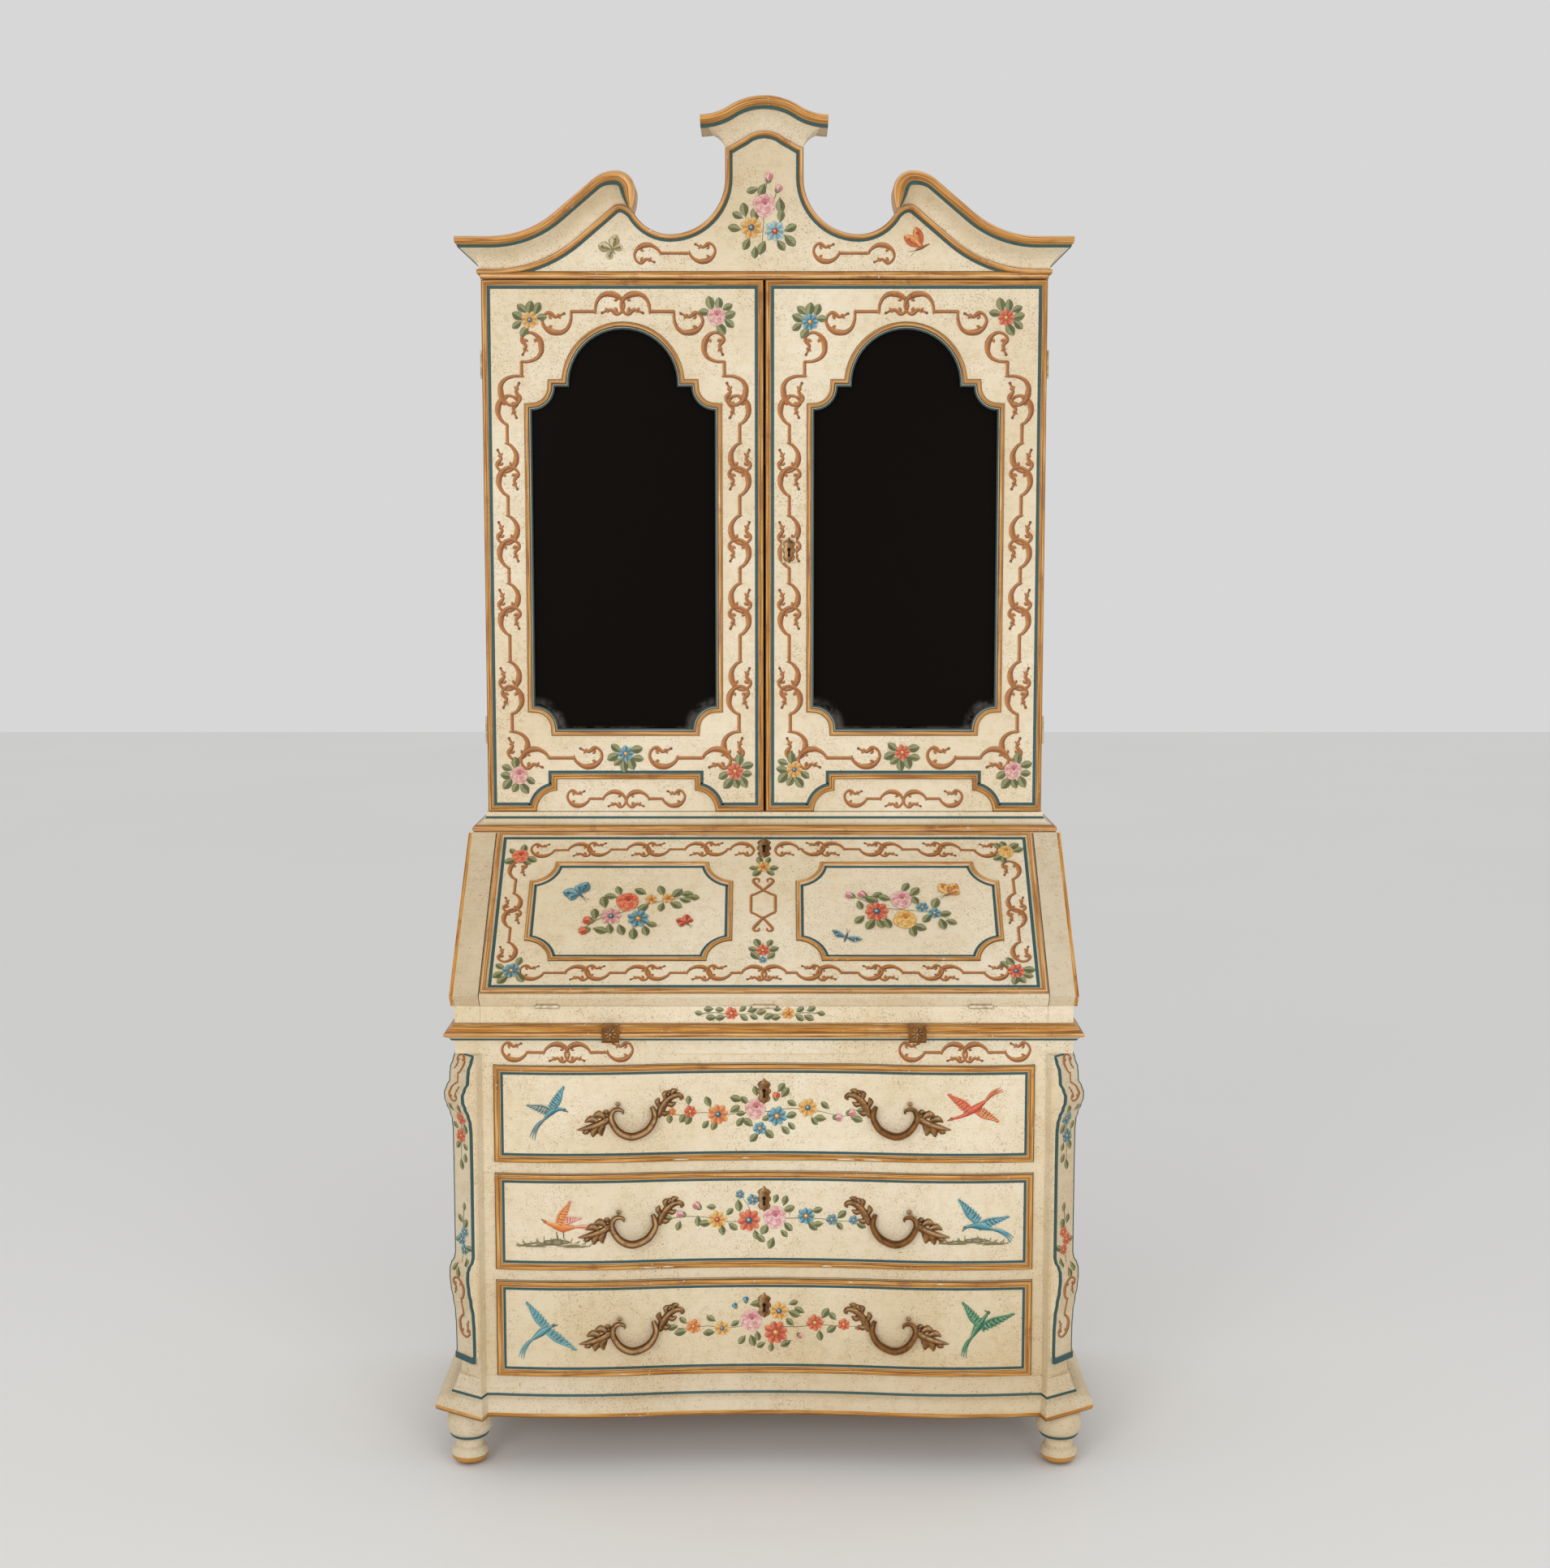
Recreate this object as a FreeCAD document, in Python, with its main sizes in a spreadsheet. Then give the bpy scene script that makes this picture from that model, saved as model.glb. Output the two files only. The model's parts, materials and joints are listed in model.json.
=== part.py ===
import FreeCAD, Part
import math
import os
import Sketcher

# A painted slant-front secretary with a two-door bookcase on top.
# Millimetres, +Z up, the front faces -Y, the origin is on the floor under the middle of the whole.

DIMENSIONS = [
    # lower case
    ("case_width", 1012, "width of the lower case over its sides"),
    ("case_depth", 534, "frieze plane to the back"),
    ("side_board", 20, "thickness of the side boards"),
    ("back_board", 10, "thickness of the back panels"),
    ("foot_height", 92, "floor to the underside of the plinth"),
    ("foot_radius", 38, "cushion of the turned foot"),
    ("foot_ball", 31, "lower ball of the foot"),
    ("foot_neck", 23, "neck between cushion and ball"),
    ("foot_inset", 12, "foot centre inside the side of the case"),
    ("foot_back", 46, "rear foot centre ahead of the back"),
    ("foot_ahead", 16, "front foot centre behind the frieze plane"),
    ("tenon_radius", 12, "round tenon of the foot"),
    ("tenon_length", 24, "tenon let into the plinth"),
    ("plinth_height", 63.3, "height of the plinth frame"),
    ("plinth_front", 46, "furthest point of the plinth ahead of the frieze plane"),
    ("plinth_swell", 24, "edge of the plinth ahead of the drawer rails"),
    ("plinth_side", 44, "edge of the plinth beyond the sides"),
    ("plinth_step", 3, "plinth beyond the carcass at its top"),
    ("plinth_rim", 60, "depth of the plinth frame behind the frieze plane"),
    ("post_face", 44, "inner facet of the corner post inside the case's side"),
    ("ridge_inset", 37, "ridge of the corner post inside the case's side"),
    ("post_half", "=case_width / 2 - post_face", "centre to the inner facet of the corner post"),
    ("post_ridge", "=case_width / 2 - ridge_inset", "centre to the ridge of the corner post"),
    ("post_ahead", 19, "ridge ahead of the frieze plane"),
    ("strip_width", 48, "width of the pilaster strip"),
    ("strip_depth", 9, "thickness of the strip's plain shaft"),
    ("strip_bulge", 30, "thickness of the strip at its upper scroll"),
    ("strip_foot", 25, "gap under the pilaster strip"),
    ("frieze_height", 22, "thickness of the flat frieze board"),
    # drawers
    ("stile_width", 19, "stile between a drawer and the corner post"),
    ("drawer_width", "=2 * (post_half - stile_width)", "drawer front"),
    ("drawer_stack", "=writing_height - hinge_rise - mid_height - frieze_height - plinth_height - foot_height",
     "height that the drawers share with their rails"),
    ("drawer_height", "=(drawer_stack - top_rail - 2 * drawer_rail - 6 * drawer_gap) / 3", "drawer front"),
    ("drawer_rail", 17.4, "rail between two drawers"),
    ("top_rail", 17.7, "rail above the top drawer"),
    ("drawer_gap", 1.2, "running gap round a drawer"),
    ("drawer_proud", 3, "front ahead of the rails"),
    ("drawer_front", 24, "back of the drawer front behind the frieze plane"),
    ("drawer_board", 12, "sides and back of the drawers"),
    ("drawer_bottom", 8, "drawer bottoms"),
    ("drawer_clear", 34, "space behind a drawer"),
    ("drawer_depth", "=case_depth - back_board - drawer_clear", "frieze plane to the back of a drawer"),
    ("drawer_slack", 10, "sides of a drawer lower than its front"),
    ("slide_gap", 0.4, "gap under a running piece"),
    ("border_width", 10, "gilded border of the drawers and doors"),
    ("border_height", 4, "border above the field"),
    ("swell_cross", 200, "where the serpentine crosses the frieze plane"),
    ("swell_hollow", 10.5, "depth of the serpentine's hollow"),
    ("runner_width", 66, "drawer runner"),
    ("guide_height", 30, "guide beside a drawer"),
    # desk
    ("writing_height", 780, "floor to the writing bed"),
    ("hinge_rise", 28, "mid moulding to the writing bed"),
    ("bed_board", 19, "writing bed"),
    ("hinge_board", 20, "thickness of the hinge rail"),
    ("mid_height", 29, "height of the gilded mid moulding"),
    ("mid_nose", 17, "mid moulding beyond the case"),
    ("slope_angle", 42, "slope of the closed fall"),
    ("fall_length", 349, "fall from hinge to top edge"),
    ("fall_board", 23, "thickness of the fall"),
    ("cheek_width", 42, "cheek beside the fall"),
    ("fall_width", "=case_width - 2 * cheek_width", "width of the fall"),
    ("fall_gap", 1.2, "gap round the fall"),
    ("fall_moulding", 4, "mouldings above the fall"),
    ("fall_border", 11, "width of the fall's border"),
    ("panel_inner", 53, "fall panel's inner side from the centre"),
    ("panel_margin", 68, "fall panel's outer side inside the fall's edge"),
    ("panel_outer", "=fall_width / 2 - panel_margin", "fall panel's outer side from the centre"),
    ("panel_low", 68, "fall panel's lower side up the slope"),
    ("panel_high", 275, "fall panel's upper side up the slope"),
    ("panel_notch", 42, "radius of the panel's hollow corners"),
    ("panel_band", 9, "width of the panel moulding"),
    ("cheek_strip", 6, "gilded strip outside the cheeks"),
    ("desk_board", 20, "thickness of the desk top"),
    ("loper_place", 250, "centre of a loper from the centre line"),
    ("loper_width", 26, "loper"),
    ("loper_gap", 0.6, "gap round a loper"),
    ("loper_length", 370, "loper"),
    ("loper_guide", 14, "guide beside a loper"),
    ("pull_side", 29, "square pull of a loper"),
    ("pull_plate", 3, "thickness of the pull's plate"),
    ("pull_knob", 7, "radius of the pull's boss"),
    ("pull_boss", 6, "height of the pull's boss"),
    ("gallery_setback", 300, "front of the pigeonholes behind the frieze plane"),
    ("gallery_board", 8, "pigeonhole boards"),
    ("gallery_bay", 163, "half width of the middle bay"),
    ("gallery_shelf", 72, "height of the small drawers' space"),
    ("tray_wall", 6, "walls of the small drawers"),
    ("tray_gap", 1, "gap round the small drawers"),
    ("knob_radius", 8, "knob of a small drawer"),
    ("knob_length", 16, "knob of a small drawer"),
    # bookcase
    ("book_step", 23.5, "side of the bookcase inside the case's side"),
    ("book_width", "=case_width - 2 * book_step", "width of the bookcase"),
    ("book_setback", 274, "door faces behind the frieze plane"),
    ("book_height", 1008.2, "desk top to the cornice"),
    ("waist_height", 32.7, "moulding under the doors"),
    ("waist_nose", 25, "waist moulding beyond the bookcase"),
    ("door_gap", 1, "gap behind, over and under the doors"),
    ("door_meet", 3, "gap between the doors"),
    ("door_height", 909, "height of the doors"),
    ("door_thick", 22, "thickness of the doors"),
    ("shelf_board", 18, "bookcase boards"),
    ("shelf_first", 300, "bottom board to the first shelf"),
    ("shelf_second", 600, "bottom board to the second shelf"),
    ("shelf_setback", 15, "shelf behind the case's front edge"),
    ("glass_stile", 83, "side of a door to the mirror opening"),
    ("glass_half", "=(book_width / 2 - door_gap - door_meet / 2) / 2 - glass_stile",
     "half width of the mirror opening"),
    ("glass_bottom", 144, "door bottom to the opening"),
    ("glass_spring", 734, "door bottom to the springing of the arch"),
    ("glass_arch", "=glass_half - glass_notch - glass_step", "radius of the arch"),
    ("glass_step", 24, "step beside the arch"),
    ("glass_notch", 40, "hollow corners of the opening"),
    ("glass_band", 12, "moulding round the opening"),
    ("glass_lap", 9, "mirror wider than its opening"),
    ("glass_face", 8, "wood in front of the mirror"),
    ("glass_plate", 4, "mirror"),
    ("apron_half", 120, "half width of the door's apron"),
    ("apron_round", 36, "rounded shoulder of the apron"),
    ("apron_rise", 56, "height of the apron"),
    ("band_height", 13, "gilded band over the doors"),
    ("band_nose", 4, "band ahead of the pediment board"),
    ("cornice_side", 36, "cornice beyond the sides"),
    ("cornice_front", 55, "cornice ahead of the doors"),
    ("cornice_height", 47.7, "height of the cornice moulding"),
    ("rim_height", 13.5, "upright gilded rim of the cornice"),
    ("cornice_bead", 6, "bead under the cornice, beyond the case"),
    ("bead_height", 9, "height of that bead"),
    ("cove_bend", 36, "radius of the cornice's hollow"),
    ("swan_reach", 235.5, "peak of the swan neck inside the bookcase's side"),
    ("swan_peak", "=book_width / 2 - swan_reach", "peak of the swan neck from the centre"),
    ("swan_rise", 107, "peak above the cornice ends"),
    ("swan_hollow", 170, "radius of the swan neck's hollow"),
    ("swan_crown", 62, "radius of the swan neck's crown"),
    ("swan_slope", 40, "slope of the swan neck"),
    ("swan_curl", 31.5, "radius of the curl at its end"),
    ("curl_tuck", 5.5, "curl drawn in at its foot"),
    ("dip_reach", 87, "lowest point between neck and scroll inside the peak"),
    ("dip_place", "=swan_peak - dip_reach", "that point from the centre"),
    ("dip_above", 10, "that point above the cornice ends"),
    ("dip_outer", 70, "radius of the dip beside the scroll"),
    ("neck_arch", 28, "arch of the board under the cap"),
    ("neck_half", 66, "half width of the middle of the pediment"),
    ("neck_rise", 153, "underside of the cap above the cornice ends"),
    ("cap_half", 107, "half width of the cap"),
    ("cap_flare", 29.5, "height of the cap's hollow"),
    ("cap_rim", 15.5, "upright edge of the cap"),
    ("cap_arch", 31, "arch above the cap's edge"),
    # brass
    ("hinge_leaf", 1.4, "hinge leaves"),
    ("hinge_reach", 16, "width of a hinge leaf"),
    ("fall_knuckle", 2.4, "knuckle of the fall's hinges"),
    ("fall_hinge", 35, "length of the fall's hinges"),
    ("fall_hinge_place", 354, "outer hinges from the centre"),
    ("door_knuckle", 2.2, "knuckle of the door hinges"),
    ("door_hinge", 48, "length of the door hinges"),
    ("door_hinge_inset", 140, "door hinge centre from the door's end"),
    ("knuckle_gap", 0.4, "play in a hinge"),
    ("hinge_pin", 1.1, "radius of a hinge pin"),
    ("handle_place", 213, "handle from the centre line"),
    ("handle_bow", 33, "radius of the bow"),
    ("handle_bar", 5, "radius of the bow's bar"),
    ("handle_stand", 17, "bow ahead of the drawer front"),
    ("handle_leaf", 56, "length of a leaf beside the bow"),
    ("brass_bed", 0.3, "gap between the brass and a drawer front"),
    ("plate_width", 24, "key plates"),
    ("plate_height", 43, "key plates"),
    ("plate_thick", 2, "key plates"),
    ("plate_drop", 46, "drawer top to the middle of the key plate"),
    ("fall_plate", 316, "fall's key plate up the slope"),
    ("fall_plate_height", 30, "fall's key plate"),
    ("door_plate", 42, "door's key plate from the centre line"),
    ("door_plate_height", 452, "door bottom to its key plate"),
]

doc = FreeCAD.newDocument("secretary_bookcase")
sheet = doc.addObject("Spreadsheet::Sheet", "dims")
for row, (alias, number, note) in enumerate(DIMENSIONS, start=1):
    sheet.setAlias("A%d" % row, alias)
    sheet.set("B%d" % row, note)
doc.recompute()
for row, (alias, number, note) in enumerate(DIMENSIONS, start=1):
    sheet.set("A%d" % row, str(number))
doc.recompute()


class Size:
    """A length or angle: its number, and the sheet formula that it comes from."""

    def __init__(self, number, formula):
        self.number = float(number)
        self.formula = formula

    def __add__(self, other):
        other = as_size(other)
        return Size(self.number + other.number, "(%s + %s)" % (self.formula, other.formula))

    def __sub__(self, other):
        other = as_size(other)
        return Size(self.number - other.number, "(%s - %s)" % (self.formula, other.formula))

    def __mul__(self, other):
        other = as_size(other)
        return Size(self.number * other.number, "(%s * %s)" % (self.formula, other.formula))

    def __truediv__(self, other):
        other = as_size(other)
        return Size(self.number / other.number, "(%s / %s)" % (self.formula, other.formula))

    def __neg__(self):
        return Size(-self.number, "(0 - %s)" % self.formula)

    def __radd__(self, other):
        return as_size(other) + self

    def __rsub__(self, other):
        return as_size(other) - self

    def __rmul__(self, other):
        return as_size(other) * self

    def __float__(self):
        return self.number


def as_size(value):
    """A plain number is a size with itself as its formula."""
    if isinstance(value, Size):
        return value
    return Size(value, repr(float(value)))


def sine(angle):
    return Size(math.sin(math.radians(angle.number)), "sin(%s * 1 deg)" % angle.formula)


def cosine(angle):
    return Size(math.cos(math.radians(angle.number)), "cos(%s * 1 deg)" % angle.formula)


def root(value):
    return Size(math.sqrt(value.number), "sqrt(%s)" % value.formula)


class Sizes:
    """Every driving dimension by its alias."""


D = Sizes()
for alias, number, note in DIMENSIONS:
    setattr(D, alias, Size(sheet.get(alias), "dims." + alias))

nodes = []


def keep(thing, label):
    """Names a finished piece and puts it on the list of pieces."""
    thing.Label = label
    nodes.append(thing)
    return thing


def bind(thing, prop, size):
    thing.setExpression(prop, as_size(size).formula)


def block(low, high):
    """A rectangular board between two corners."""
    box = doc.addObject("Part::Box", "block")
    for name, axis, a, b in zip(("Length", "Width", "Height"), "xyz", low, high):
        bind(box, name, as_size(b) - a)
        bind(box, "Placement.Base." + axis, a)
    return box


def pair_of_blocks(low, high):
    """The same board on both sides of the centre line."""
    other_low = (-as_size(high[0]), low[1], low[2])
    other_high = (-as_size(low[0]), high[1], high[2])
    return [block(low, high), block(other_low, other_high)]


def compound(parts):
    thing = doc.addObject("Part::Compound", "set")
    thing.Links = parts
    return thing


def cut(base, tools):
    """A piece with other shapes taken out of it."""
    thing = doc.addObject("Part::Cut", "cut")
    thing.Base = base
    thing.Tool = tools[0] if len(tools) == 1 else compound(tools)
    return thing


def shape_piece(shape):
    """A piece that only a free shape describes."""
    thing = doc.addObject("Part::Feature", "shape")
    thing.Shape = shape
    thing.Placement = FreeCAD.Placement()
    return thing


def point(u, v, plane, level):
    """A point of an outline drawn in a plane: u and v across it, level along its normal axis."""
    if plane == "XY":
        return FreeCAD.Vector(u, v, level)
    if plane == "XZ":
        return FreeCAD.Vector(u, level, v)
    return FreeCAD.Vector(level, u, v)


def arc_of(start, end, bend):
    """Centre, start angle and end angle, anticlockwise, of the lesser arc; a negative bend turns right."""
    chord = math.dist(start, end)
    radius = abs(bend)
    rise = math.sqrt(max(radius * radius - chord * chord / 4, 0))
    left = (-(end[1] - start[1]) / chord, (end[0] - start[0]) / chord)
    turn = 1 if bend > 0 else -1
    centre = tuple((start[i] + end[i]) / 2 + turn * rise * left[i] for i in range(2))
    first, last = (start, end) if bend > 0 else (end, start)
    begin = math.atan2(first[1] - centre[1], first[0] - centre[0])
    finish = math.atan2(last[1] - centre[1], last[0] - centre[0])
    if finish < begin:
        finish += 2 * math.pi
    return centre, begin, finish


def wire(corners, plane, level):
    """A closed outline of straight and round sides; a corner's third value bends the side after it."""
    edges = []
    flat = [tuple(float(v) if v is not None else None for v in c) for c in corners]
    for here, there in zip(flat, flat[1:] + flat[:1]):
        start = point(here[0], here[1], plane, level)
        end = point(there[0], there[1], plane, level)
        if len(here) < 3 or here[2] is None:
            edges.append(Part.LineSegment(start, end).toShape())
            continue
        centre, begin, finish = arc_of(here[:2], there[:2], here[2])
        half = (begin + finish) / 2
        radius = abs(here[2])
        middle = point(centre[0] + radius * math.cos(half), centre[1] + radius * math.sin(half), plane, level)
        edges.append(Part.Arc(start, middle, end).toShape())
    return Part.Wire(edges)


def slab(corners, plane, low, high):
    """The solid over an outline between two levels of its normal axis."""
    face = Part.Face(wire(corners, plane, float(low)))
    depth = float(high) - float(low)
    return face.extrude(point(0, 0, plane, depth))


def draw(sketch, corners):
    """Draws a closed outline in a sketch and ties every corner and radius to the sheet."""
    sized = [tuple(as_size(v) if v is not None else None for v in c) for c in corners]
    sides = []
    for here, there in zip(sized, sized[1:] + sized[:1]):
        start = (here[0].number, here[1].number)
        end = (there[0].number, there[1].number)
        if len(here) < 3 or here[2] is None:
            line = Part.LineSegment(FreeCAD.Vector(*start, 0), FreeCAD.Vector(*end, 0))
            sides.append((sketch.addGeometry(line), 1, 2))
            continue
        bend = here[2].number
        centre, begin, finish = arc_of(start, end, bend)
        circle = Part.Circle(FreeCAD.Vector(*centre, 0), FreeCAD.Vector(0, 0, 1), abs(bend))
        side = sketch.addGeometry(Part.ArcOfCircle(circle, begin, finish))
        sides.append((side, 1, 2) if bend > 0 else (side, 2, 1))
    for index, (here, side) in enumerate(zip(sized, sides)):
        before = sides[index - 1]
        sketch.addConstraint(Sketcher.Constraint("Coincident", before[0], before[2], side[0], side[1]))
        for kind, value in (("DistanceX", here[0]), ("DistanceY", here[1])):
            number = sketch.addConstraint(Sketcher.Constraint(kind, -1, 1, side[0], side[1], value.number))
            sketch.setExpression("Constraints[%d]" % number, value.formula)
        if len(here) > 2 and here[2] is not None:
            radius = here[2] if here[2].number > 0 else -here[2]
            number = sketch.addConstraint(Sketcher.Constraint("Radius", side[0], radius.number))
            sketch.setExpression("Constraints[%d]" % number, radius.formula)


def origin_plane(body, plane):
    return [f for f in body.Origin.OriginFeatures if f.Role == plane + "_Plane"][0]


def start_level(plane, low, high):
    """Where a pad starts along its sketch's normal: the XZ plane's normal points to the front."""
    return -as_size(high) if plane == "XZ" else as_size(low)


def sketch_on(body, plane, level, outlines):
    sketch = body.newObject("Sketcher::SketchObject", "outline")
    sketch.AttachmentSupport = [(origin_plane(body, plane), "")]
    sketch.MapMode = "FlatFace"
    sketch.setExpression("AttachmentOffset.Base.z", as_size(level).formula)
    for corners in outlines:
        draw(sketch, corners)
    return sketch


def pad(plane, low, high, *outlines):
    """A body padded from one outline, less any outlines inside it, between two levels."""
    body = doc.addObject("PartDesign::Body", "body")
    sketch = sketch_on(body, plane, start_level(plane, low, high), outlines)
    feature = body.newObject("PartDesign::Pad", "pad")
    feature.Profile = sketch
    feature.setExpression("Length", (as_size(high) - low).formula)
    return body


def turned(profile, x, y, z):
    """A turned piece: a profile of radius and height spun round its upright axis."""
    body = doc.addObject("PartDesign::Body", "turned")
    sketch = sketch_on(body, "XZ", as_size(0), [profile])
    feature = body.newObject("PartDesign::Revolution", "spin")
    feature.Profile = sketch
    feature.ReferenceAxis = (sketch, ["V_Axis"])
    feature.Angle = 360
    for axis, value in zip("xyz", (x, y, z)):
        body.setExpression("Placement.Base." + axis, as_size(value).formula)
    return body


# Levels and planes that several pieces share.
front = (D.plinth_front - D.case_depth) / 2
back = front + D.case_depth
panel_face = back - D.back_board
half_case = D.case_width / 2
inner_case = half_case - D.side_board
plinth_top = D.foot_height + D.plinth_height
pitch = D.drawer_height + D.drawer_gap * 2 + D.drawer_rail
opening_half = D.drawer_width / 2 + D.drawer_gap
rail_low = plinth_top + pitch * 3 - D.drawer_rail
frieze_low = rail_low + D.top_rail
frieze_top = frieze_low + D.frieze_height
post_back = front + D.plinth_rim
ridge_y = front - D.post_ahead
cant_end_y = ridge_y + (half_case - D.post_ridge)
opening_low = [plinth_top + pitch * level for level in (2, 1, 0)]

# The serpentine front in plan: two swells and a hollow, tangent to each other.
hollow_bend = (D.swell_cross * D.swell_cross + D.swell_hollow * D.swell_hollow) / (D.swell_hollow * 2)


def serpentine(half, ahead):
    """The serpentine from left to right between two ends; ahead moves it to the front."""
    swell_bend = hollow_bend * (half - D.swell_cross) / (D.swell_cross * 2)
    y = front - ahead
    return [
        (-half, y, swell_bend),
        (-D.swell_cross, y, -hollow_bend),
        (D.swell_cross, y, swell_bend),
        (half, y),
    ]


def serpentine_board(half, ahead, rear):
    """A board in plan with a serpentine front and a straight back."""
    corners = serpentine(half, ahead)
    return corners + [(half, rear), (-half, rear)]


# Feet, turned, each with a round tenon let into the plinth.
# height as a share of the foot, and radius there
foot_profile = [(0, 0)]
for share, radius in (
    (0, D.foot_ball * 0.42),
    (0.03, D.foot_ball * 0.65),
    (0.09, D.foot_ball * 0.86),
    (0.15, D.foot_ball * 0.97),
    (0.22, D.foot_ball),
    (0.28, D.foot_ball * 0.94),
    (0.34, D.foot_neck * 1.08),
    (0.38, D.foot_neck),
    (0.44, D.foot_neck),
    (0.49, D.foot_neck * 1.1),
    (0.525, D.foot_radius * 0.8),
    (0.575, D.foot_radius * 0.82),
    (0.6, D.foot_radius * 0.9),
    (0.65, D.foot_radius * 0.97),
    (0.71, D.foot_radius),
    (0.82, D.foot_radius * 0.98),
    (0.93, D.foot_radius * 0.87),
    (1, D.foot_radius * 0.78),
):
    foot_profile.append((radius, D.foot_height * share))
foot_profile += [
    (D.tenon_radius, D.foot_height),
    (D.tenon_radius, D.foot_height + D.tenon_length),
    (0, D.foot_height + D.tenon_length),
]
foot_places = []
for foot_y in (front + D.foot_ahead, back - D.foot_back):
    for foot_x in (D.foot_inset - half_case, half_case - D.foot_inset):
        foot_places.append((foot_x, foot_y))
keep(compound([turned(foot_profile, x, y, 0) for x, y in foot_places]), "bun_feet")


# Plinth: a frame whose edge swells from the carcass to a broad upright nose.
def plinth_outline(side, swell, ridge_out, ahead, z):
    """The plinth in plan: how far its sides, its serpentine and its corner ridges stand out."""
    outer = half_case + side
    ridge = D.post_ridge + ridge_out
    inner = D.post_half + ridge_out
    ridge_front = front - ahead
    cant_back = ridge_front + (outer - ridge) * 0.65
    right = [(inner, front - swell), (ridge, ridge_front), (outer, cant_back), (outer, back)]
    left = [(-u, v) for u, v in reversed(right)]
    return wire(left + serpentine(opening_half, swell) + right, "XY", float(z))


# share of the plinth's height, and share of its projection there: nose, round, fillet and flare
plinth_levels = []
for rise, share in (
    (0, 0.93),
    (0.126, 1),
    (0.22, 0.97),
    (0.316, 0.87),
    (0.41, 0.68),
    (0.474, 0.45),
    (0.498, 0.32),
    (0.553, 0.29),
    (0.569, 0.24),
    (0.66, 0.14),
    (0.82, 0.04),
    (1, 0),
):
    plinth_levels.append(
        plinth_outline(
            D.plinth_step + (D.plinth_side - D.plinth_step) * share,
            D.plinth_step * 0.7 + (D.plinth_swell - D.plinth_step * 0.7) * share,
            as_size(-5 * share),
            D.post_ahead + (D.plinth_front - D.post_ahead) * share,
            D.foot_height + D.plinth_height * rise,
        )
    )
plinth_shape = Part.makeLoft(plinth_levels, True, True)
well_half = opening_half
well = Part.makeBox(
    2 * float(well_half),
    float(back - post_back),
    float(D.plinth_height),
    FreeCAD.Vector(-float(well_half), float(post_back), float(D.foot_height)),
)
sockets = [
    Part.makeCylinder(
        float(D.tenon_radius), float(D.tenon_length), FreeCAD.Vector(float(x), float(y), float(D.foot_height))
    )
    for x, y in foot_places
]
keep(shape_piece(plinth_shape.cut([well] + sockets)), "plinth_moulding")

floor_low = plinth_top - D.side_board
keep(block((-well_half, post_back, floor_low), (well_half, panel_face, plinth_top)), "base_bottom")

sides = pair_of_blocks((inner_case, post_back, plinth_top), (half_case, back, frieze_low))
keep(compound(sides), "base_sides")

# Corner posts stand diagonally: a front stile, a short facet, and a face at 45 degrees.
posts = []
for side in (1, -1):
    plan = [
        (opening_half, front),
        (D.post_half, front),
        (D.post_ridge, ridge_y),
        (half_case, cant_end_y),
        (half_case, post_back),
        (opening_half, post_back),
    ]
    posts.append(pad("XY", plinth_top, frieze_low, [(u * side, v) for u, v in plan]))
keep(compound(posts), "corner_posts")


# Pilaster strips: a scrolled profile across the diagonal face of each post.
def strip_shape(side):
    foot = float(plinth_top + D.strip_foot)
    top = float(frieze_low)
    tall = top - foot
    shaft = float(D.strip_depth)
    bulge = float(D.strip_bulge)
    # share of the height, and thickness there, from the top scroll down to the foot
    curve = [
        (1.0, shaft * 0.17),
        (0.965, shaft * 0.9),
        (0.93, bulge * 0.55),
        (0.912, bulge * 0.44),
        (0.89, bulge * 0.87),
        (0.872, bulge),
        (0.85, bulge * 0.95),
        (0.82, bulge * 0.57),
        (0.785, shaft * 1.22),
        (0.74, shaft),
        (0.6, shaft),
        (0.36, shaft),
        (0.335, shaft * 1.17),
        (0.31, bulge * 0.62),
        (0.287, bulge * 0.87),
        (0.245, bulge * 0.73),
        (0.195, bulge * 0.45),
        (0.135, shaft),
        (0.045, shaft * 0.9),
    ]
    points = [FreeCAD.Vector(depth, 0, foot + tall * share) for share, depth in curve]
    spline = Part.BSplineCurve()
    spline.interpolate(points)
    foot_points = [
        points[-1],
        FreeCAD.Vector(shaft * 1.3, 0, foot + tall * 0.02),
        FreeCAD.Vector(shaft * 1.3, 0, foot),
        FreeCAD.Vector(0, 0, foot),
        FreeCAD.Vector(0, 0, top),
        points[0],
    ]
    rest = Part.makePolygon(foot_points)
    face = Part.Face(Part.Wire([spline.toShape()] + rest.Edges))
    width = float(D.strip_width)
    solid = face.extrude(FreeCAD.Vector(0, width, 0))
    solid.translate(FreeCAD.Vector(0, -width / 2, 0))
    solid.rotate(FreeCAD.Vector(0, 0, 0), FreeCAD.Vector(0, 0, 1), -45)
    centre_x = float((D.post_ridge + half_case) / 2)
    centre_y = float((ridge_y + cant_end_y) / 2)
    solid.translate(FreeCAD.Vector(centre_x, centre_y, 0))
    if side < 0:
        solid = solid.mirror(FreeCAD.Vector(0, 0, 0), FreeCAD.Vector(1, 0, 0))
    return solid


keep(shape_piece(Part.makeCompound([strip_shape(1), strip_shape(-1)])), "pilaster_strips")

# Rails between and above the drawers follow the serpentine.
rails = []
for low, high in (
    (plinth_top + pitch - D.drawer_rail, plinth_top + pitch),
    (plinth_top + pitch * 2 - D.drawer_rail, plinth_top + pitch * 2),
    (rail_low, frieze_low),
):
    rails.append(pad("XY", low, high, serpentine_board(opening_half, as_size(0), post_back)))
keep(compound(rails), "drawer_rails")

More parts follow.
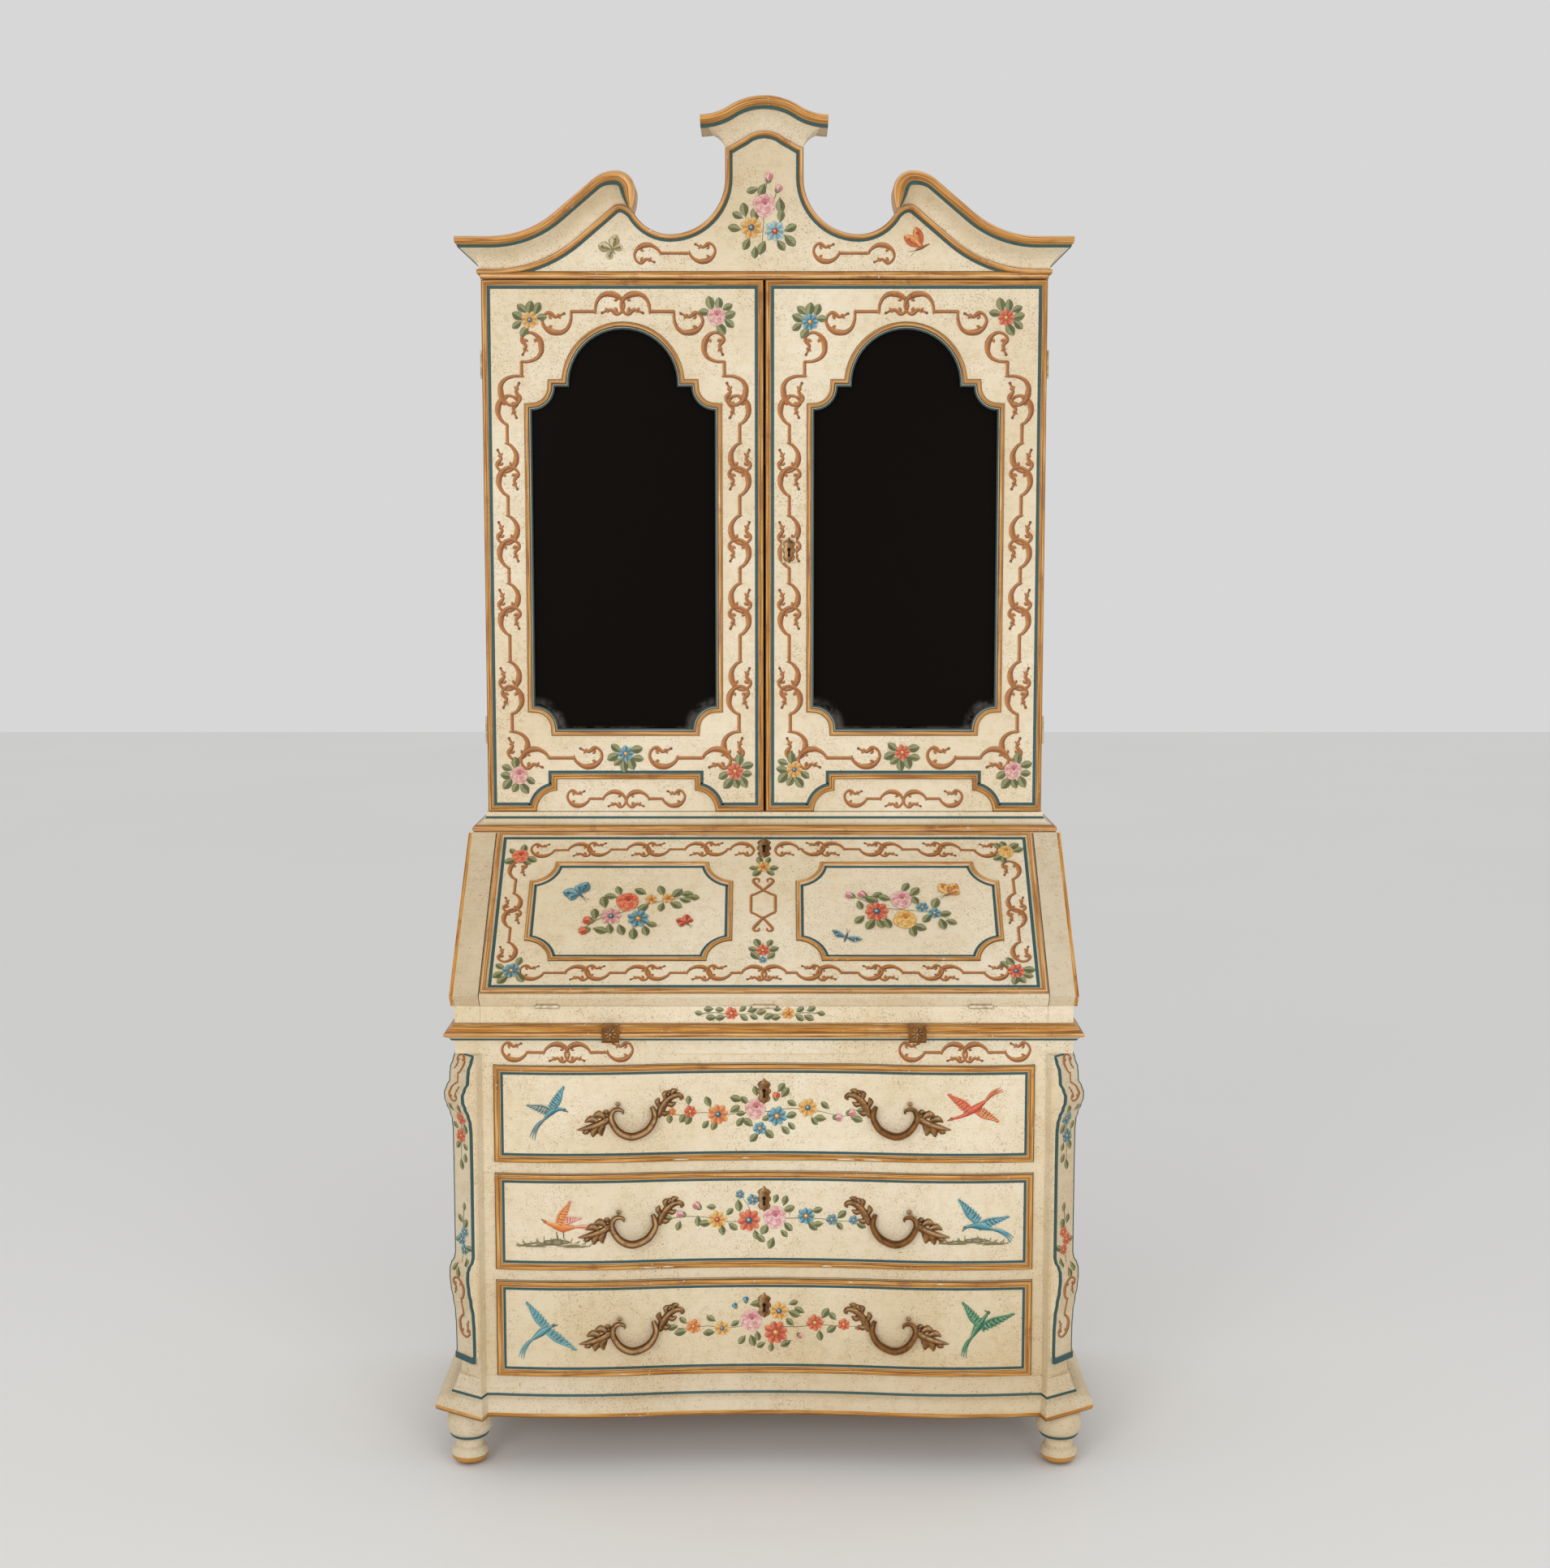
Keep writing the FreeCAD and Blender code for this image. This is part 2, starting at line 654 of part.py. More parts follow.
guide_face = opening_half
runners = []
for low in opening_low[:2]:
    runner_low = (inner_case - D.runner_width, post_back, low - D.drawer_rail)
    runners += pair_of_blocks(runner_low, (inner_case, panel_face, low))
for low in opening_low:
    runners += pair_of_blocks((guide_face, post_back, low), (inner_case, panel_face, low + D.guide_height))
keep(block((-half_case, front, frieze_low), (half_case, back, frieze_top)), "base_top")

# Drawers, top to bottom.
plate_middle = D.drawer_height - D.plate_drop
front_half = D.drawer_width / 2
hollow_y = front + D.swell_hollow


def swell_at(x):
    """How far the serpentine of a drawer front stands back from the frieze plane at x."""
    cross = float(D.swell_cross)
    if abs(x) <= cross:
        bend = float(hollow_bend)
        return math.sqrt(bend * bend - x * x) - math.sqrt(bend * bend - cross * cross)
    half = float(front_half)
    bend = float(hollow_bend) * (half - cross) / (2 * cross)
    middle = (half + cross) / 2
    chord = (half - cross) / 2
    return math.sqrt(bend * bend - chord * chord) - math.sqrt(bend * bend - (abs(x) - middle) ** 2)


def cylinder(radius, start, end):
    axis = FreeCAD.Vector(*end) - FreeCAD.Vector(*start)
    return Part.makeCylinder(radius, axis.Length, FreeCAD.Vector(*start), axis)


def box(low, high):
    corner = FreeCAD.Vector(*[float(v) for v in low])
    far = FreeCAD.Vector(*[float(v) for v in high])
    return Part.makeBox(far.x - corner.x, far.y - corner.y, far.z - corner.z, corner)


def handle_shape(side, middle_z):
    """A cast handle: a hanging bow on two posts, with a leaf running out beside it."""
    x = side * float(D.handle_place)
    radius = float(D.handle_bow)
    bar = float(D.handle_bar)
    face = float(front - D.drawer_proud)
    bow_y = face - float(D.handle_stand)
    parts = []
    ring = Part.makeCircle(bar, FreeCAD.Vector(x + radius, bow_y, middle_z), FreeCAD.Vector(0, 0, 1))
    section = Part.Face(Part.Wire([ring]))
    bow = section.revolve(FreeCAD.Vector(x, bow_y, middle_z), FreeCAD.Vector(0, 1, 0), 180)
    parts.append(bow)
    for place in (x - radius, x + radius):
        face_here = face + swell_at(place)
        seat = face_here + bar
        parts.append(cylinder(bar * 1.2, (place, bow_y - bar * 0.8, middle_z), (place, seat, middle_z)))
        parts.append(cylinder(bar * 2.2, (place, face_here - bar * 0.7, middle_z), (place, seat, middle_z)))
    leaf = float(D.handle_leaf)
    for toward, drop in ((1, -0.3), (-1, 0.3)):
        begin = x + side * toward * radius
        steps = 4
        for step in range(steps):
            place = begin + side * toward * leaf * (step + 0.5) / steps
            face_here = face + swell_at(place)
            z = middle_z + drop * leaf * (step + 0.5) / steps
            width = bar * (2.2 - 0.25 * step)
            parts.append(cylinder(width, (place, face_here - bar * 0.6, z), (place, face_here + bar, z)))
    solid = parts[0].fuse(parts[1:])
    return solid.removeSplitter()


for number, low in enumerate(opening_low, start=1):
    name = "drawer_%d_" % number
    z_low = low + D.drawer_gap
    z_high = z_low + D.drawer_height
    rear = front + D.drawer_front
    board = pad("XY", z_low, z_high, serpentine_board(front_half, D.drawer_proud, rear))
    keep(board, name + "front")

    raised = serpentine(front_half, D.drawer_proud + D.border_height)
    lower = [
        (front_half, front - D.drawer_proud, -(hollow_bend * (front_half - D.swell_cross) / (D.swell_cross * 2))),
        (D.swell_cross, front - D.drawer_proud, hollow_bend),
        (-D.swell_cross, front - D.drawer_proud, -(hollow_bend * (front_half - D.swell_cross) / (D.swell_cross * 2))),
        (-front_half, front - D.drawer_proud),
    ]
    strip = pad("XY", z_low, z_high, raised + lower)
    field = block(
        (D.border_width - front_half, front - D.case_depth / 4, z_low + D.border_width),
        (front_half - D.border_width, front + D.case_depth / 4, z_high - D.border_width),
    )
    keep(cut(strip, [field]), name + "border")

    side_low = low + D.slide_gap
    side_high = z_high - D.drawer_slack
    drawer_back = front + D.drawer_depth
    inner = front_half - D.drawer_board
    boards = pair_of_blocks((inner, rear, side_low), (front_half, drawer_back, side_high))
    boards.append(block((-inner, drawer_back - D.drawer_board, side_low), (inner, drawer_back, side_high)))
    floor = side_low + D.drawer_bottom
    boards.append(block((-inner, rear, side_low), (inner, drawer_back - D.drawer_board, floor)))
    keep(compound(boards), name + "box")

    brass = [handle_shape(side, float(z_low + D.drawer_height * 0.47)) for side in (-1, 1)]
    plate_y = front - D.drawer_proud + D.swell_hollow
    plate_z = z_low + plate_middle
    plate = box(
        (-D.plate_width / 2, plate_y - D.plate_thick, plate_z - D.plate_height / 2),
        (D.plate_width / 2, plate_y + D.plate_thick, plate_z + D.plate_height / 2),
    )
    brass.append(plate)
    # the brass is seated on the curve of the front, over a thin bed
    curve = slab(serpentine_board(front_half, D.drawer_proud + D.brass_bed, rear), "XY", z_low, z_high)
    seated = [piece.cut(curve) for piece in brass]
    keep(shape_piece(Part.makeCompound(seated)), name + "brass")


# Mouldings that run round the front and both sides of a case.
def moulding(levels, half, face, rear, inner_half, inner_face):
    """A moulding from levels of projection and height, hollow for the case that it runs round."""
    wires = []
    for out, z in levels:
        x = float(half) + float(out)
        y = float(face) - float(out)
        corners = [(-x, y), (x, y), (x, float(rear)), (-x, float(rear))]
        wires.append(wire(corners, "XY", float(z)))
    solid = Part.makeLoft(wires, True, True)
    low = float(levels[0][1])
    high = float(levels[-1][1])
    hole = box((-inner_half, inner_face, low), (inner_half, rear, high))
    return solid.cut(hole)


mid_top = frieze_top + D.mid_height
mid_levels = []
for share, rise in (
    (0.06, 0),
    (0.32, 0.09),
    (0.35, 0.19),
    (0.6, 0.24),
    (0.97, 0.33),
    (1, 0.45),
    (0.94, 0.55),
    (0.65, 0.7),
    (0.3, 0.86),
    (0.1, 1),
):
    mid_levels.append((D.mid_nose * share, frieze_top + D.mid_height * rise))
loper_low = frieze_top + D.slide_gap
loper_high = mid_top - D.slide_gap
slot_half = D.loper_width / 2 + D.loper_gap
slots = []
for side in (1, -1):
    x = D.loper_place * side
    slots.append(((x - slot_half, front - D.mid_nose * 2, frieze_top), (x + slot_half, front + D.hinge_board, mid_top)))
mid_solid = moulding(mid_levels, half_case, front, back, half_case, front)
keep(shape_piece(mid_solid.cut([box(*s) for s in slots])), "mid_moulding")

# Desk sides, with front edges cut to the slope of the fall.
slope_sin = sine(D.slope_angle)
slope_cos = cosine(D.slope_angle)
slope_top = D.writing_height + D.fall_length * slope_sin
slope_back = front + D.fall_length * slope_cos
side_profile = [
    (front, frieze_top),
    (back, frieze_top),
    (back, slope_top),
    (slope_back, slope_top),
    (front, D.writing_height),
]
desk_sides = [
    pad("YZ", inner_case, half_case, side_profile),
    pad("YZ", -half_case, -inner_case, side_profile),
]
# Hinge rail, with the lopers' openings and beds for the fixed hinge leaves, between two short stiles.
rail_top = D.writing_height - 0.2
rail_half = D.fall_width / 2
stile_in = rail_half + D.slide_gap
desk_sides += pair_of_blocks((stile_in, front, frieze_top), (inner_case, front + D.hinge_board, rail_top))
keep(compound(desk_sides), "desk_sides")

hinge_places = [-D.fall_hinge_place, as_size(0), D.fall_hinge_place]
leaf_top = rail_top
leaf_low = rail_top - D.hinge_leaf
rail_cuts = [block(*s) for s in slots]
for place in hinge_places:
    rail_cuts.append(
        block(
            (place - D.fall_hinge / 2, front, leaf_low),
            (place + D.fall_hinge / 2, front + D.hinge_reach, leaf_top),
        )
    )
hinge_rail = block((-rail_half, front, frieze_top), (rail_half, front + D.hinge_board, rail_top))
keep(cut(hinge_rail, rail_cuts), "hinge_rail")

bed_low = D.writing_height - D.bed_board
bed_front = front + D.hinge_board
keep(block((-inner_case, bed_front, bed_low), (inner_case, panel_face, D.writing_height)), "writing_bed")

guides = []
guide_end = front + D.loper_length
for inner_side in (slot_half, -slot_half - D.loper_guide):
    low = (D.loper_place + inner_side, bed_front, frieze_top)
    high = (D.loper_place + inner_side + D.loper_guide, guide_end, bed_low)
    guides += pair_of_blocks(low, high)
keep(compound(runners + guides), "runners_and_guides")

backs = [
    block((-inner_case, panel_face, plinth_top), (inner_case, back, frieze_low)),
    block((-inner_case, panel_face, frieze_top), (inner_case, back, slope_top)),
]
keep(compound(backs), "lower_backs")


# Pieces of the fall are laid out flat, then tilted to its slope about its lower inner corner.
fall_y = front - 0.5
fall_z = D.writing_height + 0.3


def tilt(thing, x, v, n):
    """Puts a piece of the fall at x across, v up the slope and n above its inner face."""
    thing.Placement = FreeCAD.Placement(
        FreeCAD.Vector(), FreeCAD.Rotation(FreeCAD.Vector(1, 0, 0), D.slope_angle.number)
    )
    bind(thing, "Placement.Base.x", x)
    bind(thing, "Placement.Base.y", fall_y + v * slope_cos - n * slope_sin)
    bind(thing, "Placement.Base.z", fall_z + v * slope_sin + n * slope_cos)
    thing.setExpression("Placement.Rotation.Angle", "dims.slope_angle * 1 deg")
    return thing


def tilted_block(low, high):
    thing = doc.addObject("Part::Box", "tilted")
    for name, a, b in zip(("Length", "Width", "Height"), low, high):
        bind(thing, name, as_size(b) - a)
    return tilt(thing, as_size(low[0]), as_size(low[1]), as_size(low[2]))


def tilted_shape(shape):
    """A free shape of the fall, tilted to its place."""
    shape = shape.copy()
    shape.rotate(FreeCAD.Vector(0, 0, 0), FreeCAD.Vector(1, 0, 0), D.slope_angle.number)
    shape.translate(FreeCAD.Vector(0, float(fall_y), float(fall_z)))
    return shape


fall_half = D.fall_width / 2
fall_thick = D.fall_board + D.fall_moulding
knuckle_y = front - D.fall_knuckle - D.knuckle_gap * 2 - 0.3
knuckle_z = D.writing_height - 0.5
leaf_beds = []
for place in hinge_places:
    leaf_beds.append(
        tilted_block(
            (place - D.fall_hinge / 2, as_size(0), as_size(0)),
            (place + D.fall_hinge / 2, D.hinge_leaf, D.hinge_reach),
        )
    )
fall_slab = tilted_block((-fall_half, as_size(0), as_size(0)), (fall_half, D.fall_length, D.fall_board))
keep(cut(fall_slab, leaf_beds), "fall_board")


def notched(inner, outer, low, high, notch):
    """A panel outline with hollow corners, anticlockwise."""
    return [
        (inner + notch, low),
        (outer - notch, low, -notch),
        (outer, low + notch),
        (outer, high - notch, -notch),
        (outer - notch, high),
        (inner + notch, high, -notch),
        (inner, high - notch),
        (inner, low + notch, -notch),
    ]


fall_trims = []
border_face = D.fall_board
rim_body = pad(
    "XY",
    border_face,
    fall_thick,
    [(-fall_half, 0), (fall_half, 0), (fall_half, D.fall_length), (-fall_half, D.fall_length)],
    [
        (D.fall_border - fall_half, D.fall_border),
        (fall_half - D.fall_border, D.fall_border),
        (fall_half - D.fall_border, D.fall_length - D.fall_border),
        (D.fall_border - fall_half, D.fall_length - D.fall_border),
    ],
)
fall_trims.append(tilt(rim_body, as_size(0), as_size(0), as_size(0)))
for side in (1, -1):
    outer_ring = notched(D.panel_inner, D.panel_outer, D.panel_low, D.panel_high, D.panel_notch)
    band = D.panel_band
    inner_ring = notched(
        D.panel_inner + band, D.panel_outer - band, D.panel_low + band, D.panel_high - band, D.panel_notch
    )
    rings = []
    for ring in (outer_ring, inner_ring):
        turned_ring = [tuple([c[0] * side, c[1]] + [b * side for b in c[2:]]) for c in ring]
        rings.append(turned_ring)
    ring_body = pad("XY", border_face, fall_thick, *rings)
    fall_trims.append(tilt(ring_body, as_size(0), as_size(0), as_size(0)))
keep(compound(fall_trims), "fall_mouldings")

# Cheeks carry the plane of the fall on to the sides, each with a gilded strip along its edge.
cheek_inner = fall_half + D.fall_gap
cheek_profile = [
    (front, D.writing_height),
    (front - fall_thick * slope_sin, D.writing_height + fall_thick * slope_cos),
    (slope_back - fall_thick * slope_sin, slope_top + fall_thick * slope_cos),
    (slope_back, slope_top),
]
cheeks = [pad("YZ", cheek_inner, half_case, cheek_profile), pad("YZ", -half_case, -cheek_inner, cheek_profile)]
keep(compound(cheeks), "fall_cheeks")
strip_out = half_case + D.cheek_strip
edge_strips = [pad("YZ", half_case, strip_out, cheek_profile), pad("YZ", -strip_out, -half_case, cheek_profile)]
keep(compound(edge_strips), "cheek_edge_strips")

# Desk top, its front edge cut square to the slope.
desk_high = slope_top + D.desk_board
desk_profile = [
    (slope_back + D.fall_gap, slope_top),
    (back, slope_top),
    (back, desk_high),
    (slope_back + D.fall_gap - D.desk_board * slope_sin / slope_cos, desk_high),
]
keep(pad("YZ", -half_case, half_case, desk_profile), "desk_top")


# Hinges: a fixed leaf with two end knuckles and a pin, and a moving leaf with the middle knuckle.
def knuckles(radius, length, start, axis, middle):
    """The middle knuckle, bored for its pin, or the two end knuckles with the pin between."""
    third = length * 0.3
    begin = FreeCAD.Vector(*start)
    along = FreeCAD.Vector(*axis)
    gap = float(D.knuckle_gap)
    pin = float(D.hinge_pin)
    if middle:
        place = begin + along * (third + gap)
        span = length - 2 * third - 2 * gap
        barrel = Part.makeCylinder(radius, span, place, along)
        return barrel.cut(Part.makeCylinder(pin + gap, span, place, along))
    first = Part.makeCylinder(radius, third, begin, along)
    last = Part.makeCylinder(radius, third, begin + along * (length - third), along)
    return first.fuse([last, Part.makeCylinder(pin, length, begin, along)])


fixed_hinges = []
fall_leaves = []
hinge_long = float(D.fall_hinge)
for place in hinge_places:
    start_x = float(place) - hinge_long / 2
    start = (start_x, float(knuckle_y), float(knuckle_z))
    ends = knuckles(float(D.fall_knuckle), hinge_long, start, (1, 0, 0), False)
    third = hinge_long * 0.3
    leaf = box((start_x, front, leaf_low), (start_x + hinge_long, front + D.hinge_reach, leaf_top))
    tabs = [
        box((x, knuckle_y, leaf_low), (x + third, front, leaf_top))
        for x in (start_x, start_x + hinge_long - third)
    ]
    fixed_hinges.append(ends.fuse([leaf] + tabs).removeSplitter())

    across = float(knuckle_y - fall_y)
    up = float(knuckle_z - fall_z)
    axis_v = across * float(slope_cos) + up * float(slope_sin)
    axis_n = up * float(slope_cos) - across * float(slope_sin)
    barrel = knuckles(float(D.fall_knuckle), hinge_long, (start_x, axis_v, axis_n), (1, 0, 0), True)
    tab_start = start_x + third + float(D.knuckle_gap)
    tab_end = start_x + hinge_long - third - float(D.knuckle_gap)
    tab_from = axis_v + float(D.hinge_pin) + float(D.knuckle_gap) * 1.5
    half_tab = float(D.hinge_leaf) / 2
    tab = box((tab_start, tab_from, axis_n - half_tab), (tab_end, float(D.hinge_leaf), axis_n + half_tab))
    plate = box((start_x, 0, 0), (start_x + hinge_long, D.hinge_leaf, D.hinge_reach))
    fall_leaves.append(tilted_shape(barrel.fuse([tab, plate]).removeSplitter()))
key_plate = box(
    (-D.plate_width / 2, D.fall_plate - D.fall_plate_height / 2, D.fall_board),
    (D.plate_width / 2, D.fall_plate + D.fall_plate_height / 2, D.fall_board + D.plate_thick),
)
fall_brass = fall_leaves + [tilted_shape(key_plate)]
keep(shape_piece(Part.makeCompound(fall_brass)), "fall_brass")

# Lopers slide out under the open fall, each with a square pull on its end.
for name, side in (("left", -1), ("right", 1)):
    x = D.loper_place * side
    end_y = front - D.mid_nose - D.slide_gap
    low = (x - D.loper_width / 2, end_y, loper_low)
    high = (x + D.loper_width / 2, end_y + D.loper_length, loper_high)
    keep(block(low, high), "loper_" + name)
    middle = (loper_low + loper_high) / 2
    half_pull = D.pull_side / 2
    plate = block((x - half_pull, end_y - D.pull_plate, middle - half_pull), (x + half_pull, end_y, middle + half_pull))
    boss = doc.addObject("Part::Cylinder", "boss")
    boss.Placement = FreeCAD.Placement(FreeCAD.Vector(), FreeCAD.Rotation(FreeCAD.Vector(1, 0, 0), 90))
    bind(boss, "Radius", D.pull_knob)
    bind(boss, "Height", D.pull_plate + D.pull_boss)
    bind(boss, "Placement.Base.x", x)
    bind(boss, "Placement.Base.y", end_y)
    bind(boss, "Placement.Base.z", middle)
    pull = doc.addObject("Part::Fuse", "pull")
    pull.Base = plate
    pull.Tool = boss
    keep(pull, "loper_" + name + "_pull")

# Pigeonholes behind the fall, with a small drawer low in each outer bay.
gallery_front = front + D.gallery_setback
shelf_low = D.writing_height + D.gallery_shelf
bay_outer = D.gallery_bay + D.gallery_board
divider = (bay_outer + inner_case) / 2
gallery = pair_of_blocks((D.gallery_bay, gallery_front, D.writing_height), (bay_outer, panel_face, slope_top))
gallery += pair_of_blocks((bay_outer, gallery_front, shelf_low), (inner_case, panel_face, shelf_low + D.gallery_board))
gallery += pair_of_blocks(
    (divider - D.gallery_board / 2, gallery_front, shelf_low + D.gallery_board),
    (divider + D.gallery_board / 2, panel_face, slope_top),
)
keep(compound(gallery), "gallery_partitions")

for name, side in (("left", -1), ("right", 1)):
    near = bay_outer + D.tray_gap
    far = inner_case - D.tray_gap
    x_low, x_high = (near, far) if side > 0 else (-far, -near)
    z_low = D.writing_height + D.slide_gap
    z_high = shelf_low - D.tray_gap
    tray_back = panel_face - D.tray_gap
    outer = block((x_low, gallery_front, z_low), (x_high, tray_back, z_high))
    wall = D.tray_wall
    hollow_low = (x_low + wall, gallery_front + wall * 2, z_low + wall)
    hollow = block(hollow_low, (x_high - wall, tray_back - wall, z_high + wall))
    tray = cut(outer, [hollow])
    knob = doc.addObject("Part::Cylinder", "knob")
    knob.Placement = FreeCAD.Placement(FreeCAD.Vector(), FreeCAD.Rotation(FreeCAD.Vector(1, 0, 0), 90))
    bind(knob, "Radius", D.knob_radius)
    bind(knob, "Height", D.knob_length)
    bind(knob, "Placement.Base.x", (x_low + x_high) / 2)
    bind(knob, "Placement.Base.y", gallery_front)
    bind(knob, "Placement.Base.z", (z_low + z_high) / 2)
    keep(compound([tray, knob]), "gallery_drawer_" + name)

# Bookcase carcass.
book_half = D.book_width / 2
book_inner = book_half - D.side_board
book_face = front + D.book_setback
case_face = book_face + D.door_thick + D.door_gap
book_top = desk_high + D.book_height
door_low = desk_high + D.waist_height + D.door_gap
door_high = door_low + D.door_height
band_low = door_high + D.door_gap * 1.5
hinge_heights = [door_low + D.door_hinge_inset, door_high - D.door_hinge_inset]
door_edge = book_half - D.door_gap
axis_x = book_half + D.door_knuckle + D.knuckle_gap * 2
axis_y = case_face - D.door_gap / 2
door_back = book_face + D.door_thick

case_sides = []
for side in (1, -1):
    x_low, x_high = (book_inner, book_half) if side > 0 else (-book_half, -book_inner)
    board = block((x_low, case_face, desk_high), (x_high, back, book_top))
    beds = []
    for z in hinge_heights:
        low_z = z - D.door_hinge / 2
        high_z = z + D.door_hinge / 2
        bed_x = (book_half - D.hinge_reach, book_half) if side > 0 else (-book_half, D.hinge_reach - book_half)
        beds.append(block((bed_x[0], case_face, low_z), (bed_x[1], case_face + D.hinge_leaf, high_z)))
    case_sides.append(cut(board, beds))
keep(compound(case_sides), "bookcase_sides")

bottom_high = desk_high + D.waist_height
boards = [
    block((-book_inner, case_face, bottom_high - D.shelf_board), (book_inner, panel_face, bottom_high)),
    block((-book_inner, case_face, band_low + D.band_height), (book_inner, panel_face, band_low + D.band_height + D.shelf_board)),
]
for rise in (D.shelf_first, D.shelf_second):
    low = (-book_inner, case_face + D.shelf_setback, bottom_high + rise)
    boards.append(block(low, (book_inner, panel_face, bottom_high + rise + D.shelf_board)))
keep(compound(boards), "bookcase_boards")
keep(block((-book_inner, panel_face, desk_high), (book_inner, back, book_top)), "bookcase_back")

waist_levels = []
for share, rise in (
    (0.96, 0),
    (1, 0.15),
    (0.96, 0.29),
    (0.88, 0.352),
    (0.64, 0.413),
    (0.44, 0.535),
    (0.36, 0.657),
    (0.36, 0.749),
    (0.12, 0.78),
    (0.12, 1),
):
    waist_levels.append((D.waist_nose * share, desk_high + D.waist_height * rise))
waist = moulding(waist_levels, book_half, book_face, back, book_half, case_face)
keep(shape_piece(waist), "waist_moulding")

band_high = band_low + D.band_height
band_face = book_face - D.band_nose
band_profile = [
    (book_face, band_low),
    (book_face, band_high),
    (book_face - D.band_nose * 0.5, band_high),
    (band_face, band_low + D.band_height * 0.6),
    (band_face, band_low + D.band_height * 0.15),
    (book_face - D.band_nose * 0.5, band_low),
]


# Pediment: the swan neck in front view, as curves parallel to its upper edge.
def swan(below, outer):
    """Half of the swan neck from its outer end to its peak, a given distance below its upper edge."""
    lift = book_top - below
    slope = D.swan_slope
    bends = D.swan_hollow + D.swan_crown
    run = (D.swan_rise - bends * (1 - cosine(slope))) / sine(slope)
    start = D.swan_peak + bends * sine(slope) + run * cosine(slope)
    hollow = D.swan_hollow + below
    crown = D.swan_crown - below
    peak_z = lift + D.swan_rise
    low_x = start - hollow * sine(slope)
    low_z = lift + hollow * (1 - cosine(slope))
    high_x = D.swan_peak + crown * sine(slope)
    high_z = peak_z - crown * (1 - cosine(slope))
    return [
        (outer, lift),
        (start, lift, -hollow),
        (low_x, low_z),
        (high_x, high_z, crown),
        (D.swan_peak, peak_z),
    ]


def flip(corners, side):
    """An outline on the right side, or its mirror image on the left."""
    if side > 0:
        return corners
    return [tuple([-as_size(c[0]), c[1]] + [(-as_size(b) if b is not None else None) for b in c[2:]]) for c in corners]


def back_along(corners):
    """The same open line from its other end."""
    sides = [c[2] if len(c) > 2 else None for c in corners]
    points = [c[:2] for c in corners]
    turned_sides = [None] + [(-as_size(b) if b is not None else None) for b in sides[:-1]]
    backward = []
    for place, bend in zip(reversed(points), reversed(turned_sides)):
        backward.append((place[0], place[1], bend))
    return backward


rim = D.rim_height
peak_z = book_top + D.swan_rise
curl_x = D.swan_peak - D.swan_curl
curl_foot = curl_x + D.curl_tuck
curl_low = book_top + D.dip_above + D.dip_outer - root(
    D.dip_outer * D.dip_outer - (curl_foot - D.dip_place) * (curl_foot - D.dip_place)
)
curl_top = peak_z - D.swan_curl
curl_drop = curl_top - curl_low
curl_bend = (curl_drop * curl_drop + D.curl_tuck * D.curl_tuck) / (D.curl_tuck * 2)
rim_front = book_face - D.cornice_front
bead_low = D.cornice_height + D.bead_height
hollow_out = D.cornice_front * 0.9
hollow_turn = 65
rims = []
coves = []
for side in (1, -1):
    outer_line = swan(as_size(0), book_half)
    outer_line[-1] = (D.swan_peak, peak_z, D.swan_curl)
    curl = [(curl_x, curl_top, curl_bend), (curl_foot, curl_low), (curl_x + rim, curl_low)]
    inner_curl = [(curl_x + rim, curl_top, rim - D.swan_curl)]
    inner_line = back_along(swan(rim, book_half))
    rim_solid = slab(flip(outer_line + curl + inner_curl + inner_line, side), "XZ", rim_front, case_face)
    rims.append(rim_solid)

    # the hollow under the rim, from the board out to the rim's front
    wires = []
    for step in range(6):
        turn = math.radians(hollow_turn * step / 5)
        out = hollow_out * ((1 - math.cos(turn)) / (1 - math.cos(math.radians(hollow_turn))))
        share = math.sin(turn) / math.sin(math.radians(hollow_turn))
        below = D.cornice_height - (D.cornice_height - rim * 1.1) * share
        upper = swan(rim, book_half) + [(curl_x + rim, peak_z - rim)]
        lower = [(curl_x + rim, peak_z - below)] + back_along(swan(below, book_half))
        wires.append(wire(flip(upper + lower, side), "XZ", float(book_face - out)))
    coves.append(Part.makeLoft(wires, True, True).cut(rim_solid))
    upper = swan(D.cornice_height, book_half) + [(curl_x + rim, peak_z - D.cornice_height)]
    lower = [(curl_x + rim, peak_z - bead_low)] + back_along(swan(bead_low, book_half))
    coves.append(slab(flip(upper + lower, side), "XZ", book_face - D.cornice_bead, book_face))
keep(shape_piece(Part.makeCompound(rims)), "swan_neck_rims")
keep(shape_piece(Part.makeCompound(coves)), "swan_neck_coves")
band = slab(band_profile, "YZ", -book_half, book_half)
keep(shape_piece(band.cut(coves)), "cornice_band")

right_edge = swan(rim, book_half)
right_edge[-1] = (D.swan_peak, peak_z - rim, D.swan_curl - rim)
neck_low = book_top + D.dip_above + (D.dip_place - D.neck_half)
neck_high = book_top + D.neck_rise
right_edge += [
    (curl_x + rim, curl_top),
    (curl_x + rim, curl_low),
    (curl_foot, curl_low, -D.dip_outer),
    (D.dip_place, book_top + D.dip_above, -(D.dip_place - D.neck_half)),
    (D.neck_half, neck_low),
    (D.neck_half, neck_high + D.cap_flare * 0.9),
    (0, neck_high + D.cap_flare * 0.9 + D.neck_arch * 0.8),
]
left_edge = back_along(flip(right_edge, -1))
board_outline = [(book_half, band_low)] + right_edge + left_edge[1:] + [(-book_half, band_low)]
keep(shape_piece(slab(board_outline, "XZ", book_face, case_face)), "pediment_board")

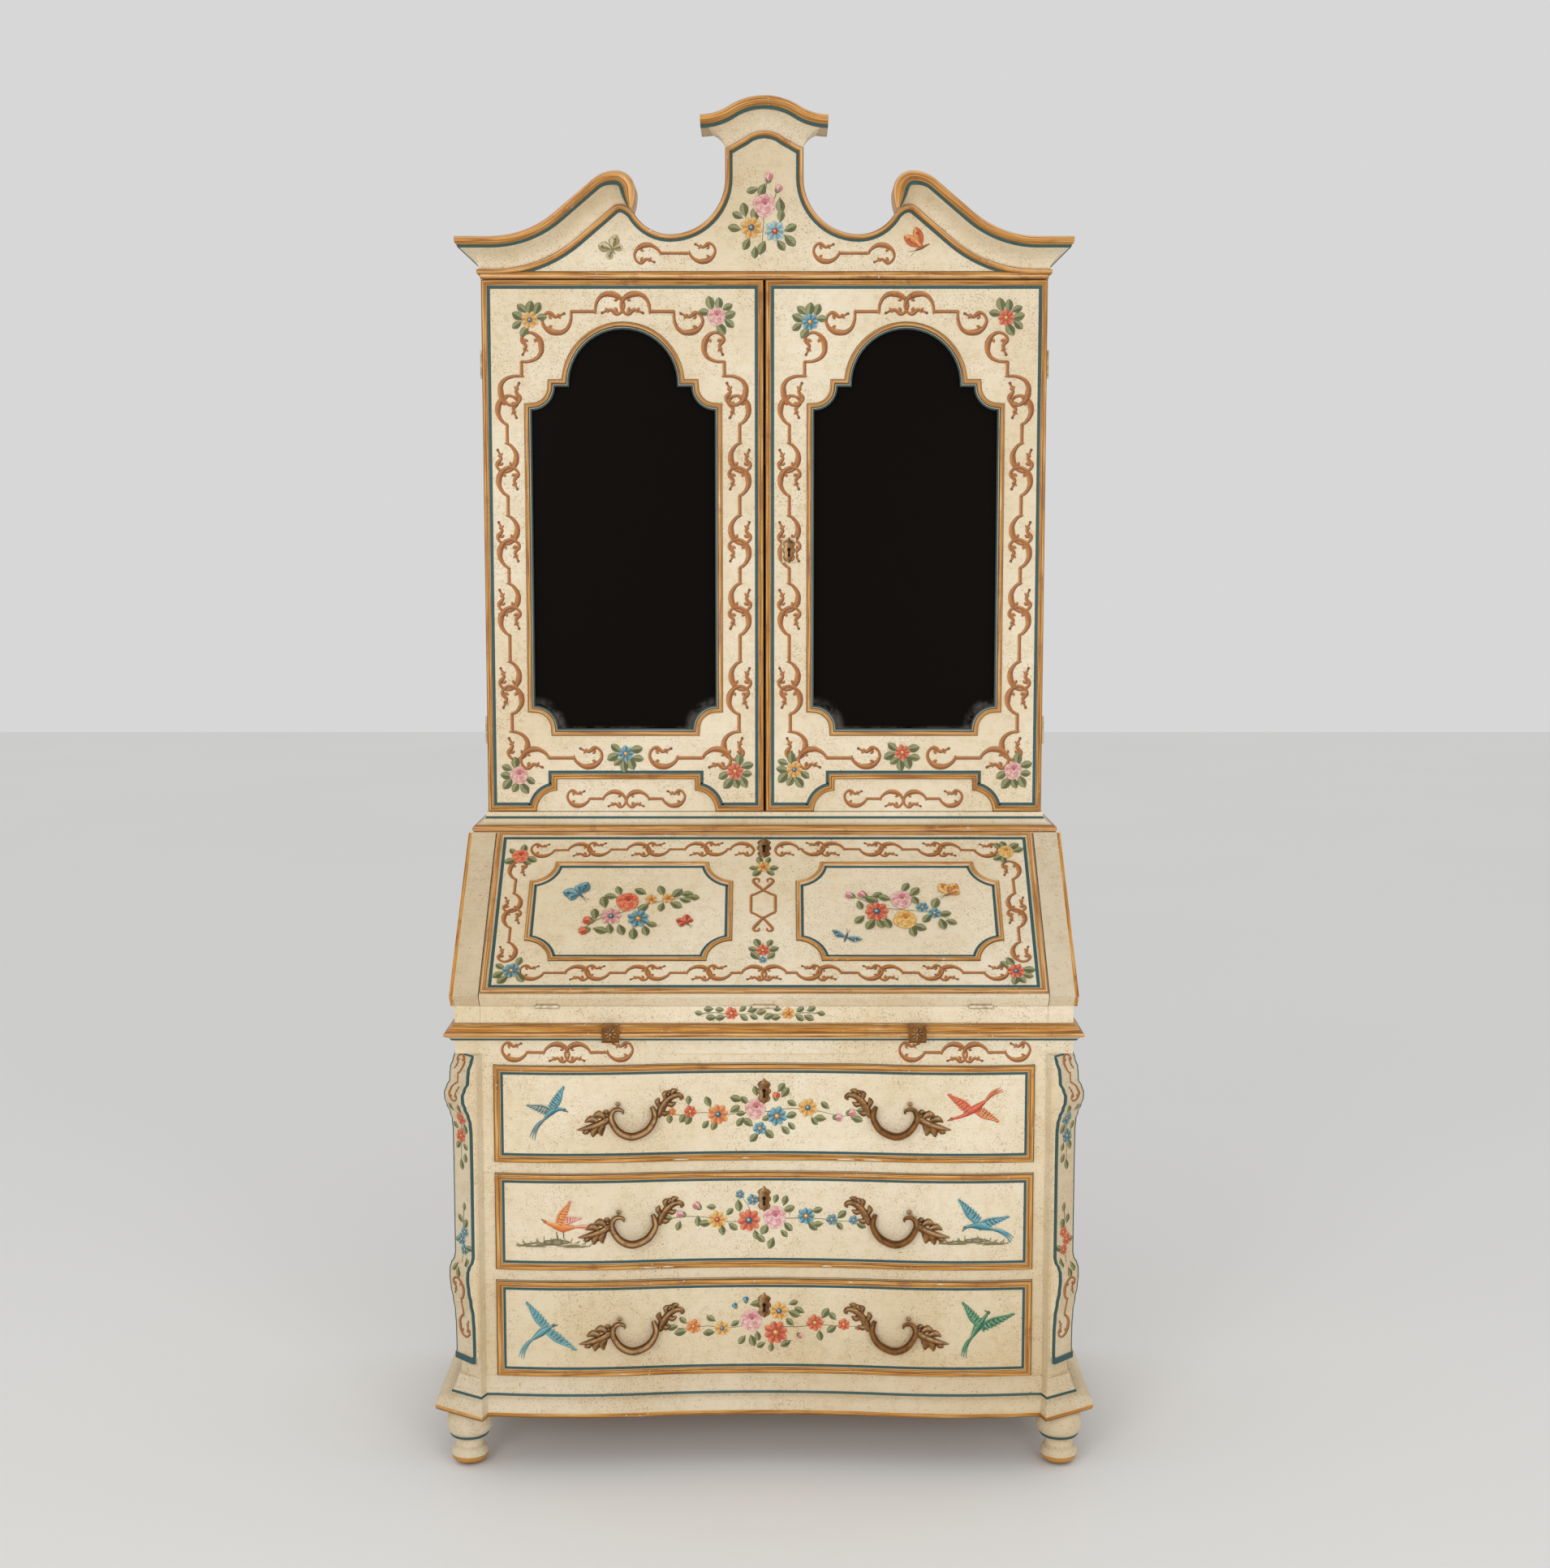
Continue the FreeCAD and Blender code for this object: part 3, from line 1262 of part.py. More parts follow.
# Cap over the middle of the pediment: an arched rim, and a hollow from the board out to it.
cap_edge = neck_high + D.cap_flare + D.cap_rim
cap_turn = D.cap_half * 0.54
crown_rise = D.cap_arch * 0.53
crown_bend = (cap_turn * cap_turn + crown_rise * crown_rise) / (crown_rise * 2)
foot_run = D.cap_half - cap_turn
foot_rise = D.cap_arch - crown_rise
foot_bend = (foot_run * foot_run + foot_rise * foot_rise) / (foot_rise * 2)


def cap_line(base):
    """The arched line of the cap from its right end to its left, above a level."""
    right = [(D.cap_half, base, -foot_bend), (cap_turn, base + foot_rise, crown_bend), (0, base + D.cap_arch)]
    left = back_along(flip(right, -1))
    return [right[0], right[1], (0, base + D.cap_arch, crown_bend)] + left[1:]


cap_outline = cap_line(cap_edge) + back_along(cap_line(cap_edge - D.cap_rim))
cap_rim_solid = slab(cap_outline, "XZ", rim_front, case_face)


def arch_height(share):
    """The arch under the cap as a share of its rise, at a share of its half width."""
    if share > 0.54:
        return 0.47 * ((1 - share) / 0.46) ** 1.5
    return 1 - 0.53 * (share / 0.54) ** 2


cap_wires = []
cap_steps = 8
for step in range(6):
    turn = math.radians(hollow_turn * step / 5)
    share = (1 - math.cos(turn)) / (1 - math.cos(math.radians(hollow_turn)))
    half = float(D.neck_half + (D.cap_half * 0.96 - D.neck_half) * share)
    rise = math.sin(turn) / math.sin(math.radians(hollow_turn))
    base = float(neck_high + D.cap_flare * rise)
    arch = float(D.neck_arch + (D.cap_arch - D.neck_arch) * rise)
    top = float(cap_edge)
    under = []
    over = []
    for place in range(-cap_steps, cap_steps + 1):
        spot = place / cap_steps
        under.append((spot * half, base + arch * arch_height(abs(spot))))
        over.append((spot * half, top + float(D.cap_arch) * arch_height(abs(spot) * half / float(D.cap_half))))
    cap_wires.append(wire(under + over[::-1], "XZ", float(book_face - hollow_out * share)))
cap_cove = Part.makeLoft(cap_wires, True, True).cut(slab(
    cap_line(cap_edge + D.cap_arch) + back_along(cap_line(cap_edge - D.cap_rim)), "XZ", rim_front, case_face
))
keep(shape_piece(Part.makeCompound([cap_rim_solid] + cap_cove.Solids)), "cap_moulding")

# Cornice returns along the sides, mitred at the front corners.
returns = []
bead_foot = book_top - bead_low
bead_top = bead_foot + D.bead_height
quirk = D.cornice_bead / 3
for side in (1, -1):
    far = book_half + D.cornice_side
    across = flip([
        (book_half, bead_foot),
        (book_half + D.cornice_bead, bead_foot),
        (book_half + D.cornice_bead, bead_top),
        (book_half + quirk, bead_top, -D.cove_bend),
        (far - rim * 0.3, book_top - rim),
        (far, book_top - rim),
        (far, book_top),
        (book_half, book_top),
    ], side)
    along = [
        (book_face, bead_foot),
        (book_face - D.cornice_bead, bead_foot),
        (book_face - D.cornice_bead, bead_top),
        (book_face - quirk, bead_top, D.cove_bend * 1.3),
        (rim_front + rim * 0.3, book_top - rim),
        (rim_front, book_top - rim),
        (rim_front, book_top),
        (back, book_top),
        (back, bead_foot),
    ]
    run = slab(across, "XZ", rim_front, back)
    ends = (book_half, far) if side > 0 else (-far, -book_half)
    returns.append(run.common(slab(along, "YZ", ends[0], ends[1])))
keep(shape_piece(Part.makeCompound(returns)), "cornice_returns")

# Doors: frame with a shaped opening, mirror and backing in a rebate, mouldings, hinge leaves.
door_in = D.door_meet / 2
door_width = door_edge - door_in
arch_top = D.glass_spring + D.glass_arch
rebate_half = D.glass_half + D.glass_lap
rebate_low = D.glass_bottom - D.glass_lap
rebate_high = arch_top + D.glass_lap


def opening_outline(middle, grow):
    """The shaped opening, anticlockwise, or a parallel outline round it."""
    low = door_low + D.glass_bottom
    spring = door_low + D.glass_spring
    shoulder = spring - D.glass_step * 0.15
    notch = D.glass_notch - grow
    reach = root(notch * notch - grow * grow)
    arch = D.glass_arch + grow
    fall_short = grow - D.glass_step * 0.15
    arch_foot = root(arch * arch - fall_short * fall_short)
    right = [
        (D.glass_half - reach, low - grow, -notch),
        (D.glass_half + grow, low + reach),
        (D.glass_half + grow, shoulder - reach, -notch),
        (D.glass_half - reach, shoulder + grow),
        (arch_foot, shoulder + grow, arch),
    ]
    outline = [(middle + c[0],) + tuple(c[1:]) for c in right]
    outline.append((middle, spring + arch, arch))
    mirrored = back_along([((middle - c[0]),) + tuple([c[1]] + [-b for b in c[2:]]) for c in right])
    return outline + mirrored


for name, side in (("left", -1), ("right", 1)):
    x_low, x_high = (door_in, door_edge) if side > 0 else (-door_edge, -door_in)
    middle = (x_low + x_high) / 2
    frame_outline = [(x_low, door_low), (x_high, door_low), (x_high, door_high), (x_low, door_high)]
    frame = pad("XZ", book_face, door_back, frame_outline, opening_outline(middle, as_size(0)))
    rebate = block(
        (middle - rebate_half, book_face + D.glass_face, door_low + rebate_low),
        (middle + rebate_half, door_back, door_low + rebate_high),
    )
    beds = [rebate]
    leaf_x = (x_high - D.hinge_reach, x_high) if side > 0 else (x_low, x_low + D.hinge_reach)
    for z in hinge_heights:
        low = (leaf_x[0], door_back - D.hinge_leaf, z - D.door_hinge / 2)
        beds.append(block(low, (leaf_x[1], door_back, z + D.door_hinge / 2)))
    keep(cut(frame, beds), "door_%s_frame" % name)
    plate_back = book_face + D.glass_face + D.glass_plate
    plate = block(
        (middle - rebate_half, book_face + D.glass_face, door_low + rebate_low),
        (middle + rebate_half, plate_back, door_low + rebate_high),
    )
    keep(plate, "door_%s_mirror" % name)
    backing = block(
        (middle - rebate_half, plate_back, door_low + rebate_low),
        (middle + rebate_half, door_back, door_low + rebate_high),
    )
    keep(backing, "door_%s_backing" % name)

    # The border steps up round the apron at the foot of the door.
    def border_outline(inset):
        shoulder = D.apron_half + D.apron_round
        low = door_low + inset
        round_low = D.apron_round + inset
        return [
            (x_low + inset, low),
            (middle - shoulder - inset, low, -round_low),
            (middle - D.apron_half - inset, low + D.apron_round + inset - inset),
            (middle - D.apron_half - inset, low + D.apron_rise),
            (middle + D.apron_half + inset, low + D.apron_rise),
            (middle + D.apron_half + inset, low + D.apron_round + inset - inset),
            (middle + shoulder + inset, low),
            (x_high - inset, low),
            (x_high - inset, door_high - inset),
            (x_low + inset, door_high - inset),
        ]

    moulding_front = book_face - D.border_height
    outer = border_outline(as_size(0))
    outer[1] = outer[1][:2] + (-D.apron_round,)
    outer[5] = outer[5][:2] + (-D.apron_round,)
    inner = border_outline(D.border_width)
    inner[1] = inner[1][:2] + (-D.apron_round,)
    inner[5] = inner[5][:2] + (-D.apron_round,)
    border = pad("XZ", moulding_front, book_face, outer, inner)
    ring = pad(
        "XZ",
        moulding_front,
        book_face,
        opening_outline(middle, D.glass_band),
        opening_outline(middle, as_size(0)),
    )
    keep(compound([border, ring]), "door_%s_mouldings" % name)

    brass = []
    x_axis = float(axis_x) * side
    y_axis = float(axis_y)
    long = float(D.door_hinge)
    third = long * 0.3
    gap = float(D.knuckle_gap)
    for z in hinge_heights:
        low_z = float(z) - long / 2
        start = (x_axis, y_axis, low_z)
        ends = knuckles(float(D.door_knuckle), long, start, (0, 0, 1), False)
        case_x = sorted((float(book_half) * side, (float(book_half) - float(D.hinge_reach)) * side))
        leaf = box((case_x[0], case_face, low_z), (case_x[1], case_face + D.hinge_leaf, low_z + long))
        tab_x = sorted((float(book_half) * side, x_axis))
        tabs = [
            box((tab_x[0], case_face, tab_z), (tab_x[1], case_face + D.hinge_leaf, tab_z + third))
            for tab_z in (low_z, low_z + long - third)
        ]
        fixed_hinges.append(ends.fuse([leaf] + tabs).removeSplitter())
        barrel = knuckles(float(D.door_knuckle), long, start, (0, 0, 1), True)
        plate_x = sorted((float(leaf_x[0]), float(leaf_x[1])))
        plate = box((plate_x[0], door_back - D.hinge_leaf, low_z), (plate_x[1], door_back, low_z + long))
        bore = float(D.hinge_pin) + gap
        reach = sorted((float(door_edge) * side, x_axis - side * bore))
        tab = box(
            (reach[0], door_back - D.hinge_leaf, low_z + third + gap),
            (reach[1], door_back, low_z + long - third - gap),
        )
        brass.append(barrel.fuse([tab, plate]).removeSplitter())
    if side > 0:
        plate_z = door_low + D.door_plate_height
        key = box(
            (D.door_plate - D.plate_width / 2, book_face - D.plate_thick, plate_z - D.plate_height / 2),
            (D.door_plate + D.plate_width / 2, book_face, plate_z + D.plate_height / 2),
        )
        brass.append(key)
    keep(shape_piece(Part.makeCompound(brass)), "door_%s_brass" % name)

keep(shape_piece(Part.makeCompound(fixed_hinges)), "fixed_hinges")

doc.recompute()

# Nothing is written unless every object and every piece is sound.
for thing in doc.Objects:
    if "Invalid" in thing.State or "Error" in thing.State:
        raise RuntimeError("%s (%s) failed: %s" % (thing.Name, thing.Label, thing.State))
for thing in nodes:
    shape = thing.Shape
    if shape.isNull() or not shape.isValid() or not shape.Solids:
        raise RuntimeError("%s has no sound shape" % thing.Label)

os.makedirs("parts", exist_ok=True)
for thing in nodes:
    thing.Shape.exportStep(os.path.join("parts", thing.Label + ".step"))
total = Part.makeCompound([thing.Shape for thing in nodes]).BoundBox
print("%d pieces, %.1f x %.1f x %.1f mm" % (len(nodes), total.XLength, total.YLength, total.ZLength))
print("from", [round(v, 2) for v in (total.XMin, total.YMin, total.ZMin)])
print("to", [round(v, 2) for v in (total.XMax, total.YMax, total.ZMax)])
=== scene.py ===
import json
import math

import bmesh
import bpy
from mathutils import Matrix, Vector


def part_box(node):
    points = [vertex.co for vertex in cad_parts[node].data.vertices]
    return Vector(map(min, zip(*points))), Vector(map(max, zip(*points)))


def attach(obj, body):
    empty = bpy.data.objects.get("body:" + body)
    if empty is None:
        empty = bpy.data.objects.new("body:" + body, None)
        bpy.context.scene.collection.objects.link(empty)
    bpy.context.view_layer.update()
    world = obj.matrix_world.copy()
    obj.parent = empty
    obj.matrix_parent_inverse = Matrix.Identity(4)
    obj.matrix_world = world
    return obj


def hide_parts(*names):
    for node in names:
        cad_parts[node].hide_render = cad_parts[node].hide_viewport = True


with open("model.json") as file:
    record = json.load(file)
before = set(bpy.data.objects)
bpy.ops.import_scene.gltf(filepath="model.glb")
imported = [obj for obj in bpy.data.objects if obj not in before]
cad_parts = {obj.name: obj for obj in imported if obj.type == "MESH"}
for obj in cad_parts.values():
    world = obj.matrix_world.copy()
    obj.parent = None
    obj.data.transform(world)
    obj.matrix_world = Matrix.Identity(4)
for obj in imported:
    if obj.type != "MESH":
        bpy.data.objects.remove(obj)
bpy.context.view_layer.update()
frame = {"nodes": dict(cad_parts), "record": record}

bl_info = {
    "name": "Painted Secretary Bookcase",
    "version": (1, 0, 0),
    "blender": (4, 5, 0),
    "location": "3D View > Sidebar > Secretary",
    "description": "Dresses a slant-front secretary bookcase with paint, gilding, brass and ornament",
    "category": "Object",
}

NODES = frame["nodes"]
SLOTS = {part["node"]: part["material_slot"] for part in frame["record"]["subparts"]}

# Nodes whose finish isn't simply their slot's. Wood has its grain along its boards.
OTHER_FINISHES = {
    # The fall's cheeks take a darker cream: painted shade on their upward slope.
    "dusty_paint": ("fall_cheeks",),
    "worn_steel": ("fixed_hinges", "door_left_brass", "door_right_brass"),
    "level_wood": (
        "base_bottom", "writing_bed", "bookcase_boards", "gallery_drawer_left", "gallery_drawer_right",
    ),
    "deep_wood": (
        "drawer_1_box", "drawer_2_box", "drawer_3_box", "loper_left", "loper_right", "runners_and_guides",
    ),
}
FINISHES = dict(SLOTS, **{node: finish for finish, nodes in OTHER_FINISHES.items() for node in nodes})

# Places are written in millimetres, as in the part's source, and become metres in the mesh.
MM = 0.001
FRONT = -244.0
BACK = 290.0
REAR = BACK - 0.4
DOOR_FACE = 30.0
CORNICE = 2041.73
BOOK_HALF = 482.5
CASE_HALF = 506.0
DRAWER_HALF = 443.0
SLOPE = math.radians(42)
FALL_FOOT = 780.3
FALL_THICKNESS = 23.0
LOPER_PLACE = 250.0
LOPER_SLOT = 13.6
CAP_BACK = DOOR_FACE + 23


def rgb(r, g, b, gilt=0.0):
    """A colour as it looks on screen, 0 to 255, made linear; gilt is how much of it is gold leaf."""
    def linear(v):
        v /= 255
        return v / 12.92 if v <= 0.04045 else ((v + 0.055) / 1.055) ** 2.4
    return (linear(r), linear(g), linear(b), gilt)


def mixed(a, b, share):
    """A colour between two others."""
    return tuple(x + (y - x) * share for x, y in zip(a, b))


# Shader maths

class Value:
    """A number or a socket in a material, with the arithmetic that shader expressions use."""

    def __init__(self, tree, socket):
        self.tree = tree
        self.socket = socket

    def maths(self, operation, *values):
        return self.tree.node("ShaderNodeMath", {"operation": operation}, *values)

    def __add__(self, other):
        return self.maths("ADD", self, other)

    def __sub__(self, other):
        return self.maths("SUBTRACT", self, other)

    def __mul__(self, other):
        return self.maths("MULTIPLY", self, other)

    def __radd__(self, other):
        return self.maths("ADD", other, self)

    def __rsub__(self, other):
        return self.maths("SUBTRACT", other, self)

    def __rmul__(self, other):
        return self.maths("MULTIPLY", other, self)

    def band(self, low, high):
        """Rises from 0 to 1 between two values."""
        return self.tree.node(
            "ShaderNodeMapRange", {"interpolation_type": "SMOOTHSTEP"}, self, low, high, 0.0, 1.0
        )


class Finish:
    """A node material under construction."""

    def __init__(self, name):
        self.material = bpy.data.materials.new(name)
        self.material.use_nodes = True
        self.nodes = self.material.node_tree.nodes
        self.links = self.material.node_tree.links
        self.shader = next(n for n in self.nodes if n.type == "BSDF_PRINCIPLED")

    def node(self, kind, settings, *inputs, output=0, **named):
        made = self.nodes.new(kind)
        for key, value in settings.items():
            setattr(made, key, value)
        for key, value in list(enumerate(inputs)) + list(named.items()):
            self.feed(made.inputs[key.replace("_", " ") if isinstance(key, str) else key], value)
        return Value(self, made.outputs[output])

    def feed(self, socket, value):
        if isinstance(value, Value):
            self.links.new(value.socket, socket)
        else:
            socket.default_value = value

    def place(self, scale=(1, 1, 1), turn=(0, 0, 0)):
        """Object coordinates, stretched and turned."""
        coordinates = self.node("ShaderNodeTexCoord", {}, output="Object")
        return self.node("ShaderNodeMapping", {}, coordinates, Scale=scale, Rotation=turn)

    def noise(self, where, scale, detail=3.0, roughness=0.55):
        return self.node(
            "ShaderNodeTexNoise", {}, Vector=where, Scale=scale, Detail=detail, Roughness=roughness
        )

    def mix(self, mask, low, high, blend="MIX"):
        made = self.nodes.new("ShaderNodeMix")
        made.data_type = "RGBA"
        made.blend_type = blend
        for socket, value in zip((made.inputs[0], made.inputs[6], made.inputs[7]), (mask, low, high)):
            self.feed(socket, value)
        return Value(self, made.outputs[2])

    def bump(self, height, strength, distance):
        return self.node("ShaderNodeBump", {}, Strength=strength, Distance=distance, Height=height)

    def finish(self, **sockets):
        for key, value in sockets.items():
            self.feed(self.shader.inputs[key.replace("_", " ")], value)
        return self.material


# Settings that a user would change

def paint_colour(name, description, default):
    return bpy.props.FloatVectorProperty(
        name=name, description=description, subtype="COLOR", size=4, min=0, max=1, default=default,
    )


def number(name, description, low, high, default, **more):
    return bpy.props.FloatProperty(
        name=name, description=description, min=low, max=high, default=default, **more,
    )


class SecretaryPaint(bpy.types.PropertyGroup):
    """Colours and age of the paint, gilding and brass."""

    cream: paint_colour("Cream", "Ground colour of the case", rgb(241, 228, 201))
    gold: paint_colour("Gold", "Gilded mouldings", rgb(210, 149, 66, 1.0))
    blue: paint_colour("Blue", "Painted lines beside the mouldings", rgb(46, 88, 92))
    scroll: paint_colour("Scroll", "Painted strapwork", rgb(168, 100, 43))
    brass: paint_colour("Brass", "Cast handles and plates", rgb(138, 91, 40, 1.0))
    # Wear also scales the painted shade towards the bottom and the top of the case.
    wear: number("Wear", "Strength of specks, streaks and toning", 0, 2, 1.0, subtype="FACTOR")


class SecretarySizes(bpy.types.PropertyGroup):
    """Sizes of the dressing that the solids leave open."""

    paint_height: number(
        "Paint Height", "Thickness of the first layer of painted ornament", 0.00005, 0.001, 0.00015,
        unit="LENGTH",
    )
    scroll_scale: number("Scroll Scale", "Size of the painted strapwork", 0.5, 1.5, 1.0)
    turning_steps: bpy.props.IntProperty(
        name="Turning Steps", description="Sides of the turned feet", min=12, max=96, default=40,
    )


class SecretaryStage(bpy.types.PropertyGroup):
    """Camera and light."""

    lens: number("Lens", "Focal length of the camera in millimetres", 20, 120, 50)
    sky: number("Sky", "Strength of the even light", 0, 4, 0.68)
    lamp: number("Lamp", "Power of each soft lamp in watts", 0, 500, 31)


def tones():
    """Named colours of the paint and gilding, and of their painted shade and highlights, worked out from the
    settings.
    """
    paint = bpy.context.scene.secretary_paint
    gold = tuple(paint.gold)
    cream = tuple(paint.cream)[:3] + (0.0,)
    highlight_white = (1.0, 0.95, 0.85, 0.6)
    black = (0.02, 0.012, 0.006, 0.3)
    blue = tuple(paint.blue)[:3] + (0.0,)
    return {
        "cream": cream,
        # shade: cream darkened as painted shade in the hollows, creases and undersides of the mouldings and
        # feet.
        "shade": mixed(cream, rgb(176, 146, 100), 0.45),
        # A darker cream for the plinth, the feet, the pilaster strips and the fall's cheeks: painted shade
        # low down and on sloping faces, partly dust.
        "dusty": mixed(cream, rgb(166, 136, 92), 0.27),
        "gold": gold,
        # deep and brown: gold darkened on the flanks and in the grooves of the beads, painted shade; at the
        # outer edges the brown is also the gilding's own dark toning.
        "deep": mixed(gold, black, 0.42),
        "brown": mixed(gold, black, 0.72),
        # pale: gold lightened towards white, a painted highlight along the crowns of the gilt beads.
        "pale": mixed(gold, highlight_white, 0.34),
        "tan": mixed(gold, cream, 0.5),
        "blue": blue,
        "slate": mixed(blue, rgb(40, 56, 54), 0.45),
    }


def tints(profile):
    """The colours across a moulding, whose profile names one last in each of its places."""
    named = tones()
    return [named[place[-1]] for place in profile]


def scroll_tones():
    """The dark, middle and light colours of the strapwork."""
    return SCROLL_DARK, tuple(bpy.context.scene.secretary_paint.scroll)[:3] + (0.0,), SCROLL_LIGHT


def brass_tones():
    """The dark, middle and light colours of chased brass: the dark is painted shade and the light a painted
    highlight on the cast relief.
    """
    ground = tuple(bpy.context.scene.secretary_paint.brass)
    return mixed(ground, (0.03, 0.02, 0.01, 1), 0.74), ground, mixed(ground, (0.95, 0.78, 0.48, 1), 0.32)


# Finishes

def aged_paint(name, ground=None):
    """Brushed paint with specks and streaks, and on a plain paint ground painted shade towards the bottom
    and the top of the case. Without a ground it takes each vertex's own colour.
    """
    made = Finish(name)
    wear = bpy.context.scene.secretary_paint.wear
    where = made.place()
    cloud = made.noise(where, 3.4, 4.0, 0.6)
    brushed = made.noise(made.place((6, 6, 190)), 1.5, 3.0, 0.62)
    mottle = made.noise(where, 62.0, 4.0, 0.68)
    grain = made.noise(where, 420.0, 2.0, 0.55)
    patch = made.noise(where, 13.0, 3.0, 0.6)
    spots = made.noise(where, 230.0, 2.0, 0.5)
    if ground is None:
        colour = made.node("ShaderNodeAttribute", {"attribute_name": "tint"}, output="Color")
        gilt = made.node("ShaderNodeAttribute", {"attribute_name": "tint"}, output="Alpha")
        along = made.node("ShaderNodeUVMap", {"uv_map": "run"})
        streak = made.noise(made.node("ShaderNodeMapping", {}, along, Scale=(10, 470, 1)), 1.0, 4.0, 0.62)
    else:
        colour = ground[:3] + (1.0,)
        gilt = ground[3]
        turned = made.node("ShaderNodeVectorRotate", {"rotation_type": "X_AXIS"}, where, Angle=-SLOPE)
        streak = made.noise(made.node("ShaderNodeMapping", {}, turned, Scale=(300, 8, 300)), 1.0, 4.0, 0.62)
    rubbed = made.noise(where, 26.0, 4.0, 0.65)
    height = made.bump(brushed * 0.5 + mottle * 0.35 + grain * 0.25, 0.3, 0.0006)
    toned = made.mix(cloud.band(0.34, 0.68) * (0.62 * wear), colour, (0.83, 0.74, 0.58, 1), "MULTIPLY")
    streaked = made.mix(brushed.band(0.42, 0.78) * (0.24 * wear), toned, (0.84, 0.76, 0.63, 1), "MULTIPLY")
    mottled = made.mix(mottle.band(0.44, 0.72) * (0.50 * wear), streaked, (0.84, 0.76, 0.62, 1), "MULTIPLY")
    speck = grain.band(0.565, 0.655) * patch.band(0.34, 0.62) + spots.band(0.655, 0.71) * 0.7
    specked = made.mix(speck * (0.66 * wear), mottled, (0.50, 0.37, 0.23, 1), "MULTIPLY")
    if ground is not None and gilt == 0.0:
        # Plain paint gets darker towards the bottom and the top of the case: painted shade where the light
        # falls off.
        height_above = made.node("ShaderNodeSeparateXYZ", {}, where, output="Z")
        painted_shade_low_and_high = height_above.band(0.60, 0.14) + height_above.band(1.99, 2.15)
        specked = made.mix(painted_shade_low_and_high * (0.8 * wear), specked, (0.84, 0.79, 0.70, 1), "MULTIPLY")
        return made.finish(Base_Color=specked, Roughness=0.62 - cloud * 0.16, Normal=height)
    dulled = made.mix(streak.band(0.47, 0.62) * 0.9, colour, (0.42, 0.25, 0.10, 1), "MULTIPLY")
    bright = made.mix(streak.band(0.45, 0.31) * 0.70, dulled, (0.88, 0.67, 0.35, 1))
    worn = made.mix(rubbed.band(0.54, 0.74) * 0.60, bright, (0.50, 0.33, 0.18, 1), "MULTIPLY")
    chipped = made.mix(spots.band(0.675, 0.70) * patch.band(0.52, 0.62) * 0.8, worn, (0.80, 0.74, 0.62, 1))
    if ground is not None:
        return made.finish(
            Base_Color=chipped, Roughness=0.40 + rubbed * 0.3, Metallic=0.22 * (1 - rubbed), Normal=height
        )
    return made.finish(
        Base_Color=made.mix(gilt, specked, chipped),
        Roughness=0.62 - cloud * 0.14 - gilt * 0.14,
        Metallic=gilt * (0.24 - rubbed * 0.2),
        Normal=height,
    )


def cast_brass(name, ground=None):
    """Dark cast brass. Without a ground it takes each vertex's own colour, which carries painted highlights
    on its high places and painted shade on its sides.
    """
    made = Finish(name)
    if ground is None:
        colour = made.node("ShaderNodeAttribute", {"attribute_name": "tint"}, output="Color")
    else:
        colour = ground[:3] + (1.0,)
    where = made.place()
    blotch = made.noise(where, 95.0, 4.0, 0.65)
    pits = made.noise(where, 600.0, 2.0, 0.5)
    tarnished = made.mix(blotch.band(0.44, 0.66) * 0.7, colour, (0.40, 0.30, 0.20, 1), "MULTIPLY")
    pitted = made.mix(pits.band(0.60, 0.72) * 0.5, tarnished, (0.25, 0.17, 0.10, 1), "MULTIPLY")
    return made.finish(
        Base_Color=pitted,
        Roughness=0.30 + blotch * 0.26,
        Metallic=0.78 - blotch * 0.25,
        Normal=made.bump(blotch * 0.7 + pits * 0.3, 0.35, 0.0007),
    )


def old_mirror(name):
    """A mirror painted near black, a painted dark reflection, whose silvering has clouded at its lower
    corners.
    """
    made = Finish(name)
    where = made.place()
    across = made.node("ShaderNodeSeparateXYZ", {}, where, output="X")
    height = made.node("ShaderNodeSeparateXYZ", {}, where, output="Z")
    cloud = made.noise(where, 34.0, 5.0, 0.66)
    fox = made.noise(where, 260.0, 3.0, 0.6)
    aside = across.maths("ABSOLUTE", across)
    foot = 1.2112
    haze = height.band(foot + 0.006, foot) * 0.6
    rise = height - foot
    for corner in (0.0845, 0.3985):
        side = aside - corner
        reach = across.maths("SQRT", side * side + rise * rise)
        haze = haze + reach.band(0.058, 0.040)
    veil = haze * cloud.band(0.36, 0.62)
    # The near-black ground, with hardly any specular, is a painted dark reflection; the grey veil over it is
    # the clouded silvering.
    clouded = made.mix(veil * 0.55, (0.0062, 0.0048, 0.0040, 1), (0.20, 0.185, 0.165, 1))
    spotted = made.mix(fox.band(0.66, 0.72) * veil, clouded, (0.10, 0.075, 0.05, 1))
    return made.finish(
        Base_Color=spotted, Roughness=0.14 + cloud * 0.08, Specular_IOR_Level=0.015,
        Normal=made.bump(cloud, 0.02, 0.001),
    )


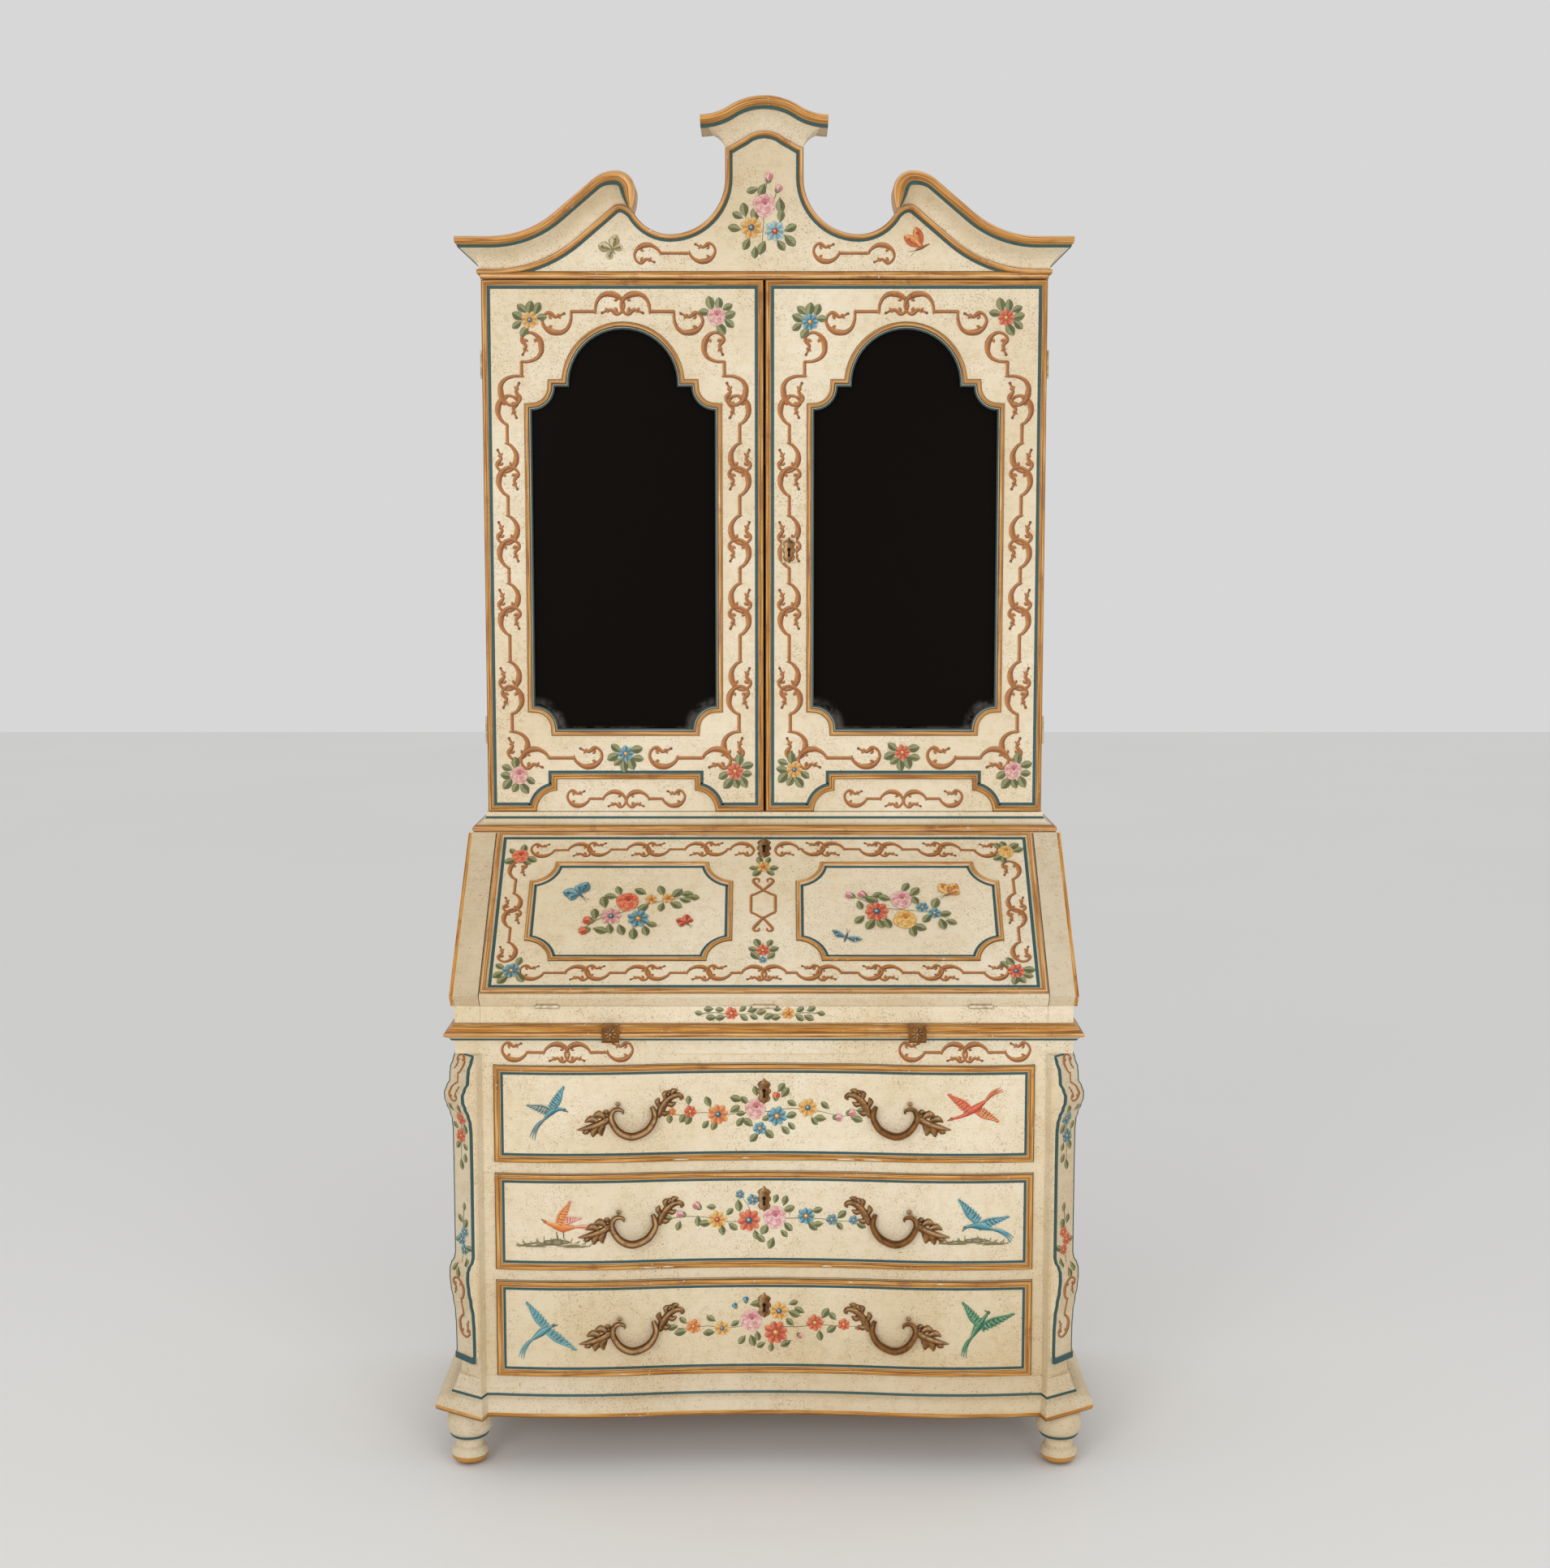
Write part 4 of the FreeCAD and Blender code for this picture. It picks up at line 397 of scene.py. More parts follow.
def bare_wood(name, along):
    """Oiled softwood of the inside and the back; its grain runs across (0), front to back (1) or up (2)."""
    made = Finish(name)

    def grain(over, lengthwise):
        return made.place(tuple(lengthwise if axis == along else over for axis in range(3)))

    ring = made.noise(grain(26, 1.3), 1.9, 7.0, 0.66)
    fibre = made.noise(grain(420, 8), 1.0, 3.0, 0.6)
    knot = made.noise(grain(3, 1.4), 1.7, 2.0, 0.5)
    wood = made.mix(ring.band(0.36, 0.66), rgb(132, 92, 56)[:3] + (1,), rgb(178, 134, 86)[:3] + (1,))
    grained = made.mix(fibre.band(0.44, 0.70) * 0.5, wood, (0.48, 0.36, 0.24, 1), "MULTIPLY")
    aged = made.mix(knot.band(0.50, 0.75) * 0.45, grained, (0.55, 0.42, 0.30, 1), "MULTIPLY")
    height = made.bump(fibre * 0.7 + ring * 0.3, 0.3, 0.0008)
    return made.finish(Base_Color=aged, Roughness=0.70 - ring * 0.16, Normal=height)


def pale_floor(name):
    made = Finish(name)
    drift = made.noise(made.place(), 0.6, 2.0, 0.5)
    shade = made.mix(drift, (0.86, 0.86, 0.85, 1), (0.90, 0.90, 0.89, 1))
    return made.finish(Base_Color=shade, Roughness=0.85)


FINISH_MAKERS = {
    "painted_ornament": aged_paint,
    "cream_paint": lambda name: aged_paint(name, tones()["cream"]),
    "dusty_paint": lambda name: aged_paint(name, tones()["dusty"]),
    "gilding": lambda name: aged_paint(name, tones()["gold"]),
    "chased_brass": cast_brass,
    "brass": lambda name: cast_brass(name, brass_tones()[1]),
    "worn_steel": lambda name: cast_brass(name, rgb(206, 190, 160, 1.0)),
    "mirror": old_mirror,
    "level_wood": lambda name: bare_wood(name, 0),
    "deep_wood": lambda name: bare_wood(name, 1),
    "bare_wood": lambda name: bare_wood(name, 2),
}


def look(finish):
    """A finish of the object, made the first time that it is asked for."""
    name = "secretary_" + finish
    return bpy.data.materials.get(name) or FINISH_MAKERS[finish](name)


# Lines and faces to work on

def ray(angle, length=1.0):
    """A step in a direction given in degrees."""
    return Vector((math.cos(math.radians(angle)), math.sin(math.radians(angle)))) * length


def outline(corners, closed=True, turn=7.5, reach=None):
    """Points along straight and round sides; a corner's third value bends the side after it, left if over 0.
    An arc has a point for each turn in degrees, and a straight side for each reach if one is given.
    """
    points = []
    for start, end in zip(corners, corners[1:] + corners[:1] if closed else corners[1:]):
        a = Vector(start[:2])
        b = Vector(end[:2])
        points.append(a)
        if len(start) > 2:
            chord = b - a
            radius = abs(start[2])
            rise = math.sqrt(max(radius * radius - chord.length_squared / 4, 0))
            side = 1 if start[2] > 0 else -1
            centre = (a + b) / 2 + Vector((-chord.y, chord.x)).normalized() * rise * side
            sweep = 2 * math.asin(min(chord.length / 2 / radius, 1)) * side
            steps = max(int(math.degrees(abs(sweep)) / turn), 2)
            arm = a - centre
            for k in range(1, steps):
                angle = sweep * k / steps
                cos, sin = math.cos(angle), math.sin(angle)
                points.append(centre + Vector((arm.x * cos - arm.y * sin, arm.x * sin + arm.y * cos)))
        elif reach:
            steps = max(int((b - a).length / reach), 1)
            points += [a.lerp(b, k / steps) for k in range(1, steps)]
    if not closed:
        points.append(Vector(corners[-1][:2]))
    return points


def sideways(path, closed):
    """The direction to the left of a path at each of its points, lengthened at its corners."""
    result = []
    for i in range(len(path)):
        sides = []
        for a, b in ((i - 1, i), (i, i + 1)):
            if closed or (a >= 0 and b < len(path)):
                step = path[b % len(path)] - path[a]
                sides.append(Vector((-step.y, step.x)).normalized())
        total = sum(sides, Vector((0, 0)))
        scale = 1 + sides[0].dot(sides[-1]) if len(sides) == 2 else 1
        result.append(total / max(scale, 0.25))
    return result


def smooth_line(points, steps):
    """A rounded line through points, with a few places in each stretch."""
    points = [Vector(p) for p in points]
    line = []
    for i in range(len(points) - 1):
        p0 = points[max(i - 1, 0)]
        p1, p2 = points[i], points[i + 1]
        p3 = points[min(i + 2, len(points) - 1)]
        for k in range(steps):
            t = k / steps
            line.append(0.5 * (
                2 * p1 + (p2 - p0) * t + (2 * p0 - 5 * p1 + 4 * p2 - p3) * t * t
                + (3 * p1 - p0 - 3 * p2 + p3) * t * t * t
            ))
    line.append(points[-1])
    return line


def at_share(values, share):
    """The value at a share of the way along a few values."""
    share *= len(values) - 1
    k = min(int(share), len(values) - 2)
    return values[k] + (values[k + 1] - values[k]) * (share - k)


def mirrored(half):
    """An outline that goes on from its end at the middle to the other side."""
    return half + [Vector((-p.x, p.y)) for p in half[-2::-1]]


# The front in plan: a round hollow in the middle and a swell on each side of it.
HOLLOW_HALF, HOLLOW_RADIUS, HOLLOW_DEPTH = 200.0, 1910.0, 10.5
SWELL_MIDDLE, SWELL_HALF, SWELL_RADIUS = 321.5, 121.5, 1160.3


def swell(x):
    """How far the serpentine front stands back from the frieze plane; under 0 it stands before it."""
    x = abs(x)
    if x < HOLLOW_HALF:
        return math.sqrt(HOLLOW_RADIUS ** 2 - x * x) - (HOLLOW_RADIUS - HOLLOW_DEPTH)
    rim = math.sqrt(SWELL_RADIUS ** 2 - SWELL_HALF ** 2)
    return rim - math.sqrt(max(SWELL_RADIUS ** 2 - (x - SWELL_MIDDLE) ** 2, 0))


def upright(y):
    """A flat face that looks forward, at a depth."""
    return lambda u, v, height: (u, y - height, v)


def drawer_face(u, v, height):
    """The serpentine face of a drawer."""
    return (u, FRONT - 3 + swell(u) - height, v)


def fall_face(u, v, height):
    """The sloping face of the fall; v runs up the slope from the hinge."""
    out = FALL_THICKNESS + height
    y = FRONT - 0.5 + v * math.cos(SLOPE) - out * math.sin(SLOPE)
    return (u, y, FALL_FOOT + v * math.sin(SLOPE) + out * math.cos(SLOPE))


# A pilaster strip: its thickness at each height, and where it stands on its canted post.
STRIP_MIDDLE = 487.5
CANT = math.sqrt(0.5)
STRIP = [
    (701, 1.5), (690, 6), (676, 12), (664, 13.5), (655, 14), (646, 20.5), (636, 25), (626, 24.5),
    (614, 20), (601, 14), (588, 10), (570, 8.4), (500, 8), (420, 8), (362, 8), (354, 10), (346, 16.5),
    (338, 19.5), (325, 20), (305, 18), (285, 14), (262, 10), (235, 8.4), (204, 8), (181, 8),
]


def eased(share):
    """A share from 0 to 1 that starts and ends gently."""
    share = min(max(share, 0), 1)
    return share * share * (3 - 2 * share)


def strip_depth(z):
    """Thickness of a pilaster strip at a height."""
    for (z1, d1), (z2, d2) in zip(STRIP, STRIP[1:]):
        if z >= z2:
            return d1 + (d2 - d1) * eased((z1 - z) / (z1 - z2))
    return STRIP[-1][1]


def strip_face(side):
    """The canted face of a pilaster strip; u runs across it to the right as seen from the front."""
    def place(u, v, height):
        depth = (strip_depth(v) + height) * CANT
        along = u * CANT
        return (STRIP_MIDDLE * side + along + depth * side, FRONT - 0.5 + along * side - depth, v)
    return place


FORWARD = Vector((0, -1, 0))


def away_from_middle(place):
    """Outwards from the middle of the case."""
    return Vector((place.x, place.y - 0.02, 0))


# Meshes

WELD = 1e-6
SHARP = 0.7


class Maker:
    """A mesh in the making, whose vertices carry their own colour."""

    def __init__(self):
        self.bm = bmesh.new()
        self.tint = self.bm.verts.layers.float_color.new("tint")
        self.run = self.bm.loops.layers.uv.new("run")
        self.sheets = 0

    def orient(self, verts, facing):
        """Turns the faces of some vertices round where they look the wrong way."""
        faces = list({face for vert in verts for face in vert.link_faces})
        total = 0.0
        for face in faces:
            face.normal_update()
            out = facing(face.calc_center_median()) if callable(facing) else facing
            total += face.normal.dot(out) * face.calc_area()
        if total < 0:
            bmesh.ops.reverse_faces(self.bm, faces=faces)

    def sheet(self, rows, colours, facing, closed=False, caps=(), ends=()):
        """A grid drawn through rows of places, with a colour for each column or for every place."""
        along = len(rows) - 1
        across = len(rows[0]) - 1
        made = bmesh.ops.create_grid(self.bm, x_segments=across, y_segments=along, size=1)["verts"]
        table = {}
        for vert in made:
            i = round((vert.co.y + 1) / 2 * along)
            j = round((vert.co.x + 1) / 2 * across)
            table[i, j] = vert
        for (i, j), vert in table.items():
            vert.co = Vector(rows[i][j]) * MM
            vert[self.tint] = colours[i][j] if isinstance(colours[0], list) else colours[j]
        self.orient(made, facing)
        down, over = [0.0], [0.0]
        for i in range(along):
            down.append(down[-1] + (table[i + 1, across // 2].co - table[i, across // 2].co).length)
        for j in range(across):
            over.append(over[-1] + (table[along // 2, j + 1].co - table[along // 2, j].co).length)
        self.sheets += 1
        shift = self.sheets * 0.37 % 5
        for (i, j), vert in table.items():
            spot = (down[i], over[j]) if down[-1] >= over[-1] else (over[j], down[i])
            for loop in vert.link_loops:
                loop[self.run].uv = (spot[0] + shift, spot[1] + shift)
        for row in caps:
            row %= along + 1
            self.close([table[row, j] for j in range(across + 1)], table[row - 1 if row else 1, 0])
        for column in ends:
            column %= across + 1
            self.close([table[i, column] for i in range(along + 1)], table[0, column - 1 if column else 1])
        if closed:
            ends = [vert for (i, j), vert in table.items() if i in (0, along)]
            bmesh.ops.remove_doubles(self.bm, verts=ends, dist=WELD)

    def close(self, ring, inner):
        """Closes an end of a sheet with a face that looks away from the place next to it."""
        face = self.bm.faces.new(ring)
        face.normal_update()
        if face.normal.dot(ring[0].co - inner.co) < 0:
            face.normal_flip()

    def moulding(self, path, profile, surface, facing, closed=True):
        """A moulding along a path on a surface, drawn as (inset, height, colour) across it."""
        rows = []
        for place, side in zip(path, sideways(path, closed)):
            row = []
            for inset, height, colour in profile:
                spot = place + side * inset
                row.append(surface(spot.x, spot.y, height))
            rows.append(row)
        if closed:
            rows.append(rows[0])
        self.sheet(rows, tints(profile), facing, closed)

    def tube(self, points, radii, colour, steps=5, sides=10):
        """A round bar of changing thickness through points."""
        line = smooth_line(points, steps)
        rows = []
        across = Vector((0, 0, 1))
        for i, place in enumerate(line):
            ahead = (line[min(i + 1, len(line) - 1)] - line[max(i - 1, 0)]).normalized()
            across = (across - ahead * across.dot(ahead)).normalized()
            other = ahead.cross(across)
            radius = at_share(radii, i / (len(line) - 1))
            row = []
            for s in range(sides + 1):
                angle = 2 * math.pi * s / sides
                row.append(place + (across * math.cos(angle) + other * math.sin(angle)) * radius)
            rows.append(row)
        before = set(self.bm.verts)
        self.sheet(rows, colour if isinstance(colour, list) else [colour] * (sides + 1), FORWARD)
        made = [vert for vert in self.bm.verts if vert not in before]
        bmesh.ops.remove_doubles(self.bm, verts=made, dist=WELD)
        made = [vert for vert in self.bm.verts if vert not in before]
        faces = list({face for vert in made for face in vert.link_faces})
        bmesh.ops.recalc_face_normals(self.bm, faces=faces)

    def piece(self, name, body, slot, *nodes):
        """Makes the mesh an object that rides on a body and stands for CAD nodes, in its slot's finish."""
        for face in self.bm.faces:
            face.smooth = True
        for edge in self.bm.edges:
            if len(edge.link_faces) == 2:
                edge.smooth = edge.calc_face_angle(0) < SHARP
        mesh = bpy.data.meshes.new(name)
        self.bm.to_mesh(mesh)
        self.bm.free()
        mesh.materials.append(look("chased_brass" if slot == "brass" else "painted_ornament"))
        made = bpy.data.objects.new(name, mesh)
        bpy.context.scene.collection.objects.link(made)
        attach(made, body)
        if nodes:
            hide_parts(*nodes)
        return made


# Painted ornament

# Where the painted light comes from, and the lanes across a stroke, a petal and a hair line.
LIGHT = Vector((-0.6, 0.8))
LANES = (-1.0, -0.7, -0.2, 0.35, 0.72, 1.0)
PETAL_LANES = (-1.0, -0.78, -0.12, 0.12, 0.78, 1.0)
RIDGE = (-1.0, 0.0, 1.0)
HAIR = (-1.0, 1.0)

# How wide a petal and a pointed leaf are along their length.
PETAL = ((0.08, 0.16), (0.3, 0.6), (0.55, 0.95), (0.78, 1.0), (0.92, 0.72), (1.0, 0.22))
BLADE = (
    (0, 0.06), (0.10, 0.22), (0.24, 0.62), (0.44, 0.94), (0.62, 1.0), (0.80, 0.78), (0.93, 0.42),
    (1.0, 0.06),
)
SPOT_RINGS = (0.02, 0.55, 0.85, 1.0)
SPOT_SIDES = 12

# A scroll of the strapwork, its leaves and its end ball: how far out, how far ahead and half the width
HOOK = (
    (-1.5, -0.5, 1.9), (5.3, 3.2, 2.3), (11.1, 10.5, 2.8), (14.8, 19, 3.6), (15.3, 26.4, 4.3),
    (14.2, 34.8, 4.5), (11.1, 42.2, 3.7), (6.3, 48, 2.8), (0, 51.7, 2.4), (-5.3, 52.4, 2.2),
    (-11.1, 50.6, 2.1), (-15.8, 46.4, 2.1), (-18.1, 41.7, 2.5), (-17.4, 36.9, 2.9), (-13.7, 32.7, 2.8),
    (-11.1, 28, 2.5), (-12.1, 23.7, 2.0), (-16.5, 22.7, 1.0),
)
HOOK_LEAVES = (
    ((14, 37, 3.4), (8.5, 39.2, 2.9), (5, 37.6, 2.2), (4.6, 34.0, 0.9)),
    ((-16.5, 36.5, 2.8), (-12, 38.4, 2.6), (-9, 37.4, 2.0), (-8.2, 34.8, 0.8)),
    ((-12.4, 26, 2.2), (-12.8, 20.5, 2.0), (-14.6, 16.5, 1.6), (-16.4, 13.5, 1.2)),
    ((-12.4, 22, 1.8), (-9.6, 20.5, 1.5), (-8.0, 17.5, 0.5)),
)
HOOK_BALL = (-16.4, 12.2, 2.5)

# How a scroll that swings out eases into place
EASING = ((0, 0), (0.45, 0.15), (0.85, 0.20), (1, 0.10), (1, 0))

SCROLL_DARK = rgb(88, 46, 20)
SCROLL_LIGHT = rgb(206, 148, 84)
STEM = (rgb(70, 80, 52), rgb(112, 120, 76), rgb(148, 152, 104))
LEAF = (rgb(62, 66, 38), rgb(114, 121, 75), rgb(162, 166, 118))
RED = (rgb(146, 40, 26), rgb(222, 84, 52), rgb(244, 152, 112))
PINK = (rgb(172, 78, 96), rgb(220, 146, 152), rgb(245, 212, 202))
BLUE = (rgb(22, 66, 92), rgb(58, 130, 158), rgb(148, 196, 206))
YELLOW = (rgb(170, 98, 32), rgb(226, 164, 70), rgb(248, 214, 138))
ORANGE = (rgb(168, 72, 30), rgb(226, 124, 58), rgb(246, 182, 114))
TEAL = (rgb(20, 66, 84), rgb(54, 128, 146), rgb(136, 190, 194))
OLIVE = (rgb(84, 76, 44), rgb(196, 180, 126), rgb(222, 210, 164))
GREEN = (rgb(20, 66, 48), rgb(56, 126, 94), rgb(132, 182, 142))
GREY = (rgb(92, 92, 82), rgb(146, 146, 128), rgb(200, 198, 176))
DARK = rgb(52, 44, 44)
CHIP = rgb(236, 224, 202)


def shaded(tone, lit):
    """The colour across a rounded stroke, from its dark edge (-1) over its lit side to its outline (1)."""
    dark, middle, light = tone
    stops = (
        (-1.0, dark), (-0.66, mixed(dark, middle, 0.45)), (-0.1, middle), (0.42, light), (0.78, middle),
        (1.0, dark),
    )
    for (a, low), (b, high) in zip(stops, stops[1:]):
        if lit <= b:
            return mixed(low, high, min(max((lit - a) / (b - a), 0), 1))
    return dark


class Brush:
    """Paints thin shapes, each a little above the last, on one face of the object."""

    def __init__(self, maker, surface, facing=FORWARD):
        self.maker = maker
        self.surface = surface
        self.facing = facing
        self.lift = bpy.context.scene.secretary_sizes.paint_height / MM

    def patch(self, rows, colours, relief=None):
        """A grid of flat places (u, v) on the face; relief lifts each of them."""
        laid = []
        for i, row in enumerate(rows):
            heights = [self.lift + rise for rise in relief[i]] if relief else [self.lift] * len(row)
            laid.append([self.surface(p[0], p[1], height) for p, height in zip(row, heights)])
        self.maker.sheet(laid, colours, self.facing)
        self.lift += 0.003

    def stroke(self, points, widths, tone, steps=3, dome=0.0, lanes=LANES):
        """A brush stroke through points with its half widths; a dome makes it stand up as cast relief."""
        line = smooth_line(points, steps)
        rows, colours, relief = [], [], []
        for i, place in enumerate(line):
            ahead = line[min(i + 1, len(line) - 1)] - line[max(i - 1, 0)]
            side = Vector((-ahead.y, ahead.x)).normalized()
            half = at_share(widths, i / (len(line) - 1))
            # Each lane takes its tone from how it faces the painted light: on cast brass relief that is
            # painted shade and highlight, on painted ornament the painter's own shading.
            lit = side.dot(LIGHT)
            rows.append([place + side * (half * lane) for lane in lanes])
            colours.append([shaded(tone, lane * lit) for lane in lanes])
            relief.append([dome * math.sqrt(max(1 - lane * lane, 0)) * min(half / 3, 1.6) for lane in lanes])
        self.patch(rows, colours, relief if dome else None)

    def petal(self, x, z, angle, length, width, tone, point=False):
        """A rounded petal, or a pointed leaf, from its root outwards."""
        along = ray(angle)
        side = Vector((-along.y, along.x))
        dark, middle, light = tone
        lit = side.dot(LIGHT)
        rows, colours = [], []
        for share, wide in BLADE if point else PETAL:
            row, tint = [], []
            for lane in PETAL_LANES:
                row.append(Vector((x, z)) + along * (length * share) + side * (width * wide * lane))
                if point:
                    base = mixed(middle, light, 0.7) if lane * lit > 0 else mixed(dark, middle, 0.7)
                elif lane * lit > -0.2:
                    base = mixed(mixed(dark, middle, 0.55), light, share)
                else:
                    base = mixed(dark, middle, 0.5 + 0.5 * share)
                rim = abs(lane) == 1.0 or share == 1.0
                vein = abs(lane) == 0.12 and lane * lit <= 0 and share < 0.8
                tint.append(mixed(dark, base, 0.15 if rim else 0.45 if vein else 1.0))
            rows.append(row)
            colours.append(tint)
        self.patch(rows, colours)

    def spot(self, x, z, radius, inner, outer=None, squash=1.0, dome=0.0):
        """A round dab of paint, or a round boss."""
        rows, colours, relief = [], [], []
        for ring in SPOT_RINGS:
            steps = [ray(360 * s / SPOT_SIDES, radius * ring) for s in range(SPOT_SIDES + 1)]
            rows.append([(x + step.x, z + step.y * squash) for step in steps])
            colours.append([mixed(inner, outer or inner, ring)] * len(steps))
            relief.append([dome * math.sqrt(max(1 - ring * ring, 0))] * len(steps))
        self.patch(rows, colours, relief if dome else None)

    def leaf(self, x, z, angle, length, width, tone=LEAF):
        """A pointed leaf."""
        self.petal(x, z, angle, length, width, tone, True)

    def blossom(self, x, z, size, tone, heart, petals=6, turn=0.0):
        """An open flower."""
        for k in range(petals):
            length = size * (1.0 if k % 2 else 0.93)
            self.petal(x, z, turn + 360 * k / petals, length, 2.1 * size / petals, tone)
        self.spot(x, z, size * 0.27, heart[1], heart[0])
        self.spot(x - size * 0.05, z + size * 0.06, size * 0.13, heart[2])
        for k in range(6):
            step = ray(turn + 60 * k, size * 0.3)
            self.spot(x + step.x, z + step.y, size * 0.05, tone[0])

    def rose(self, x, z, size, tone, turn=0.0):
        """A full rose: two rings of petals, a dark heart towards the light and broad petals before it."""
        dark, middle, light = tone
        edge = mixed(dark, middle, 0.35)
        outer = (edge, mixed(middle, light, 0.45), light)
        inner = (edge, middle, mixed(middle, light, 0.7))
        broad = (edge, mixed(middle, light, 0.35), light)
        for k in range(7):
            self.petal(x, z, turn + 360 * k / 7, size * (1.0 if k % 2 else 0.93), size * 0.50, outer)
        for k in range(6):
            self.petal(x, z, turn + 25 + 60 * k, size * 0.76, size * 0.42, inner)
        x, z = x + size * 0.08, z + size * 0.20
        self.spot(x, z, size * 0.40, mixed(dark, middle, 0.3), middle)
        for angle in (222, 318, 270):
            self.petal(x, z - size * 0.02, angle, size * 0.84, size * 0.42, broad)
        for k, (reach, start, sweep) in enumerate(((0.36, 10, 170), (0.28, 190, 190), (0.20, 40, 210))):
            points = [Vector((x, z)) + ray(start + sweep * s / 4, size * reach) for s in range(5)]
            fold = (middle, light, light) if k % 2 else (dark, mixed(dark, middle, 0.5), middle)
            self.stroke(points, (0.02 * size, 0.08 * size, 0.02 * size), fold, 2)
        self.spot(x, z, size * 0.13, dark, mixed(dark, middle, 0.3))

    def bud(self, x, z, angle, size, tone):
        """A closed flower in its green cup."""
        for spread in (-24, 24, 0):
            self.petal(x, z, angle + spread * 0.7, size, size * 0.30, tone, True)
        cup = Vector((x, z)) - ray(angle, size * 0.15)
        for spread in (-30, 30):
            self.leaf(cup.x, cup.y, angle + spread, size * 0.62, size * 0.14)

    def leaves(self, places, hearts, length):
        """Leaves about given places, each growing away from the nearest flower."""
        sunlit = (LEAF[0], mixed(LEAF[1], rgb(150, 150, 96), 0.45), LEAF[2])
        for k, (x, z) in enumerate(places):
            hx, hz = min(hearts, key=lambda h: (h[0] - x) ** 2 + (h[1] - z) ** 2)
            angle = math.degrees(math.atan2(z - hz, x - hx)) + (14 if k % 2 else -12)
            size = length * (0.9 + 0.25 * ((k * 7) % 5) / 4)
            root = Vector((x, z)) - ray(angle, size * 0.5)
            self.leaf(root.x, root.y, angle, size, size * 0.30, LEAF if k % 3 else sunlit)

    def stem(self, points, width=0.7):
        """A thin stalk."""
        self.stroke(points, (width, width * 0.8, width * 0.6), STEM, 4, lanes=RIDGE)

    def hook(self, start, run, side, scale, shift, tone):
        """A scroll that leaves a strap, bulges to one side, turns over and runs back in a leafy tail."""
        across = Vector((-run.y, run.x)) * side

        def scroll(points, eases=False):
            line, widths = [], []
            for k, (out, ahead, half) in enumerate(points):
                pull, drop = EASING[min(k, len(EASING) - 1)] if eases else (1.0, 0.0)
                place = start + across * (out * scale + shift * pull)
                line.append(place + run * (ahead * 0.925 * scale - shift * drop))
                widths.append(half * scale * 1.16)
            return line, widths

        for leaf in HOOK_LEAVES:
            self.stroke(*scroll(leaf), tone)
        self.stroke(*scroll(HOOK, True), tone)
        ball = scroll([HOOK_BALL])[0][0]
        self.spot(ball.x, ball.y, HOOK_BALL[2] * scale, tone[1], tone[0])

    def strap(self, start, end, first, last, scale=1.0):
        """A painted strap with a scroll at each end: the side it bulges to and how far it swings out."""
        scale *= bpy.context.scene.secretary_sizes.scroll_scale
        start, end = Vector(start), Vector(end)
        run = (end - start).normalized()
        across = Vector((-run.y, run.x)) * scale
        tone = scroll_tones()
        self.hook(end, run, last[0], scale, last[1], tone)
        self.hook(start, -run, -first[0], scale, first[1], tone)
        self.stroke([start, start.lerp(end, 0.5), end], (3.0 * scale, 2.8 * scale, 3.0 * scale), tone, 2)
        for place, lean in ((start, -first[0]), (end, last[0])):
            line = [place + across * (1.5 * lean), place, place - across * (4.6 * lean)]
            self.stroke(line, (1.6 * scale, 1.8 * scale, 0.9 * scale), tone, 2)

    def link(self, start, end, sides, scale=1.0):
        """One strap of a chain between two places."""
        start, end = Vector(start), Vector(end)
        inside = (end - start).normalized() * (44.5 * scale)
        self.strap(start + inside, end - inside, (sides[0], 0), (sides[1], 0), scale)

    def butterfly(self, x, z, size, wings, heading, tone, broad=0.36):
        """A butterfly with its wings at given angles, the long ones first."""
        place = Vector((x, z))
        for k, angle in enumerate(wings):
            long = size * (1.0 if k < 2 else 0.72)
            self.petal(x, z, angle, long, long * broad, tone, k < 2)
            for lean in (-12, 0, 12):
                vein = [place + ray(angle + lean * share, long * share) for share in (0.2, 0.55, 0.88)]
                self.stroke(vein, (0.2, 0.36, 0.15), (tone[0],) * 3, 2, lanes=HAIR)
            mark = place + ray(angle, long * 0.7)
            self.spot(mark.x, mark.y, long * 0.07, tone[0])
        ahead = ray(heading, size)
        head = place + ahead * 0.3
        shades = (DARK, mixed(DARK, tone[1], 0.3), tone[1])
        self.stroke([place - ahead * 0.4, place, head], (0.02 * size, 0.075 * size, 0.05 * size), shades, 3)
        for lean in (22, -14):
            feeler = [head, head + ray(heading + lean, size * 0.4)]
            self.stroke(feeler, (0.35, 0.3), (DARK,) * 3, 2, lanes=HAIR)

